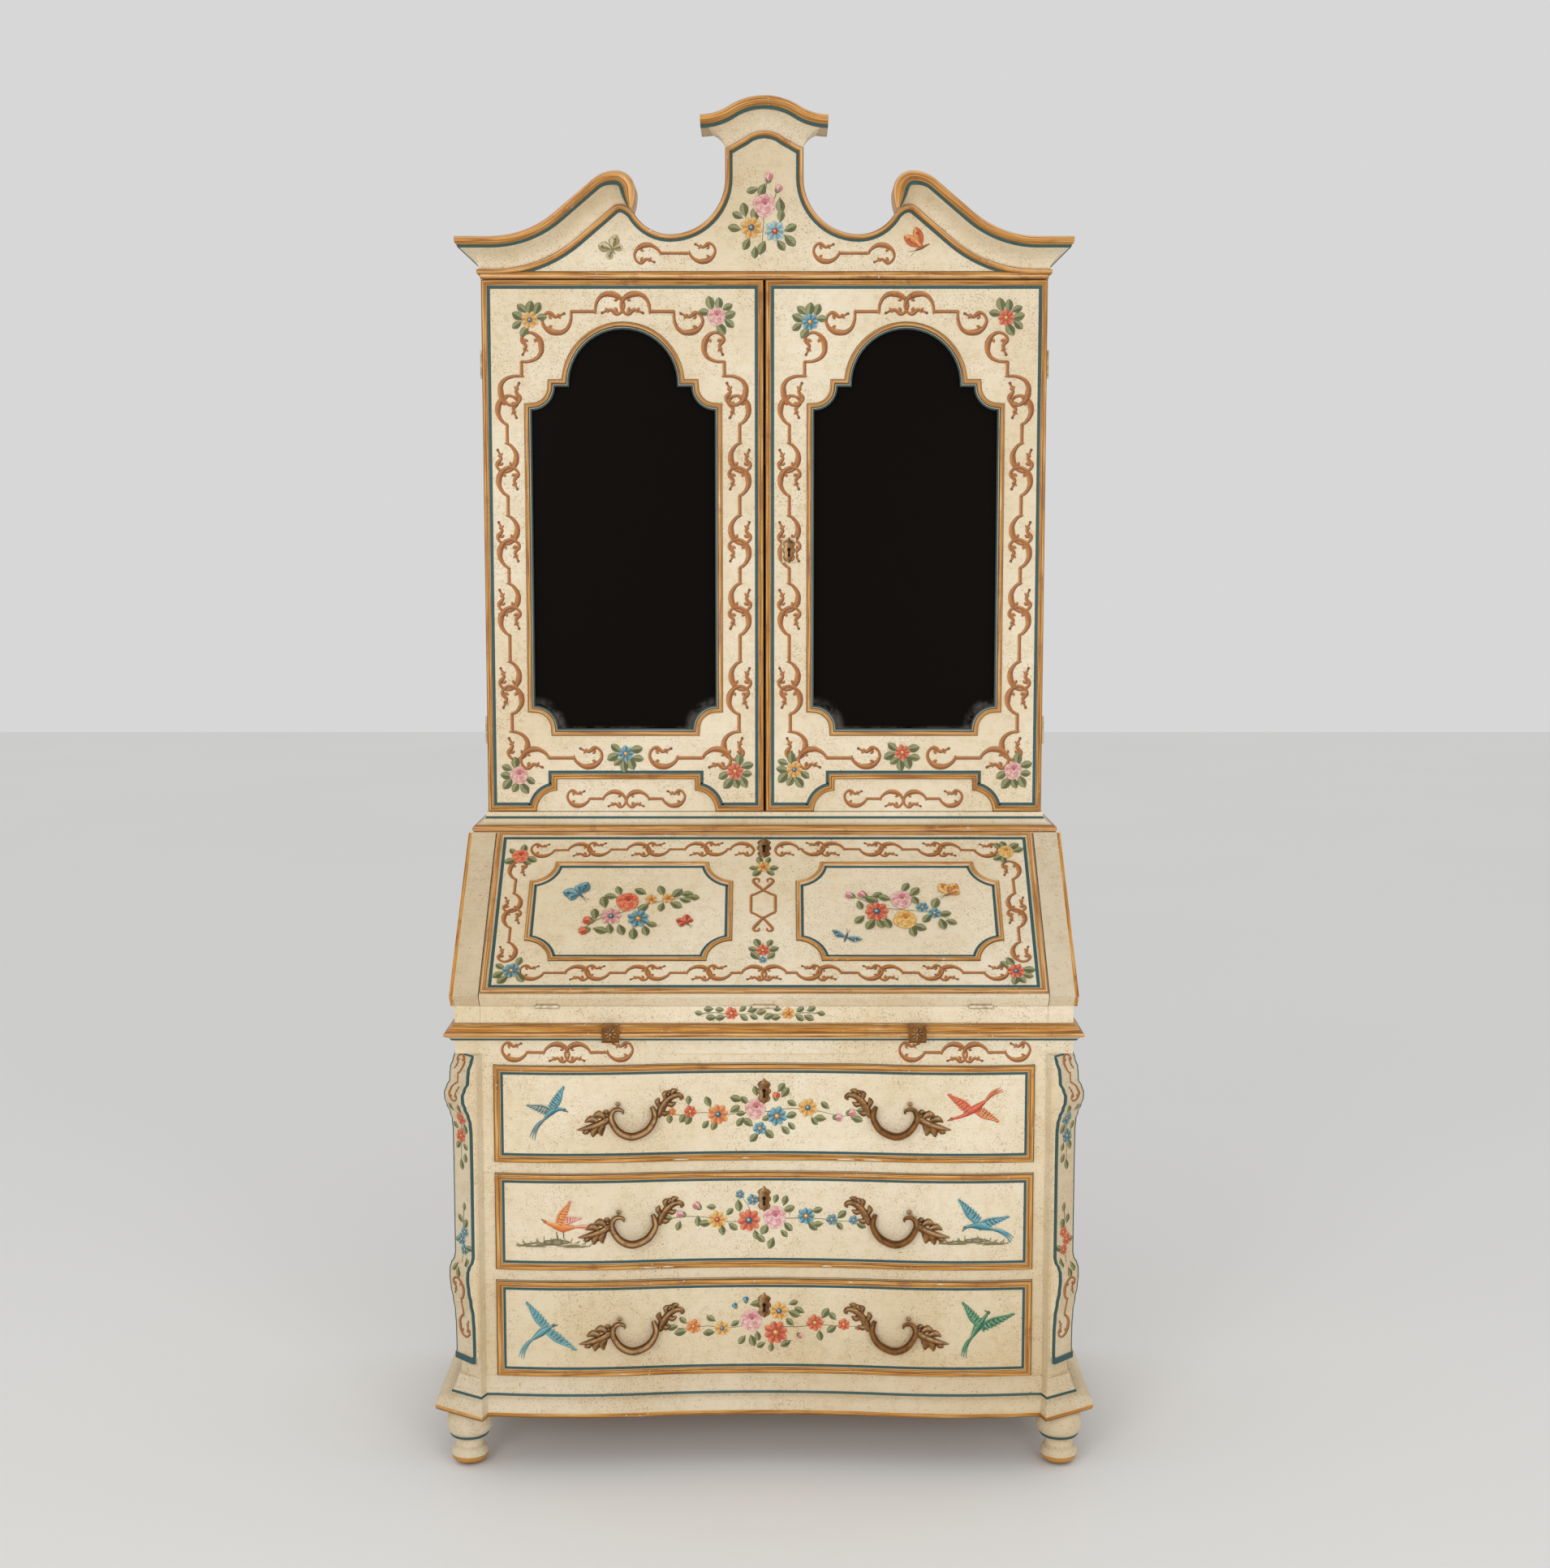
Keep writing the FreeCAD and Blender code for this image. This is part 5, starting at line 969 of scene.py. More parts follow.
    def wing(self, root, tip, depth, side, tone, feathers=9):
        """A spread wing: long feathers behind a bent leading edge, and short ones over their roots."""
        run = tip - root
        behind = Vector((-run.y, run.x)).normalized() * (side * depth)
        bend = [root, root + run * 0.34 - behind * 0.28, root + run * 0.70 - behind * 0.16, tip]
        lead = smooth_line(bend, 6)
        rows = []
        for k in range(9):
            start = lead[round(k / 8 * 18)]
            end = root + run * (0.04 + 0.96 * k / 8) + behind * (0.66 * (1 - (k / 8) ** 1.7))
            rows.append([start, start.lerp(end, 0.5), end])
        self.patch(rows, [mixed(tone[0], tone[1], 0.3), mixed(tone[0], tone[1], 0.6), tone[1]])
        for length, lift in ((1.0, 0.15), (0.52, 0.75)):
            shade = (tone[0], mixed(tone[1], tone[2], lift), tone[2])
            for k in range(feathers):
                share = 1 - k / (feathers - 1)
                start = lead[round(share * 14)]
                end = root + run * (0.05 + 0.95 * share) + behind * (0.85 * (1 - share ** 1.7))
                feather = end - start
                angle = math.degrees(math.atan2(feather.y, feather.x))
                self.leaf(start.x, start.y, angle, feather.length * length, depth * 0.16, shade)
        self.stroke(lead[::3], (depth * 0.14, depth * 0.13, depth * 0.10, depth * 0.06, 0.2), tone, 2)

    def bird(self, z, body, girth, wings, tail, tone, second, beak):
        """A flying bird at a height: its body's line from tail to head, its wings and its drooping tail."""
        def up(point):
            return Vector((point[0], point[1] + z))

        back = [up(point) for point in body]
        droop = 26 if math.cos(math.radians(tail[1])) < 0 else -26
        for spread in (-7, 7, 0):
            feather = [back[0]]
            for step in (-0.3, 0.3, 0.9):
                feather.append(feather[-1] + ray(tail[1] + spread + droop * step, tail[0] * 0.4))
            self.stroke([back[1]] + feather, (1.6, 1.9, 1.8, 1.3, 0.3), second, 4)
        for k, (root, tip, depth, side) in enumerate(wings):
            if k == 1:
                widths = [width * share for width, share in zip(girth, (0.7, 0.76, 0.46, 0.42))]
                self.stroke(back, widths, tone, 5)
            self.wing(up(root), up(tip), depth * 0.84, side, tone if k else second)
        head = back[-1]
        self.leaf(head.x, head.y, beak, 8.0, 1.2, (DARK, rgb(110, 84, 56), rgb(176, 136, 88)))
        self.spot(head.x, head.y, 2.9, mixed(tone[1], tone[2], 0.4), tone[0])
        self.spot(head.x + 0.4, head.y + 0.7, 0.7, DARK)

    def ground(self, x, z, width, rise):
        """A low mound of earth, stones and grass under a standing bird."""
        earth = (rgb(84, 74, 44), rgb(134, 120, 78), rgb(178, 164, 120))
        moss = (rgb(80, 80, 46), rgb(124, 122, 74), rgb(168, 164, 112))
        for k in range(18):
            share = ((k * 7) % 18) / 17 * 2 - 1
            half = width * (0.34 + 0.22 * ((k * 5) % 4) / 3) / 2
            u = x + share * (width - half)
            v = z + rise * (0.42 * (1 - share * share) - 0.11 * (k % 4))
            clod = [(u - half, v - 0.8), (u, v + 0.7), (u + half, v - 0.5 + (k % 3) * 0.8)]
            self.stroke(clod, (0.3, 1.5, 0.3), earth if k % 2 else moss, 3, lanes=RIDGE)
        for shift, size in ((0.10, 0.95), (-0.12, 0.6), (0.32, 0.5)):
            u, v = x + width * shift, z + rise * 0.42
            self.spot(u, v, rise * size, rgb(168, 156, 124), rgb(98, 86, 60), 0.42)
        for k in range(20):
            share = k / 19 * 2 - 1
            v = z + rise * 0.40 * (1 - share * share) - 1
            angle = 90 - share * 55 + 34 * ((k * 3) % 5 - 2) / 2
            self.leaf(x + share * width * 0.94, v, angle, rise * (0.45 + 0.14 * (k * 5 % 4)), 0.75, moss)


def garland(brush, flowers, leaves, stems, length=15.0):
    """A spray of flowers: stems first, then leaves, then the flowers."""
    hearts = [(f[1], f[2]) for f in flowers]
    for line in stems:
        brush.stem(line)
    brush.leaves(leaves, hearts, length)
    for kind, x, z, size, tone, extra in flowers:
        if kind == "rose":
            brush.rose(x, z, size, tone, extra)
        elif kind == "bud":
            brush.bud(x, z, extra, size, tone)
        else:
            brush.blossom(x, z, size, tone, extra, 6 if size < 14 else 8, x * 7 % 60)


# Profiles of the mouldings: inset, height and colour

# Along the profiles, pale is a painted highlight on a bead's crown, deep and brown are painted shade on its
# flanks and in its grooves, and shade is painted shade in hollows.
DOOR_BORDER = [
    (0, 0, "brown"), (0.2, 3, "brown"), (1.2, 4.2, "deep"), (2.4, 4.6, "gold"), (4.5, 4.3, "gold"),
    (5.1, 3.2, "deep"), (5.7, 3.2, "deep"), (6.2, 4.0, "gold"), (7.6, 4.2, "gold"), (8.3, 3.4, "deep"),
    (8.6, 2.6, "pale"), (9.5, 1.0, "pale"), (9.8, 0.4, "brown"), (10.3, 0.3, "blue"), (14.8, 0.3, "blue"),
    (15.1, 0.02, "blue"),
]
GLASS_RING = [
    (0.4, -7.6, "slate"), (0.4, 0.3, "slate"), (-2.3, 0.9, "slate"), (-2.5, 1.1, "tan"),
    (-3.2, 1.3, "tan"), (-3.4, 1.4, "slate"), (-4.8, 1.7, "slate"), (-5.0, 2.2, "brown"),
    (-5.4, 3.0, "pale"), (-6.2, 3.7, "gold"), (-8.9, 4.3, "gold"), (-10.2, 3.4, "deep"),
    (-11.2, 1.8, "pale"), (-11.8, 1.0, "brown"), (-12.6, 0.02, "brown"),
]
DRAWER_BORDER = [
    (0, -0.4, "brown"), (0.1, 2.6, "brown"), (0.9, 3.6, "brown"), (1.5, 4.0, "gold"), (6.1, 4.0, "gold"),
    (6.5, 3.5, "brown"), (7.2, 3.2, "brown"), (7.9, 3.4, "gold"), (9.0, 2.8, "gold"), (9.7, 0.9, "deep"),
    (10.0, 0.4, "tan"), (10.8, 0.3, "tan"), (11.0, 0.29, "slate"), (11.6, 0.28, "blue"),
    (14.4, 0.28, "blue"), (15.0, 0.28, "slate"), (15.3, 0.02, "slate"),
]
FALL_BORDER = [
    (0, 0, "brown"), (0.2, 2.6, "deep"), (1.4, 3.8, "gold"), (3.2, 4.2, "pale"), (4.4, 4.0, "gold"),
    (7.2, 3.8, "gold"), (8.6, 3.0, "deep"), (9.6, 2.6, "pale"), (10.8, 1.2, "tan"), (11.4, 0.35, "cream"),
    (12.2, 0.3, "blue"), (17.2, 0.3, "blue"), (17.5, 0.02, "blue"),
]
PANEL_RING = [
    (0, 0.02, "brown"), (0.5, 2.0, "brown"), (1.8, 3.7, "gold"), (4.6, 4.0, "gold"), (5.8, 3.0, "deep"),
    (6.5, 3.2, "pale"), (7.9, 2.4, "pale"), (8.6, 0.5, "tan"), (9.0, 0.3, "blue"), (13.0, 0.3, "blue"),
    (13.3, 0.02, "blue"),
]
BOARD_BEAD = [
    (-0.4, -8, "deep"), (0, 3.4, "deep"), (0.8, 5.4, "gold"), (2.6, 6.3, "pale"), (3.8, 6.4, "gold"),
    (6.0, 5.6, "gold"), (7.4, 4.0, "deep"), (8.2, 1.5, "brown"), (8.4, 1.2, "blue"), (12.2, 0.8, "blue"),
    (12.4, 0.02, "blue"),
]

# The profile of a turned foot: radius, height and colour
FOOT = [
    (0.0, 0.0, "brown"), (13.0, 0.0, "brown"), (19.5, 2.2, "brown"), (25.5, 6.0, "deep"),
    (29.0, 10.0, "gold"), (30.2, 13.0, "gold"), (30.8, 15.6, "gold"), (31.0, 16.2, "deep"),
    (31.0, 16.8, "dusty"), (30.6, 22.5, "dusty"), (28.4, 27.0, "dusty"), (24.8, 31.0, "shade"),
    (23.2, 34.0, "dusty"), (23.0, 40.0, "dusty"), (24.0, 44.0, "shade"), (26.0, 46.5, "shade"),
    (30.2, 48.0, "blue"), (32.2, 50.2, "blue"), (32.4, 52.8, "blue"), (31.6, 53.4, "shade"),
    (34.2, 55.5, "dusty"), (36.6, 59.5, "dusty"), (37.8, 64.5, "dusty"), (38.0, 70.0, "dusty"),
    (37.0, 78.0, "dusty"), (34.0, 86.0, "dusty"), (29.6, 92.2, "shade"),
]
# The mouldings round the case: height, how far out and colour (the plinth's is a share of its reach)
PLINTH = [
    (92.0, -1.1, "shade"), (92.0, 0.93, "brown"), (94.0, 0.98, "deep"), (96.4, 1.0, "gold"),
    (99.6, 1.0, "gold"), (100.2, 0.995, "shade"), (101.0, 0.99, "dusty"), (105.9, 0.97, "dusty"),
    (112.0, 0.87, "dusty"), (118.0, 0.68, "dusty"), (121.8, 0.45, "shade"), (123.2, 0.33, "shade"),
    (123.6, 0.32, "blue"), (127.4, 0.29, "blue"), (127.8, 0.27, "shade"), (129.0, 0.22, "dusty"),
    (134.0, 0.14, "dusty"), (144.0, 0.04, "dusty"), (155.3, 0.0, "dusty"), (155.4, -0.55, "cream"),
]
MID = [
    (752, -4, "deep"), (752, 1.5, "deep"), (748.5, 3.0, "deep"), (744, 6.4, "gold"), (740, 11.2, "gold"),
    (738.4, 13.8, "brown"), (737.4, 15.4, "gold"), (736.4, 16.5, "pale"), (735, 16.9, "gold"),
    (732.6, 16.2, "gold"), (731.0, 14.0, "brown"), (730.3, 11.0, "tan"), (729.9, 10.0, "cream"),
    (728.0, 8.6, "cream"), (727.7, 8.0, "blue"), (723.9, 4.6, "blue"), (723.1, 1.0, "blue"),
    (723.0, -4, "blue"),
]
WAIST = [
    (1033.6, -6, "deep"), (1033.6, 20, "deep"), (1034.4, 23, "gold"), (1037, 24.8, "pale"),
    (1039, 25, "gold"), (1042, 24, "gold"), (1044.4, 21, "deep"), (1045.0, 19.4, "brown"),
    (1045.6, 18, "shade"), (1047, 13.0, "cream"), (1049.5, 8.6, "cream"), (1052, 6.0, "cream"),
    (1054.4, 4.4, "shade"), (1054.8, 4.2, "blue"), (1058.4, 3.4, "blue"), (1058.8, 3.2, "shade"),
    (1059.6, 3.0, "cream"), (1066.1, 2.6, "cream"), (1066.2, -6, "cream"),
]
# The cornice's rim: how far below its edge, how far out and colour
RIM = [
    (21.0, -22.6, "shade"), (0, -22.6, "shade"), (0, 53.8, "gold"), (0.7, 55.0, "pale"),
    (3.0, 55.3, "gold"), (7.5, 55.0, "gold"), (10.8, 53.6, "deep"), (12.6, 51.4, "gold"),
    (13.6, 49.6, "brown"), (13.9, 49.3, "blue"), (17.2, 47.6, "blue"), (17.5, 44.0, "blue"),
    (17.6, 30.0, "shade"), (21.0, -22.6, "shade"),
]
# The band over the doors: height, how far out and colour
BAND = [
    (1977.6, 0, "brown"), (1978.0, 2.6, "deep"), (1980, 3.9, "gold"), (1983, 4.3, "pale"),
    (1984.4, 4.2, "gold"), (1987.5, 3.4, "gold"), (1989.5, 2.0, "deep"), (1990.8, 0, "brown"),
]


# The camera and its dip in degrees, the lamps with their share of the power, and the floor, in metres
EYE = (0.018, -3.7405, 1.531)
EYE_DIP = 6.3
FILM_WIDTH = 36
LAMPS = (("lamp_left", (-1.7, -4.0, 2.0), 1.1), ("lamp_right", (1.7, -4.0, 1.5), 0.9))
LAMP_SIZE = 1.5
LAMP_AIM = Vector((0, 0, 1))
FLOOR_HALF = 14


class SECRETARY_OT_stage(bpy.types.Operator):
    """Makes the floor, the light and the camera"""

    bl_idname = "secretary.stage"
    bl_label = "Stage"

    def execute(self, context):
        scene = context.scene
        settings = scene.secretary_stage
        scene.view_settings.view_transform = "Standard"
        camera = bpy.data.cameras.new("camera")
        camera.lens = settings.lens
        camera.sensor_width = FILM_WIDTH
        camera.sensor_fit = "AUTO"
        eye = bpy.data.objects.new("camera", camera)
        eye.location = EYE
        eye.rotation_euler = (math.radians(90 - EYE_DIP), 0, 0)
        scene.collection.objects.link(eye)
        scene.camera = eye
        world = bpy.data.worlds.new("studio")
        world.use_nodes = True
        sky = world.node_tree.nodes["Background"]
        sky.inputs["Color"].default_value = (1, 1, 1, 1)
        sky.inputs["Strength"].default_value = settings.sky
        scene.world = world
        for name, place, share in LAMPS:
            lamp = bpy.data.lights.new(name, "AREA")
            lamp.shape = "DISK"
            lamp.size = LAMP_SIZE
            lamp.energy = settings.lamp * share
            hung = bpy.data.objects.new(name, lamp)
            hung.location = place
            hung.rotation_euler = (LAMP_AIM - hung.location).to_track_quat("-Z", "Y").to_euler()
            scene.collection.objects.link(hung)
        bm = bmesh.new()
        bmesh.ops.create_grid(bm, x_segments=1, y_segments=1, size=FLOOR_HALF)
        mesh = bpy.data.meshes.new("floor")
        bm.to_mesh(mesh)
        bm.free()
        mesh.materials.append(pale_floor("pale_floor"))
        floor = bpy.data.objects.new("floor", mesh)
        scene.collection.objects.link(floor)
        return {"FINISHED"}


class SECRETARY_OT_boards(bpy.types.Operator):
    """Gives the plain boards, mirrors and hinges their finish"""

    bl_idname = "secretary.boards"
    bl_label = "Boards and Hinges"

    def execute(self, context):
        for name, finish in FINISHES.items():
            mesh = NODES[name].data
            mesh.materials.clear()
            mesh.materials.append(look(finish))
        return {"FINISHED"}


FOOT_PLACES = [(x, y) for x in (-494, 494) for y in (FRONT + 16, BACK - 46)]


class SECRETARY_OT_feet(bpy.types.Operator):
    """Turns the four feet"""

    bl_idname = "secretary.feet"
    bl_label = "Feet"

    def execute(self, context):
        colours = tints(FOOT)
        maker = Maker()
        for x, y in FOOT_PLACES:
            line = []
            for (radius, z, _), colour in zip(FOOT, colours):
                vert = maker.bm.verts.new(Vector((x + radius, y, z)) * MM)
                vert[maker.tint] = colour
                line.append(vert)
            edges = [maker.bm.edges.new(pair) for pair in zip(line, line[1:])]
            bmesh.ops.spin(
                maker.bm, geom=line + edges, cent=Vector((x, y, 0)) * MM, axis=(0, 0, 1),
                angle=2 * math.pi, steps=context.scene.secretary_sizes.turning_steps, use_merge=True,
            )
        bmesh.ops.remove_doubles(maker.bm, verts=maker.bm.verts[:], dist=WELD)
        bmesh.ops.recalc_face_normals(maker.bm, faces=maker.bm.faces[:])
        maker.piece("turned_feet", "carcass", "cream_paint", "bun_feet")
        return {"FINISHED"}


# Where the plinth's corner block has its ridge and ends, and the steps along the serpentine front
PLINTH_RIDGE = 469.0
PLINTH_BLOCK = 462.0
PLINTH_STEPS = 48


def plinth_line(share):
    """The plinth's edge in plan from the back left to the back right, where it stands out by a share."""
    outer = CASE_HALF + 3 + 41 * share
    swelling = 2.1 + 21.9 * share
    ahead = 19 + 27 * share
    ridge = PLINTH_RIDGE - 5 * share
    inner = PLINTH_BLOCK - 5 * share
    cant = (outer - ridge) * 0.65
    right = [(outer, REAR), (outer, FRONT - ahead + cant), (ridge, FRONT - ahead), (inner, FRONT - swelling)]
    line = [(-u, v) for u, v in right]
    for k in range(PLINTH_STEPS + 1):
        x = DRAWER_HALF * (2 * k / PLINTH_STEPS - 1)
        line.append((x, FRONT + swell(x) - swelling))
    return line + right[::-1]


def mitre(profile, half, face, side, back=False):
    """The cut of a moulding where it turns a front corner, or where it ends at the back."""
    return [((half + out) * side, REAR if back else face - out, z) for z, out, colour in profile]


class SECRETARY_OT_case_mouldings(bpy.types.Operator):
    """Runs the plinth, the mid moulding and the waist moulding round the case"""

    bl_idname = "secretary.case_mouldings"
    bl_label = "Case Mouldings"

    def execute(self, context):
        maker = Maker()
        rows = [[(u, v, z) for u, v in plinth_line(share)] for z, share, colour in PLINTH]
        colours = [[colour] * len(rows[0]) for colour in tints(PLINTH)]
        maker.sheet(rows, colours, away_from_middle, ends=(0, -1))
        maker.piece("plinth_edge", "carcass", "cream_paint", "plinth_moulding")

        def cut(x):
            return [(x, FRONT - out, z) for z, out, colour in MID]

        maker = Maker()
        left, right = [(MID, CASE_HALF, FRONT, side) for side in (-1, 1)]
        near, far = LOPER_PLACE - LOPER_SLOT, LOPER_PLACE + LOPER_SLOT
        for rows in (
            [mitre(*left, True), mitre(*left), cut(-far)],
            [cut(-near), cut(near)],
            [cut(far), mitre(*right), mitre(*right, True)],
        ):
            maker.sheet(rows, tints(MID), away_from_middle, caps=(0, -1))
        maker.piece("mid_edge", "carcass", "gilding", "mid_moulding")

        maker = Maker()
        left, right = [(WAIST, BOOK_HALF, DOOR_FACE, side) for side in (-1, 1)]
        rows = [mitre(*left, True), mitre(*left), mitre(*right), mitre(*right, True)]
        maker.sheet(rows, tints(WAIST), away_from_middle, caps=(0, -1))
        maker.piece("waist_edge", "carcass", "cream_paint", "waist_moulding")
        return {"FINISHED"}


# A pilaster strip's edge (inset, height or None on the post, colour), its levels, its foot and head
STRIP_EDGE = (
    (0, None, "cream"), (0, -4.4, "cream"), (0, -4.0, "blue"), (0, -0.6, "blue"), (0.6, 0, "blue"),
    (3.2, 0, "blue"), (3.6, 0, "dusty"),
)
STRIP_LEVELS = [701 - 2 * k for k in range(261)]
STRIP_FOOT, STRIP_HEAD = 192, 697
STRIP_FOOT_LIFT = 2.4
STRIP_HALF = 24.5
STRIP_ASIDE = 5

# The sprays of the left strip about its middle: flowers (place, size), leaves and stem
STRIP_SPRAYS = (
    (
        [(4, 594, 11.5), (-1, 564, 12.5)],
        [(-13, 612), (8, 611), (11, 578), (-13, 580), (-8, 549), (10, 547), (9, 528), (-1, 516)],
        [(0, 600), (2, 575), (-1, 545), (0, 508)],
    ),
    (
        [(4, 402, 9.5), (-5, 388, 10.5), (3, 372, 9.5)],
        [(4, 444), (-6, 423), (7, 416), (-13, 387), (15, 376), (13, 353), (-10, 343), (0, 335)],
        [(3, 452), (1, 410), (-1, 380), (0, 330)],
    ),
)


class SECRETARY_OT_pilasters(bpy.types.Operator):
    """Shapes the two pilaster strips and paints their scrolls and flowers"""

    bl_idname = "secretary.pilasters"
    bl_label = "Pilaster Strips"

    def execute(self, context):
        named = tones()
        for side, name in ((-1, "left"), (1, "right")):
            maker = Maker()
            face = strip_face(side)
            facing = Vector((side, -1, 0))
            mid = STRIP_ASIDE * side
            low, high = mid - STRIP_HALF, mid + STRIP_HALF
            columns = [(low + inset, lift, colour) for inset, lift, colour in STRIP_EDGE]
            columns.append((mid, 0, "dusty"))
            columns += [(high - inset, lift, colour) for inset, lift, colour in STRIP_EDGE[::-1]]
            rows, colours = [], []
            for z in STRIP_LEVELS:
                row, tint = [], []
                foot = STRIP_FOOT_LIFT if z < STRIP_FOOT else 0.0
                edged = not STRIP_FOOT <= z <= STRIP_HEAD
                for u, lift, colour in columns:
                    post = -strip_depth(z)
                    row.append(face(u, z, post if lift is None else max(lift + foot, post)))
                    tint.append(named["blue" if edged and lift is not None else colour])
                rows.append(row)
                colours.append(tint)
            maker.sheet(rows, colours, facing, caps=(0, -1))
            brush = Brush(maker, face, facing)
            brush.lift = 0.35
            brush.strap((mid + side, 655), (mid + side, 670), (-side, 0), (side, 0), 0.60)
            brush.strap((mid, 260), (mid, 289), (-side, 0), (side, 0), 0.76)

            def flip(u, z):
                return (mid - u * side, z)

            for (flowers, leaves, stem), tone in zip(STRIP_SPRAYS, (RED, BLUE)[::-side]):
                placed = [("open", *flip(u, z), size, tone, YELLOW) for u, z, size in flowers]
                leaves, stem = [[flip(*spot) for spot in spots] for spots in (leaves, stem)]
                garland(brush, placed, leaves, [stem], 16)
            nodes = ("pilaster_strips",) if side > 0 else ()
            maker.piece("pilaster_" + name, "carcass", "cream_paint", *nodes)
        return {"FINISHED"}


# A handle about its middle, its outer side to the right: the bow with its height off the drawer
HANDLE_PLACE = 215
BOW = (
    (-31, 17, 4), (-35, 8, 8), (-35, -4, 10), (-23, -21, 13), (1, -30, 14), (22, -22, 13), (34.5, -4, 10),
    (34, 8, 8), (27, 14.5, 7), (17, 12, 6), (16, 6, 5),
)
BOW_GIRTH = (3.4, 4.8, 5.6, 6.2, 6.6, 6.2, 5.4, 4.6, 3.8, 2.8, 1.2)
# Which of the dark, middle and light tones each side of the bow takes: painted shade and highlight round it.
BOW_SHADE_AND_HIGHLIGHT = (1, 2, 1, 0, 1, 1, 2, 1, 0, 1, 1)
BOW_STUD = ((24, 23, 3), (24, 23, 6), (24, 23, 9.5))

# The leaves of its outer and its inner side with their half widths
OUTER_LEAVES = (
    ([(46, 0), (56, 5), (66, 1)], (4, 6.8, 0.8)), ([(58, -6), (69, -3), (79, -8)], (4, 6.4, 0.8)),
    ([(48, -12), (53, -21), (51, -31)], (4.5, 7.2, 1.4)),
    ([(58, -16), (64, -24), (66, -33)], (4.5, 7.0, 1.2)), ([(38, 4), (44, 9), (49, 9)], (2.4, 4.6, 0.8)),
    ([(70, -18), (77, -24), (83, -26)], (3.2, 5.0, 0.8)),
)
OUTER_RIB = ([(36, 0), (44, -6), (58, -13), (75, -18), (92, -21)], (5, 6, 6.4, 4.8, 0.6))
INNER_RIB = (
    [(-33, 4), (-41, 2), (-47, 13), (-55, 25), (-65, 33), (-75, 35), (-80, 31), (-77, 27)],
    (3.4, 5.8, 6.4, 6.0, 5.4, 4.6, 3.6, 1.8),
)
INNER_LEAVES = (
    ([(-44, 8), (-52, 4), (-60, 7)], (3.2, 5.4, 0.8)),
    ([(-54, 22), (-63, 19), (-70, 23)], (3.2, 5.2, 0.8)),
    ([(-45, 14), (-40, 24), (-43, 31)], (3.0, 5.0, 0.8)),
    ([(-54, 28), (-52, 37), (-57, 42)], (3.0, 5.2, 1.0)),
    ([(-64, 34), (-66, 42), (-74, 43)], (3.0, 4.8, 0.8)),
)
BOW_EYE = 5.0


def handle(brush, maker, side, z, tone):
    """A cast handle: a hanging bow between a leaf on its outer side and a scroll on its inner side."""
    def at(u, v):
        return ((HANDLE_PLACE + u) * side, z + v)

    def bowed(points):
        return [Vector(drawer_face(*at(u, v), height)) for u, v, height in points]

    def cast(leaf, steps, dome):
        brush.stroke([at(*point) for point in leaf[0]], leaf[1], tone, steps, dome)

    # The bow and the cast leaves take dark and light tones across them: painted shade and painted highlight.
    maker.tube(bowed(BOW), BOW_GIRTH, [tone[k] for k in BOW_SHADE_AND_HIGHLIGHT])
    maker.tube(bowed(BOW_STUD), (1.0, 4.4, 0.6), tone[2], 3)
    for leaf in OUTER_LEAVES:
        cast(leaf, 4, 2.8)
    cast(OUTER_RIB, 4, 3.4)
    # The boss is lighter at its middle: a painted highlight.
    brush.spot(*at(43.6, -5), 7.0, tone[2], tone[1], 1.0, BOW_EYE)
    brush.lift += BOW_EYE
    brush.spot(*at(43.6, -5), 2.6, DARK)
    brush.lift -= BOW_EYE
    cast(INNER_RIB, 4, 3.4)
    for leaf in INNER_LEAVES:
        cast(leaf, 3, 2.8)
    # A small boss, lighter at its middle: a painted highlight.
    brush.spot(*at(-60, 40), 3.8, tone[2], tone[1], 1.0, 4.0)


# A key plate of full size: how wide it is at each height, and the scrolls on its right side
PLATE_WIDTH, PLATE_HEIGHT = 24, 43
PLATE = (
    (-21, 1.2), (-19, 3.2), (-17, 5), (-14.5, 8), (-12, 9.5), (-9, 9), (-6, 8), (-3, 9.6), (0, 10.5),
    (3, 9.8), (6, 8.5), (8.5, 9.6), (11, 10), (13, 8.6), (15, 6), (18, 3), (22, 0.6),
)
PLATE_SCROLLS = (
    ([(2, 17), (6, 15), (9, 11), (6.5, 8), (5, 9.5)], (1.0, 1.8, 2.0, 1.5, 0.8)),
    ([(5, 5), (8.5, 3), (9.5, -1), (7, -4), (5.5, -2)], (1.0, 1.8, 2.0, 1.5, 0.8)),
    ([(2, -18), (6, -16), (8.5, -11), (6, -8)], (1.0, 1.8, 2.0, 0.8)),
)
# The keyhole is a near-black dab on the plate: painted shade where the hole is.
KEYHOLE_SHADE = (0.003, 0.002, 0.002, 0)
KEYHOLE_LIFT = 3.0


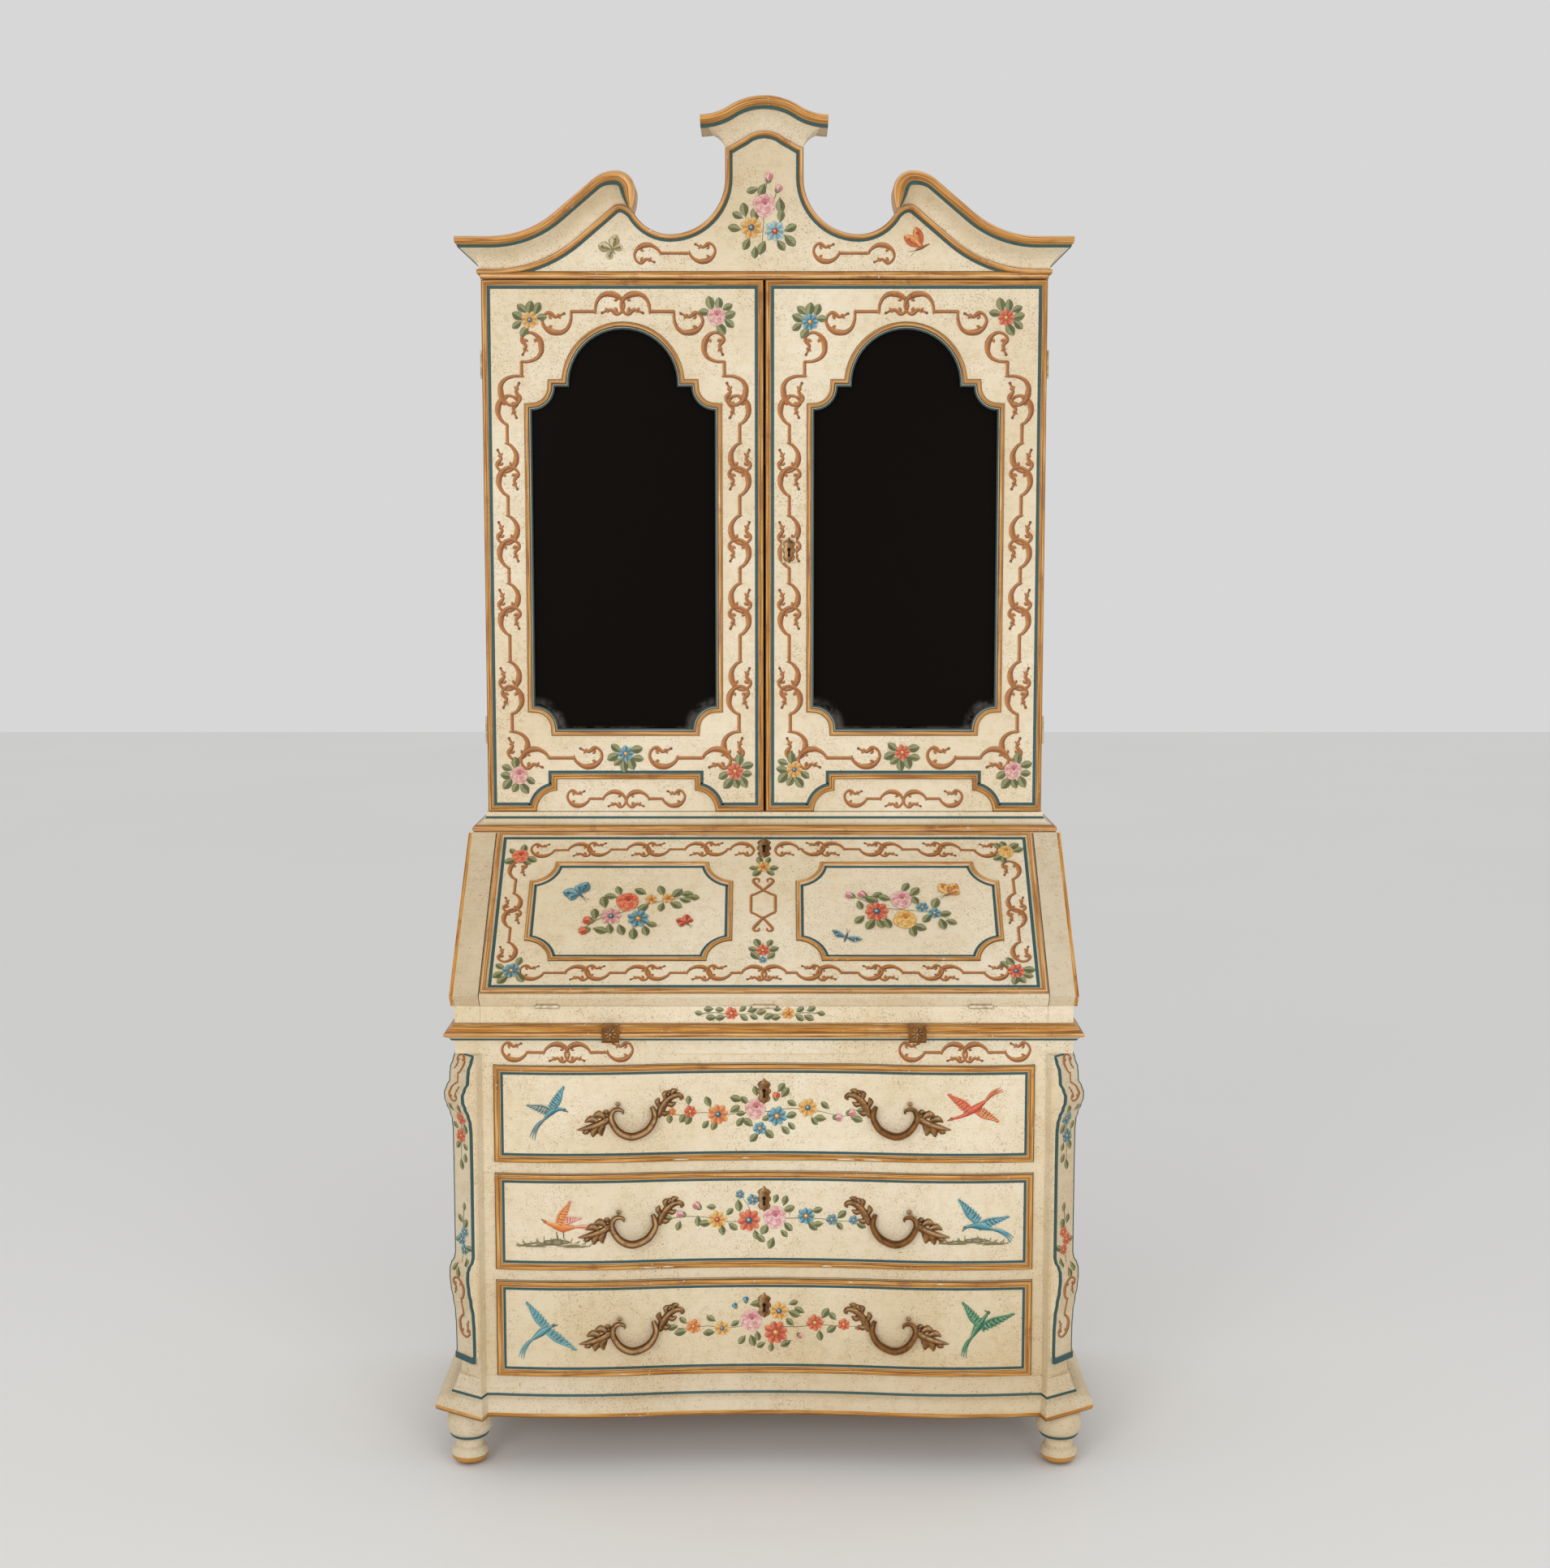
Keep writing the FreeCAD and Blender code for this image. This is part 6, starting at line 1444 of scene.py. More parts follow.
def key_plate(brush, x, z, tone, width=PLATE_WIDTH, height=PLATE_HEIGHT):
    """A pierced and scrolled plate with its keyhole."""
    w, h = width / PLATE_WIDTH, height / PLATE_HEIGHT
    line = [(x, z + rise * h) for rise, wide in PLATE]
    # The plate and its scrolls take the brass tones across them: painted shade and painted highlight; its
    # boss is lighter at the middle, a painted highlight.
    brush.stroke(line, [wide * w for rise, wide in PLATE], tone, 2, 1.2)
    for side in (-1, 1):
        for points, widths in PLATE_SCROLLS:
            scroll = [(x + u * w * side, z + v * h) for u, v in points]
            brush.stroke(scroll, [half * w for half in widths], tone, 3, 2.2)
    brush.spot(x, z + 14 * h, 2.6 * w, tone[2], tone[1], 1.0, 2.6)
    brush.lift += KEYHOLE_LIFT
    brush.spot(x, z + 1.5 * h, 3.1 * w, KEYHOLE_SHADE)
    slit = [(x, z + 1 * h), (x, z - 5 * h), (x, z - 10.5 * h)]
    brush.stroke(slit, (1.5 * w, 1.5 * w, 2.2 * w), (KEYHOLE_SHADE,) * 3, 2)
    brush.lift -= KEYHOLE_LIFT


# The painting of the drawers about their middles, and the chips in their borders (start, end, height).
# A flower has its kind, place, size and tones, and then the tones of an open one's heart or a turn.
DRAWERS = {
    "drawer_1": {
        "chips": [(-150, -124, 3.0), (-36, -22, 4.4), (120, 150, 2.8), (164, 194, 3.2)],
        "flowers": [
            ("open", -151, 1.7, 7.5, ORANGE, YELLOW), ("open", -121.4, 1.7, 11, RED, YELLOW),
            ("open", -75.6, -3.8, 18, ORANGE, BLUE), ("rose", -13.7, 5.4, 18, PINK, 10),
            ("open", -7, -27.6, 11.5, BLUE, YELLOW), ("bud", 18.7, 20, 14, RED, 80),
            ("open", 21.3, -6.9, 17, BLUE, YELLOW), ("open", 72, 7.6, 16.5, YELLOW, BLUE),
            ("bud", 114, -8, 15, PINK, 0), ("bud", 136, -1, 15, PINK, 10),
        ],
        "leaves": [
            (-124, 20.2), (-133, -8.5), (-124, -10.6), (-155, -9.1), (-92, 17.2), (-96, -20.2),
            (-81.6, -21.7), (-45.4, 22.4), (-31.8, 19.3), (-48.4, 4.8), (-37.8, -2.3), (-39.3, -16.2),
            (-25.8, -17.7), (-13.7, 34.8), (-16.1, -42.4), (4.4, -10), (28.2, 41), (34.3, 32.6),
            (46.3, 14.7), (43.9, -5.4), (44.8, -23), (34.9, -30.1), (7.7, -36.3), (100.6, 11.6),
            (93.1, -10), (82.5, -14.6), (160, 4), (152, -10),
        ],
        "stems": [
            [(-170, 2), (-140, -4), (-100, 0), (-60, -4), (-15, 2)],
            [(0, 0), (45, 6), (90, 2), (130, -6), (165, 2)],
        ],
    },
    "drawer_2": {
        "chips": [(-206, -176, 2.8), (-168, -150, 3.4), (96, 112, 3.0)],
        "flowers": [
            ("bud", -130, 9, 15, PINK, 170), ("bud", -105, 19, 15, PINK, 140),
            ("open", -77.5, -0.1, 16, YELLOW, RED), ("open", -39.6, 42.6, 8, BLUE, YELLOW),
            ("open", -19.2, 33.3, 10, BLUE, YELLOW), ("open", -25, -1.7, 20, RED, BLUE),
            ("rose", 17.8, 3.6, 20, PINK, 0), ("open", 69.4, 6.1, 15, BLUE, YELLOW),
            ("open", 111.9, 0.5, 10, BLUE, YELLOW), ("open", 147.7, 0.5, 8.5, BLUE, YELLOW),
        ],
        "leaves": [
            (-87.6, 21.7), (-109.4, -1.7), (-96.7, -5.8), (-141.3, -8.9), (-70, -16.7), (-57.2, 13),
            (-51.7, -12), (-42, 23.9), (-13.8, -26), (-0.1, -16.7), (19.3, 34.8), (34.5, 31.7),
            (40.5, 17.7), (2.6, -16.7), (39.6, -12), (33, -23.6), (87.6, 16.1), (80, -10.4), (89.7, -7.3),
            (128, 9.2), (124.6, -9.5), (-6, -32), (12, -40), (160, -8), (-160, 4),
        ],
        "stems": [
            [(-165, 2), (-130, 6), (-95, 4), (-60, -4), (-20, -2)],
            [(10, 0), (45, 2), (90, 2), (130, -2), (165, 2)],
            [(-20, 4), (-26, 22), (-38, 40)],
        ],
    },
    "drawer_3": {
        "chips": [(140, 147, 158.0), (286, 296, 158.6), (-240, -228, 3.4)],
        "flowers": [
            ("open", -117.5, -0.3, 13, ORANGE, YELLOW), ("open", -70.2, -4.4, 13, YELLOW, BLUE),
            ("rose", -21.4, 9.2, 19, PINK, 30), ("bud", -46, 30, 10, BLUE, 120),
            ("bud", -30, 39, 11, BLUE, 95), ("open", 24.9, 25, 16, YELLOW, BLUE),
            ("open", 19.4, -11.9, 20.5, RED, YELLOW), ("open", 84.4, 5.4, 14.5, RED, YELLOW),
            ("open", 132.3, 3.5, 10.5, RED, YELLOW), ("bud", 152, -1.8, 8, RED, 0),
            ("bud", 55, -14, 11, PINK, -30),
        ],
        "leaves": [
            (-134.3, 10.2), (-152, -0.9), (-138.9, -9.7), (-87.9, 12.4), (-91.6, -11.3), (-48.9, 3.5),
            (-36.7, -24), (-19.9, -25.5), (-10.7, -17.6), (-13.8, 37.6), (48.4, 39.2), (59, 26.6),
            (49.3, 20.9), (43.2, 6), (36.2, -30.3), (11.7, -36.6), (92.6, -16), (101.2, 21.8), (114, 17.1),
            (112.5, -4.4), (-5, -33), (168, 4), (-166, 6),
        ],
        "stems": [
            [(-168, 2), (-130, -4), (-95, 0), (-60, -4), (-15, 4)],
            [(10, 0), (50, -2), (95, 2), (135, 0), (170, 2)],
        ],
    },
}


def drawer_birds(brush, name, z):
    """The birds at both ends of a drawer, about a height."""
    if name == "drawer_1":
        brush.bird(z, ((-360, -8), (-348, 5), (-336, 9), (-327, 7.6)), (2.5, 7.5, 6.5, 3.6), (
            ((-348, 8), (-390, 15), 17, 1), ((-343, 10), (-328, 48), 17, 1),
        ), (34, 231), TEAL, (TEAL[0], TEAL[1], GREY[2]), -30)
        brush.bird(z, ((362, 22), (346, 10), (326, -2), (307.4, -7.5)), (3, 8, 6, 3.8), (
            ((345, 6), (386, -12), 18, 1), ((340, 10), (300, 34), 18, 1),
        ), (30, 42), RED, (GREEN[0], RED[1], ORANGE[2]), 205)
    elif name == "drawer_2":
        brush.ground(-348, z - 40, 62, 15)
        brush.bird(z, ((-312, -8), (-332, -9), (-350, -4), (-361, 1)), (3, 10, 7.5, 4), (
            ((-338, -2), (-300, 8), 15, 1), ((-342, 0), (-318, 36), 17, -1),
        ), (32, -4), ORANGE, (PINK[0], ORANGE[1], PINK[2]), 140)
        for x in (-342, -331):
            leg = [(x, z - 16), (x + 1, z - 28)]
            brush.stroke(leg, (0.7, 0.6), (DARK, DARK, ORANGE[0]), 2, lanes=HAIR)
        brush.ground(345, z - 36, 58, 12)
        brush.bird(z, ((376, -12), (357, -6), (342, -6), (331, -9)), (3, 9.5, 7, 4), (
            ((352, -3), (405, 9), 17, -1), ((348, 0), (320, 40), 19, -1),
        ), (34, -22), TEAL, (TEAL[0], TEAL[1], BLUE[2]), 235)
    else:
        pale = [(TEAL[0], mixed(TEAL[1], TEAL[2], share), TEAL[2]) for share in (0.4, 0.5)]
        brush.bird(z, ((-384, -18), (-369, -6), (-357, 2), (-348.6, 6)), (3, 8.5, 6.5, 4), (
            ((-362, -6), (-310, -36), 18, 1), ((-366, 2), (-394, 47), 18, -1),
        ), (33, 232), *pale, 8)
        brush.bird(z, ((344, -14), (354, 4), (364, 18), (371.5, 28)), (3, 9, 6.5, 3.8), (
            ((358, 6), (416, 25), 18, -1), ((353, 6), (328, 47), 18, -1),
        ), (32, 242), GREEN, GREEN, 150)


class SECRETARY_OT_drawers(bpy.types.Operator):
    """Dresses the three long drawers with borders, handles, key plates, garlands and birds"""

    bl_idname = "secretary.drawers"
    bl_label = "Long Drawers"

    def execute(self, context):
        tone = brass_tones()
        for name, scheme in DRAWERS.items():
            low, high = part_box(name + "_front")
            z_low, z_high = low[2] / MM, high[2] / MM
            middle = (z_low + z_high) / 2
            half = high[0] / MM
            maker = Maker()
            path = outline([(-half, z_low), (half, z_low), (half, z_high), (-half, z_high)], reach=22)
            maker.moulding(path, DRAWER_BORDER, drawer_face, FORWARD)
            brush = Brush(maker, drawer_face)
            brush.lift = 4.05
            for start, end, edge in scheme["chips"]:
                line = [(start, edge), (start * 0.6 + end * 0.4, edge + 0.4), (end, edge - 0.2)]
                brush.stroke([(x, z_low + z) for x, z in line], (0.3, 1.0, 0.3), (CHIP, CHIP, CHIP), 4)
            maker.piece(name + "_edge", name, "gilding", name + "_border")

            maker = Maker()
            brush = Brush(maker, drawer_face)
            placed = [(f[0], f[1], f[2] + middle) + f[3:] for f in scheme["flowers"]]
            leaves = [(x, z + middle) for x, z in scheme["leaves"]]
            stems = [[(x, z + middle) for x, z in line] for line in scheme["stems"]]
            garland(brush, placed, leaves, stems, 18.5)
            drawer_birds(brush, name, middle)
            maker.piece(name + "_painting", name, "cream_paint")

            maker = Maker()
            brush = Brush(maker, drawer_face)
            brush.lift = 0.4
            for side in (-1, 1):
                handle(brush, maker, side, z_low + 76.1, tone)
            key_plate(brush, 0, z_high - 46, tone)
            maker.piece(name + "_castings", name, "brass", name + "_brass")
        return {"FINISHED"}


# The fall's border, its panels, its chains of strapwork, and the right half of the knot between the panels
FALL_HALF, FALL_ENDS, FALL_TOP = 463, (8, 354), 349
PANEL_SIDES, PANEL_LEVELS, PANEL_NOTCH = (53, 399), (74, 286), 42
FALL_CHAINS = (
    ((398, 311), (301, 314), (200, 314), (100, 315), (22, 315)),
    ((398, 50), (290, 50), (191, 50), (90, 50), (0, 50)),
    ((422, 284), (424, 180)),
    ((424, 180), (424, 76)),
)
KNOT_MIDDLE = -2
KNOT_CURL = (2.0, 2.6, 2.8, 2.6, 2.2, 1.8, 1.2)
KNOT = (
    ([(0, 223), (7, 219.5), (14, 215), (20.5, 213)], (2.0, 2.2, 2.2, 2.2)),
    ([(20.5, 213), (20.5, 200), (20.5, 188), (20.5, 176)], (2.2, 2.4, 2.4, 2.2)),
    ([(20.5, 176), (14, 173), (7, 168), (0, 164)], (2.2, 2.2, 2.2, 2.0)),
    ([(0, 223), (-6, 230), (-13, 237), (-17, 244), (-13, 249), (-7, 247), (-8, 241)], KNOT_CURL),
    ([(0, 164), (-6, 156), (-12, 148), (-16, 141.5), (-13, 136.5), (-7, 138), (-7, 143)], KNOT_CURL),
)

# Garlands on the fall: flowers, leaves, stems and the length of a leaf
FALL_SPRAYS = (
    ([("open", -2, 274.7, 12, YELLOW, RED)],
     [(-18, 272), (15, 272), (-12, 262), (10, 262), (-8, 288), (6, 288)],
     [[(-24, 270), (-2, 274), (22, 270)]], 18),
    ([("open", -2, 96, 12, RED, YELLOW), ("open", -2, 76, 7, BLUE, YELLOW)],
     [(-18, 98), (15, 98), (-14, 84), (11, 84), (-11, 110), (9, 110)], [[(-2, 110), (-2, 70)]], 19),
    ([("rose", -419, 298, 15, RED, 0)],
     [(-432, 308), (-414, 314), (-435, 288), (-408, 286), (-400, 292)], [], 20),
    ([("open", -415, 54, 15, BLUE, YELLOW)],
     [(-434, 62), (-436, 46), (-428, 36), (-404, 72), (-400, 40)], [], 20),
    ([("rose", 415, 308, 14, YELLOW, 20)],
     [(402, 320), (412, 322), (428, 320), (436, 312), (402, 296), (410, 292)], [], 20),
    ([("open", 414, 53, 15, RED, BLUE)],
     [(396, 66), (406, 72), (434, 56), (432, 44), (412, 36), (422, 36)], [], 20),
)
LEFT_BOUQUET = ([
    ("rose", -230.5, 198, 20, RED, 0), ("open", -256.8, 167, 18, PINK, BLUE),
    ("open", -211, 162, 19, BLUE, YELLOW), ("open", -191, 203, 10.5, YELLOW, RED),
    ("open", -163, 205.5, 10.5, YELLOW, RED), ("bud", -286, 157, 18, RED, 172),
    ("bud", -292, 140, 18, RED, 200),
], [
    (-246, 222), (-209, 220), (-270, 197), (-259, 210), (-203, 186), (-173, 187), (-174, 222),
    (-148, 216), (-131, 215), (-149, 192), (-134, 202), (-284, 172), (-274, 138), (-258, 141),
    (-239, 139), (-189, 150), (-198, 137), (-218, 131), (-120, 208),
], [
    [(-310, 132), (-280, 160), (-240, 175), (-190, 195), (-120, 210)], [(-300, 160), (-270, 172)],
], 22)
RIGHT_BOUQUET = ([
    ("bud", 152, 209, 16, PINK, 160), ("bud", 172, 208, 16, PINK, 140),
    ("open", 189, 177, 21, RED, BLUE), ("rose", 231, 202, 19, PINK, 10),
    ("rose", 236, 160, 20, YELLOW, 50), ("open", 266, 186, 11, BLUE, YELLOW),
    ("open", 286, 173.5, 11, BLUE, YELLOW),
], [
    (161, 191), (160, 160), (178, 150), (194, 152), (206, 153), (190, 212), (203, 206), (180, 203),
    (239, 229), (254, 219), (255, 200), (273, 163), (288, 194), (303, 172), (298, 151), (313, 155),
    (248, 135), (259, 144),
], [[(140, 214), (170, 200), (200, 185), (240, 180), (280, 175), (318, 156)]], 22)

FALL_HINGES = (-354, 0, 354)
KNUCKLE_LEVEL = 779.5


class SECRETARY_OT_fall(bpy.types.Operator):
    """Dresses the fall with its border, panels, scrolls and bouquets"""

    bl_idname = "secretary.fall"
    bl_label = "Fall"

    def execute(self, context):
        facing = Vector((0, -math.sin(SLOPE), math.cos(SLOPE)))
        maker = Maker()
        low, high = FALL_ENDS
        path = outline([(-FALL_HALF, low), (FALL_HALF, low), (FALL_HALF, high), (-FALL_HALF, high)])
        maker.moulding(
            path, FALL_BORDER, lambda u, v, height: fall_face(u, min(v, FALL_TOP), height), facing,
        )
        (a, b), (low, high), notch = PANEL_SIDES, PANEL_LEVELS, PANEL_NOTCH
        ring = [
            (a + notch, low), (b - notch, low, -notch), (b, low + notch), (b, high - notch, -notch),
            (b - notch, high), (a + notch, high, -notch), (a, high - notch), (a, low + notch, -notch),
        ]
        for side in (1, -1):
            path = [Vector((p.x * side, p.y)) for p in outline(ring)]
            if side < 0:
                path.reverse()
            maker.moulding(path, PANEL_RING, fall_face, facing)
        maker.piece("fall_edges", "fall", "gilding", "fall_mouldings")

        maker = Maker()
        brush = Brush(maker, fall_face, facing)
        for side in (-1, 1):
            for chain in FALL_CHAINS:
                for a, b in zip(chain, chain[1:]):
                    brush.link((a[0] * side, a[1]), (b[0] * side, b[1]), (side, -side), 0.82)
            for points, widths in KNOT:
                brush.stroke([(KNOT_MIDDLE + u * side, v) for u, v in points], widths, scroll_tones())
        for spray in FALL_SPRAYS:
            garland(brush, *spray)
        garland(brush, *LEFT_BOUQUET)
        sky = (BLUE[0], mixed(BLUE[1], BLUE[2], 0.35), BLUE[2])
        brush.butterfly(-312, 214, 29, (66, 170, 98, 204), -48, sky)
        brush.butterfly(-130, 152, 19, (92, 154, 46, 196), -42, (RED[0], mixed(RED[0], RED[1], 0.7), RED[2]))
        garland(brush, *RIGHT_BOUQUET)
        brush.butterfly(312, 214, 27, (124, 60, 96, 22), 204, (ORANGE[0], YELLOW[1], YELLOW[2]))
        dusk = (BLUE[0], mixed(BLUE[1], GREY[1], 0.5), BLUE[2])
        brush.butterfly(136, 122, 27, (146, -10, 162, -26), 72, dusk, 0.17)
        maker.piece("fall_painting", "fall", "cream_paint")

        maker = Maker()
        brush = Brush(maker, fall_face, facing)
        brush.lift = 0.3
        key_plate(brush, -1, 317, brass_tones(), 26, 46)
        for place in FALL_HINGES:
            knuckle = [Vector((place + d, FRONT - 3.5, KNUCKLE_LEVEL)) for d in (-19, 0, 19)]
            maker.tube(knuckle, (3.4, 3.4, 3.4), rgb(226, 214, 186, 1.0), 2)
        maker.piece("fall_key_plate", "fall", "brass", "fall_brass")
        return {"FINISHED"}


# A loper's pull: the corners of its plate, its steps (share of its size, height) and its petals
PULL_CORNERS = ((-1, -1), (1, -1), (1, 1), (-1, 1), (-1, -1))
PULL_STEPS = ((1.0, 0.1), (1.0, 2.2), (0.94, 3.0), (0.84, 3.1), (0.80, 2.3), (0.02, 2.3))
PULL_PETALS = 8


class SECRETARY_OT_lopers(bpy.types.Operator):
    """Chases the square pulls of the lopers"""

    bl_idname = "secretary.lopers"
    bl_label = "Loper Pulls"

    def execute(self, context):
        tone = brass_tones()
        for body in ("loper_left", "loper_right"):
            low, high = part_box(body + "_pull")
            x = (low[0] + high[0]) / 2 / MM
            z = (low[2] + high[2]) / 2 / MM
            half = (high[0] - low[0]) / 2 / MM
            back = high[1] / MM
            maker = Maker()
            rows = []
            for share, height in PULL_STEPS:
                reach = half * share
                rows.append([(x + u * reach, back - height, z + v * reach) for u, v in PULL_CORNERS])
            maker.sheet(rows, [tone[1]] * len(PULL_CORNERS), FORWARD)
            brush = Brush(maker, upright(back))
            brush.lift = 2.4
            # The petals and the boss take the brass tones: painted shade and painted highlight, lighter at
            # the boss's middle.
            for k in range(PULL_PETALS):
                petal = [Vector((x, z)) + ray(360 / PULL_PETALS * k, reach) for reach in (0, 6, 10.6)]
                brush.stroke(petal, (1.2, 3.0, 0.8), tone, 3, 1.8)
            brush.spot(x, z, 4.6, tone[2], tone[1], 1.0, 5.6)
            maker.piece(body + "_rosette", body, "brass", body + "_pull")
        return {"FINISHED"}


# The frieze over the drawers: its painted reach on each side, where it flattens, and its scrolls
FRIEZE_NEAR, FRIEZE_REACH, FRIEZE_STEPS = 195, 245, 40
FRIEZE_LEVELS = range(683, 724, 2)
FLAT_FROM, FLAT_OVER = 700, 22
SCROLL_MIDDLES, SCROLL_LEVEL = (-322, 328.6), 704
SCROLL_NEAR, SCROLL_FAR = 37.8, 66

# The garland on the rail under the fall
RAIL_SPRAY = (
    [("open", -53, 768, 11, RED, YELLOW), ("open", 40, 768, 11, YELLOW, RED)],
    [
        (-106, 768), (-90, 775), (-86, 761), (-72, 774), (-71, 761), (-35, 775), (-33, 761), (-19, 774),
        (-17, 762), (-4, 770), (93, 768), (77, 775), (73, 761), (59, 774), (58, 761), (22, 775), (20, 761),
        (8, 763),
    ],
    [[(-112, 767), (-80, 769), (-50, 766), (-5, 769)], [(99, 767), (67, 769), (37, 766), (-8, 769)]], 16,
)


class SECRETARY_OT_rail_painting(bpy.types.Operator):
    """Paints the rail under the fall and the frieze over the drawers"""

    bl_idname = "secretary.rail_painting"
    bl_label = "Rail and Frieze Painting"

    def execute(self, context):
        maker = Maker()
        cream = tones()["cream"]

        def frieze_face(u, v, height):
            flattened = eased((v - FLAT_FROM) / FLAT_OVER)
            return (u, FRONT + min(swell(u), 0) * (1 - flattened) - 0.4 - height, v)

        brush = Brush(maker, frieze_face)
        for side in (-1, 1):
            shares = [k / FRIEZE_STEPS for k in range(FRIEZE_STEPS + 1)]
            across = [(FRIEZE_NEAR + FRIEZE_REACH * share) * side for share in shares]
            rows = [[frieze_face(x, z, 0) for x in across] for z in FRIEZE_LEVELS]
            maker.sheet(rows, [cream] * len(across), FORWARD)
        for middle in SCROLL_MIDDLES:
            for way in (-1, 1):
                near, far = [(middle + out * way, SCROLL_LEVEL) for out in (SCROLL_NEAR, SCROLL_FAR)]
                first, last = (near, far) if way > 0 else (far, near)
                brush.strap(first, last, (way, 0), (-way, 0), 0.84)
        brush.surface = upright(FRONT)
        garland(brush, *RAIL_SPRAY)
        maker.piece("rail_painting", "carcass", "cream_paint")
        return {"FINISHED"}


def raised(points):
    """An outline whose heights are written from the cornice's edge."""
    return [(point[0], CORNICE + point[1]) + point[2:] for point in points]


# The upper edge of the right swan neck from its outer end to its peak, and the curl beyond the peak
SWAN_EDGE = raised([(BOOK_HALF, 0), (459.0, 0, -170), (349.7, 39.8), (286.9, 92.5, 62), (247, 107)])
SWAN_CURL = raised([(247, 107, 31.5), (215.5, 75.5, 83.5), (221, 45.7)])

# The arc of the hollow under the cornice: its turn, and where it starts and how far it goes
COVE_TURN = math.radians(65)
COVE_STEPS = 12
COVE_FOOT, COVE_RISE = 47.7, 30.7
COVE_IN, COVE_REACH = 2.0, 45.7
COVE_TOP = [(14.0, 0.0, "cream"), (14.0, 42.0, "cream"), (17.0, 43.0, "shade")]
COVE_BEAD = [
    (47.8, 3.4, "deep"), (48.6, 5.4, "gold"), (50.4, 6.3, "pale"), (51.6, 6.4, "gold"), (54.4, 6.1, "gold"),
    (56.2, 4.6, "deep"), (57.0, 1.6, "brown"), (57.2, 1.2, "blue"), (61.0, 0.8, "blue"), (61.2, 0.0, "blue"),
]

# From the bead outwards, a return along the side stands out less than the front does
BEAD_OUT = 6.4
SIDE_SHARE = 30 / 49

# How much the rim broadens to its curl, and where along the curl it starts to taper
CURL_SWELL = 0.46
CURL_TAPER = 0.78

# Half the width of the cap's neck, of its crown and of the hollow under it
NECK_HALF = 66.0
CAP_HALF = 107.0
BROW_HALF = 102.7

# The hollow under the cap: its foot and rise, its height and how that grows, and how far out it goes
BROW_FOOT, BROW_RISE = 153, 29.5
BROW_TALL, BROW_GROWTH = 28, 3
BROW_REACH = 49.5
BROW_STEPS, BROW_SIDES = 10, 20

# The bead of the rim is this deep, and deeper on the cap
RIM_BEAD, CAP_BEAD = 13.6, 15.5


def cove_step(turn):
    """How far out and how far along the hollow is after a part of its turn, both from 0 to 1."""
    out = (1 - math.cos(turn)) / (1 - math.cos(COVE_TURN))
    return out, math.sin(turn) / math.sin(COVE_TURN)


def brow(share):
    """Height of the cap's arch from its middle (0) to its end (1)."""
    if share > 0.54:
        return 0.47 * ((1 - share) / 0.46) ** 1.5
    return 1 - 0.53 * (share / 0.54) ** 2


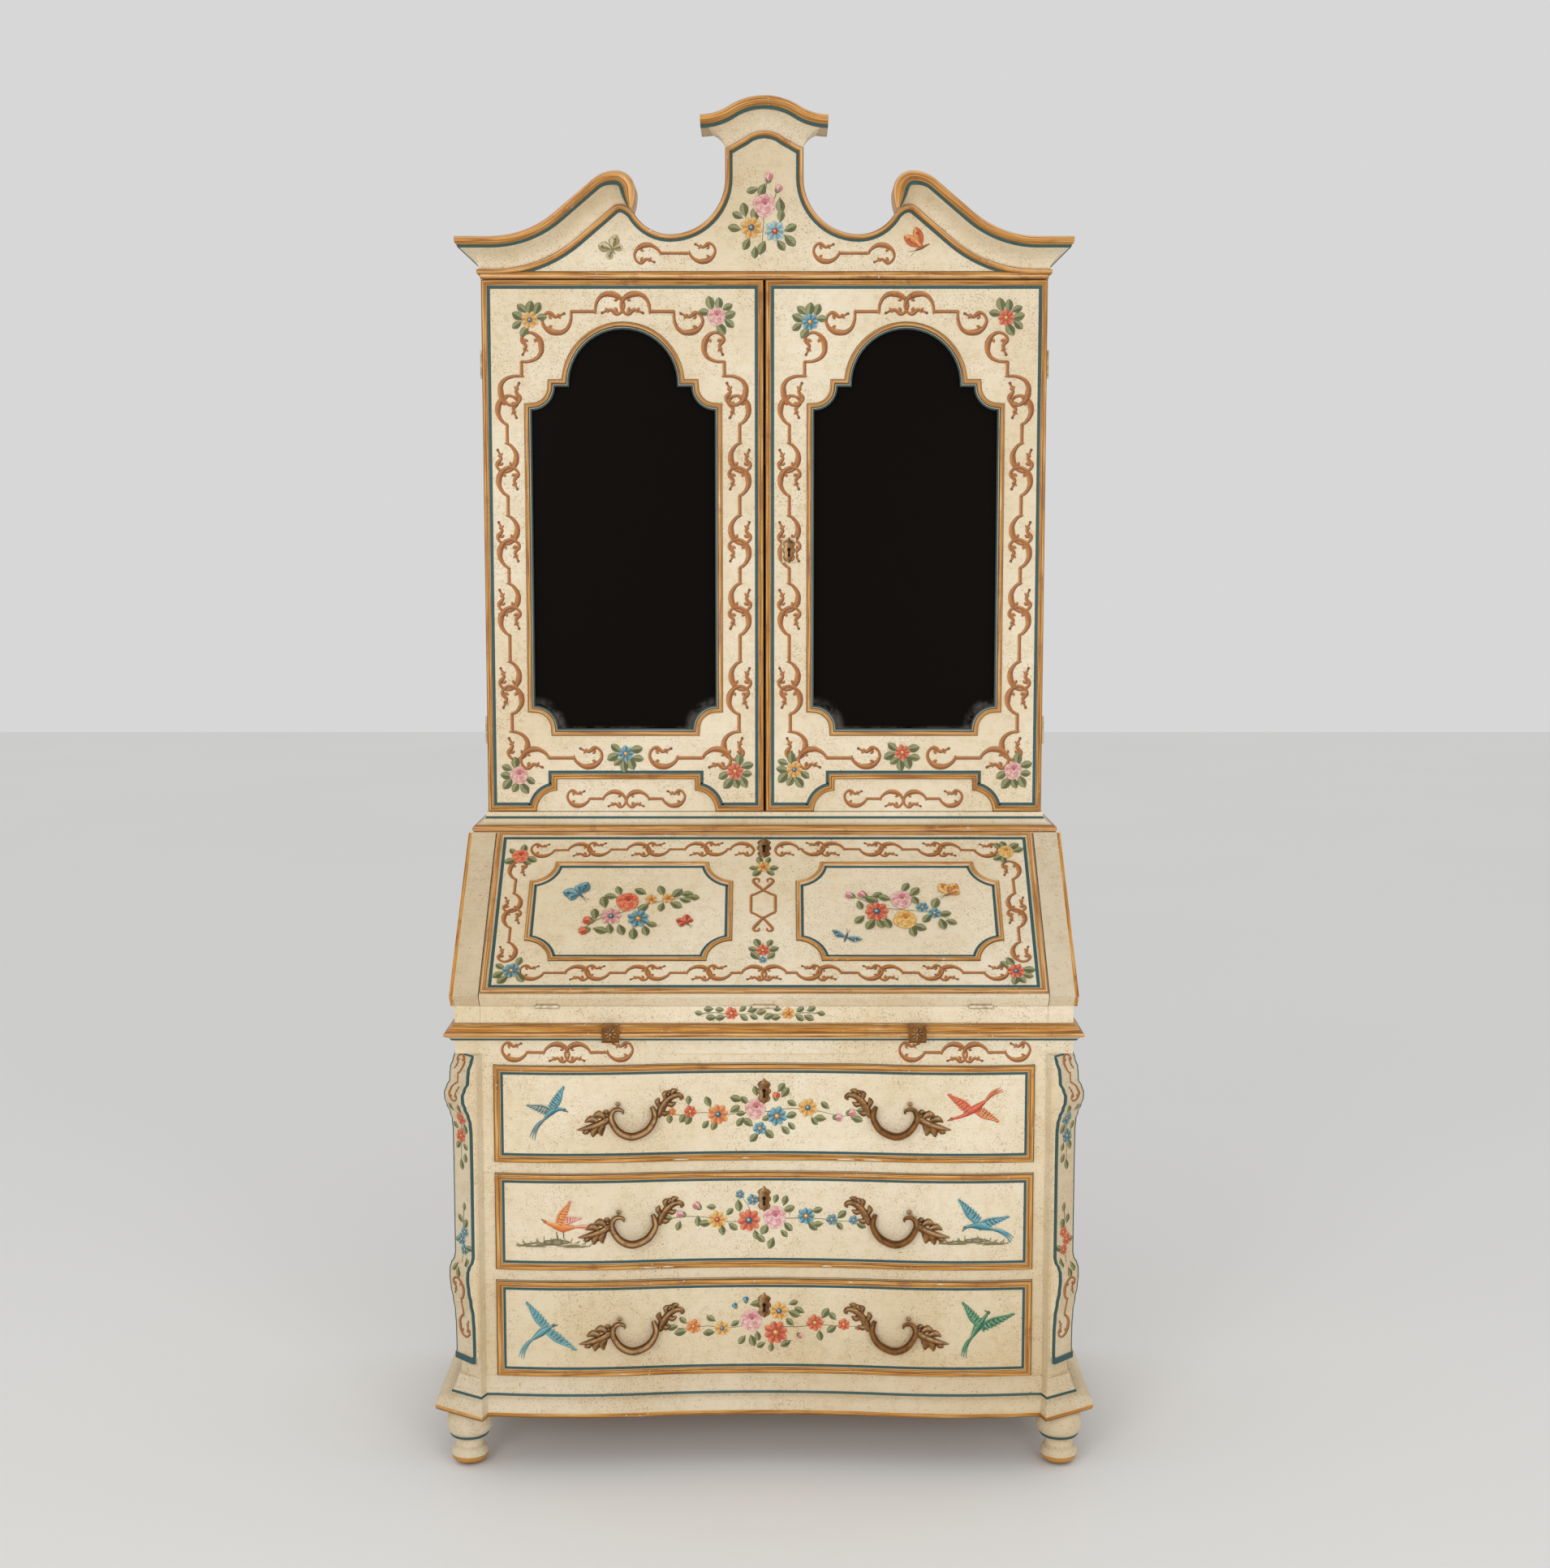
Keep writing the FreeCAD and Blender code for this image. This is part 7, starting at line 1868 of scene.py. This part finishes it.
class SECRETARY_OT_cornice(bpy.types.Operator):
    """Runs the swan-neck cornice, its returns, the band over the doors and the cap"""

    bl_idname = "secretary.cornice"
    bl_label = "Cornice and Cap"

    def execute(self, context):
        self.swan_necks()
        self.cap()
        return {"FINISHED"}

    def swan_necks(self):
        """The two swan necks with their returns along the sides, and the band over the doors"""
        hollow = list(COVE_TOP)
        for k in range(1, COVE_STEPS):
            out, rise = cove_step(COVE_TURN * (1 - k / COVE_STEPS))
            hollow.append((COVE_FOOT - COVE_RISE * rise, COVE_IN + COVE_REACH * out, "cream"))
        hollow.append((47.4, 2.2, "shade"))
        cove = hollow + COVE_BEAD
        edge = outline(SWAN_EDGE, False, 4)
        curl = outline(SWAN_EDGE[:-1] + SWAN_CURL, False, 4)
        peak = len(edge) - 1
        level = [edge[-1] - Vector((step, 0)) for step in (0, 8, 16)]

        def beside(out):
            return out if out <= BEAD_OUT else BEAD_OUT + (out - BEAD_OUT) * SIDE_SHARE

        def broader(i):
            """How much the rim widens towards its curl, and tapers at the foot of it."""
            share = (i - peak) / (len(curl) - 1 - peak)
            if share < CURL_TAPER:
                return 1 + CURL_SWELL * min(max((share + 0.35) / 0.8, 0), 1)
            return 1 + CURL_SWELL - ((share - CURL_TAPER) / (1 - CURL_TAPER)) ** 2

        maker = Maker()
        for side in (1, -1):
            for path, profile, caps in ((curl, RIM, (-1,)), (edge, cove, ()), (level, hollow, ())):
                rows = []
                for i, (place, across) in enumerate(zip(path, sideways(path, False))):
                    wide = broader(i) if path is curl else 1
                    spots = [(place + across * (below * wide), out) for below, out, colour in profile]
                    rows.append([(spot.x * side, DOOR_FACE - out, spot.y) for spot, out in spots])
                if path is not level:
                    rows[0] = [
                        ((BOOK_HALF + beside(out)) * side, DOOR_FACE - out, CORNICE - below)
                        for below, out, colour in profile
                    ]
                    rear = [(x, REAR, z) for x, y, z in rows[0]]
                maker.sheet(rows, tints(profile), FORWARD, caps=caps)
                if path is not level:
                    maker.sheet([rear, rows[0]], tints(profile), Vector((side, 0, 0)), caps=(0,))
        bmesh.ops.remove_doubles(maker.bm, verts=maker.bm.verts[:], dist=WELD)
        rows = [[(x, DOOR_FACE - out, z) for z, out, colour in BAND] for x in (-BOOK_HALF, BOOK_HALF)]
        maker.sheet(rows, tints(BAND), FORWARD)
        maker.piece(
            "swan_cornice", "carcass", "cream_paint", "swan_neck_rims", "swan_neck_coves", "cornice_returns",
            "cornice_band",
        )

    def cap(self):
        """The cap over the middle of the pediment: its crown, its hollow and its back"""
        cream = tones()["cream"]
        edge = raised([(CAP_HALF, 198, -90.4), (57.8, 212.57, 109.8), (0, 229)])
        path = mirrored(outline(edge, False, 4))
        crown = []
        for below, out, colour in RIM:
            deeper = below * CAP_BEAD / RIM_BEAD if below <= RIM_BEAD else below + CAP_BEAD - RIM_BEAD
            crown.append((deeper, out, colour))
        rows = []
        for place, across in zip(path, sideways(path, False)):
            spots = [(place + across * below, out) for below, out, colour in crown]
            rows.append([(spot.x, DOOR_FACE - out, spot.y) for spot, out in spots])
        ends = [[(x, CAP_BACK, z) for x, y, z in row] for row in (rows[0], rows[-1])]
        maker = Maker()
        maker.sheet(ends[:1] + rows + ends[1:], tints(crown), lambda p: Vector((p.x * 2, -0.2, 0)))

        rows = []
        for k in range(BROW_STEPS + 1):
            out, rise = cove_step(COVE_TURN * k / BROW_STEPS)
            wide = NECK_HALF + (BROW_HALF - NECK_HALF) * out
            base = CORNICE + BROW_FOOT + BROW_RISE * rise
            tall = BROW_TALL + BROW_GROWTH * rise
            row = []
            for s in range(-BROW_SIDES, BROW_SIDES + 1):
                share = s / BROW_SIDES
                row.append((share * wide, DOOR_FACE - BROW_REACH * out, base + tall * brow(abs(share))))
            rows.append([(-wide, CAP_BACK, row[0][2])] + row + [(wide, CAP_BACK, row[-1][2])])
        maker.sheet(rows, [cream] * len(rows[0]), FORWARD)
        back = [[(p.x / CAP_HALF * row[-1][0], CAP_BACK - 0.5, row[0][2]) for p in path] for row in rows]
        back.append([(p.x * 0.96, CAP_BACK - 0.5, p.y - 10) for p in path])
        maker.sheet(back, [cream] * len(path), -FORWARD)
        maker.piece("cap_crown", "carcass", "cream_paint", "cap_moulding")


# Half the pediment's upper edge, from a swan neck over the hollow and up the neck to the middle of the cap
PEDIMENT_EDGE = raised([
    (247, 59.2), (240, 58.3), (233, 55.6), (227, 51.4), (221, 45.7, -70), (160, 10, -94), (66, 104),
    (66, 153), (57, 156), (46, 162.5), (35.6, 168), (24, 175.6), (12, 179.6), (0, 181),
])


class SECRETARY_OT_pediment(bpy.types.Operator):
    """Edges the pediment board and paints its bouquet, scrolls and butterflies"""

    bl_idname = "secretary.pediment"
    bl_label = "Pediment"

    def execute(self, context):
        path = mirrored(outline(PEDIMENT_EDGE, False, 6))
        face = upright(DOOR_FACE)
        maker = Maker()
        maker.moulding(path, BOARD_BEAD, face, FORWARD, False)
        maker.piece("pediment_edge", "carcass", "gilding")

        maker = Maker()
        brush = Brush(maker, face)
        for side in (-1, 1):
            brush.strap((176.7 * side, 2020.5), (127.2 * side, 2020.5), (-side, 0), (side, 0), 0.90)
        brush.butterfly(-258, 2027, 25, (75, 164, 245, 15), 120, OLIVE)
        brush.butterfly(267, 2030, 36, (108, 148), 205, ORANGE, broad=0.25)
        sky = (BLUE[0], BLUE[2], rgb(196, 222, 226))
        garland(brush, [
            ("rose", 0, 2100, 20, PINK, 0), ("open", -22, 2063, 19, YELLOW, BLUE),
            ("open", 18, 2057, 18, sky, RED), ("bud", 6, 2138, 16, PINK, 80),
            ("bud", 20, 2122, 14, PINK, 55),
        ], [
            (-20, 2125), (-4, 2126), (27, 2100), (28, 2082), (-34, 2092), (-45, 2083), (-50, 2062),
            (-16, 2084), (-30, 2036), (-4, 2030), (-16, 2022), (44, 2062), (43, 2042), (28, 2034),
        ], [[(4, 2140), (0, 2100), (-2, 2060), (-6, 2016)], [(20, 2120), (10, 2090)]], 23)
        maker.piece("pediment_painting", "carcass", "cream_paint")
        return {"FINISHED"}


# The flowers of the doors about each door's middle, and the turns of the leaves round each of them
DOOR_FLOWERS = {
    "door_left": [
        ("open", -158, 1909, 15, YELLOW, BLUE), ("rose", 160, 1915, 16, PINK, 0),
        ("rose", -186, 1130, 16, PINK, 30), ("open", 190, 1137, 15, RED, YELLOW),
        ("open", 0, 1168, 14, BLUE, YELLOW),
    ],
    "door_right": [
        ("open", -164, 1906, 15, BLUE, YELLOW), ("open", 170, 1913, 15, RED, YELLOW),
        ("open", -190, 1140, 15, YELLOW, BLUE), ("rose", 191, 1138, 16, PINK, 0),
        ("open", -2, 1170, 14, RED, YELLOW),
    ],
}

# A door's lower edge with its notches, and the opening of its mirror, about the middle of its foot
DOOR_NOTCH = ((-156, 0, -36), (-120, 36), (-120, 56), (120, 56), (120, 36, -36), (156, 0))
DOOR_OPENING = (
    (117, 144, -40), (157, 184), (157, 690.4, -40), (117, 730.4), (92.93, 730.4, 93), (0, 827, 93),
    (-92.93, 730.4), (-117, 730.4, -40), (-157, 690.4), (-157, 184, -40), (-117, 144),
)
DOOR_KEY = (42, 452)
LEAF_TURNS = (-118, -76, -42, -8, 30, 68, 112)

# Strapwork of a door's right half: the chain on the stile, and straps with the swing of their scrolls
STILE_PLACE = 199
STILE_CHAIN = (1778, 1657, 1534, 1418, 1283)
DOOR_STRAPS = (
    ((173, 1839.7), (173, 1814.4), (-1, 19), (1, 21), 1.0),
    ((88, 1923.3), (46, 1923.3), (1, 20), (-1, 14), 1.0),
    ((197, 1236.8), (197, 1205.8), (-1, 2), (-1, 11), 1.0),
    ((134, 1160.4), (90, 1160.4), (-1, 0), (1, 0), 1.0),
    ((63.5, 1089), (39.5, 1089), (1, 0), (-1, 0), 0.80),
)


class SECRETARY_OT_doors(bpy.types.Operator):
    """Dresses the two doors with borders, mirror mouldings, strapwork and flowers"""

    bl_idname = "secretary.doors"
    bl_label = "Doors"

    def execute(self, context):
        face = upright(DOOR_FACE)
        for body, flowers in DOOR_FLOWERS.items():
            low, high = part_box(body + "_frame")
            x_low, x_high = low[0] / MM, high[0] / MM
            z_low, z_high = low[2] / MM, high[2] / MM
            middle = (x_low + x_high) / 2

            def about(points):
                return [(middle + point[0], z_low + point[1]) + point[2:] for point in points]

            maker = Maker()
            corners = [(x_high, z_low), (x_high, z_high), (x_low, z_high)]
            edge = [(x_low, z_low)] + about(DOOR_NOTCH) + corners
            maker.moulding(outline(edge), DOOR_BORDER, face, FORWARD)
            maker.moulding(outline(about(DOOR_OPENING)), GLASS_RING, face, FORWARD)
            maker.piece(body + "_edges", body, "gilding", body + "_mouldings")

            maker = Maker()
            brush = Brush(maker, face)
            for side in (-1, 1):
                stile = middle + STILE_PLACE * side
                for a, b in zip(STILE_CHAIN, STILE_CHAIN[1:]):
                    brush.link((stile, a), (stile, b), (side, -side))
                for start, end, first, last, scale in DOOR_STRAPS:
                    ends = [(middle + x * side, z) for x, z in (start, end)]
                    brush.strap(*ends, (first[0] * side, first[1]), (last[0] * side, last[1]), scale)
            placed = [(kind, middle + x, *rest) for kind, x, *rest in flowers]
            leaves = []
            for kind, x, z, size, tone, extra in placed:
                away = math.degrees(math.atan2(z - (z_low + z_high) / 2, (x - middle) * 2.2))
                for k, turn in enumerate(LEAF_TURNS):
                    leaves.append(Vector((x, z)) + ray(away + turn, size + (8 if k % 2 else 5)))
            garland(brush, placed, leaves, [], 22)
            maker.piece(body + "_painting", body, "cream_paint")
            if body == "door_right":
                maker = Maker()
                brush = Brush(maker, face)
                brush.lift = 2.2
                key_plate(brush, DOOR_KEY[0], z_low + DOOR_KEY[1], brass_tones())
                maker.piece(body + "_key_plate", body, "brass")
        return {"FINISHED"}


class SECRETARY_PT_panel(bpy.types.Panel):
    """Lists the steps that dress the secretary"""

    bl_idname = "SECRETARY_PT_panel"
    bl_label = "Painted Secretary"
    bl_space_type = "VIEW_3D"
    bl_region_type = "UI"
    bl_category = "Secretary"

    def draw(self, context):
        scene = context.scene
        for group in (scene.secretary_paint, scene.secretary_sizes, scene.secretary_stage):
            box = self.layout.box()
            for name in group.bl_rna.properties.keys():
                if name not in ("rna_type", "name"):
                    box.prop(group, name)
        for step in STEPS:
            self.layout.operator(step.bl_idname)


STEPS = (
    SECRETARY_OT_stage,
    SECRETARY_OT_boards,
    SECRETARY_OT_feet,
    SECRETARY_OT_case_mouldings,
    SECRETARY_OT_pilasters,
    SECRETARY_OT_drawers,
    SECRETARY_OT_fall,
    SECRETARY_OT_lopers,
    SECRETARY_OT_rail_painting,
    SECRETARY_OT_cornice,
    SECRETARY_OT_pediment,
    SECRETARY_OT_doors,
)
GROUPS = {
    "secretary_paint": SecretaryPaint, "secretary_sizes": SecretarySizes, "secretary_stage": SecretaryStage,
}


def register():
    for name, group in GROUPS.items():
        bpy.utils.register_class(group)
        setattr(bpy.types.Scene, name, bpy.props.PointerProperty(type=group))
    for step in STEPS + (SECRETARY_PT_panel,):
        bpy.utils.register_class(step)


def unregister():
    for step in STEPS + (SECRETARY_PT_panel,):
        bpy.utils.unregister_class(step)
    for name, group in GROUPS.items():
        delattr(bpy.types.Scene, name)
        bpy.utils.unregister_class(group)


def main():
    register()
    for step in STEPS:
        getattr(bpy.ops.secretary, step.bl_idname.split(".")[1])()


if __name__ == "__main__":
    main()
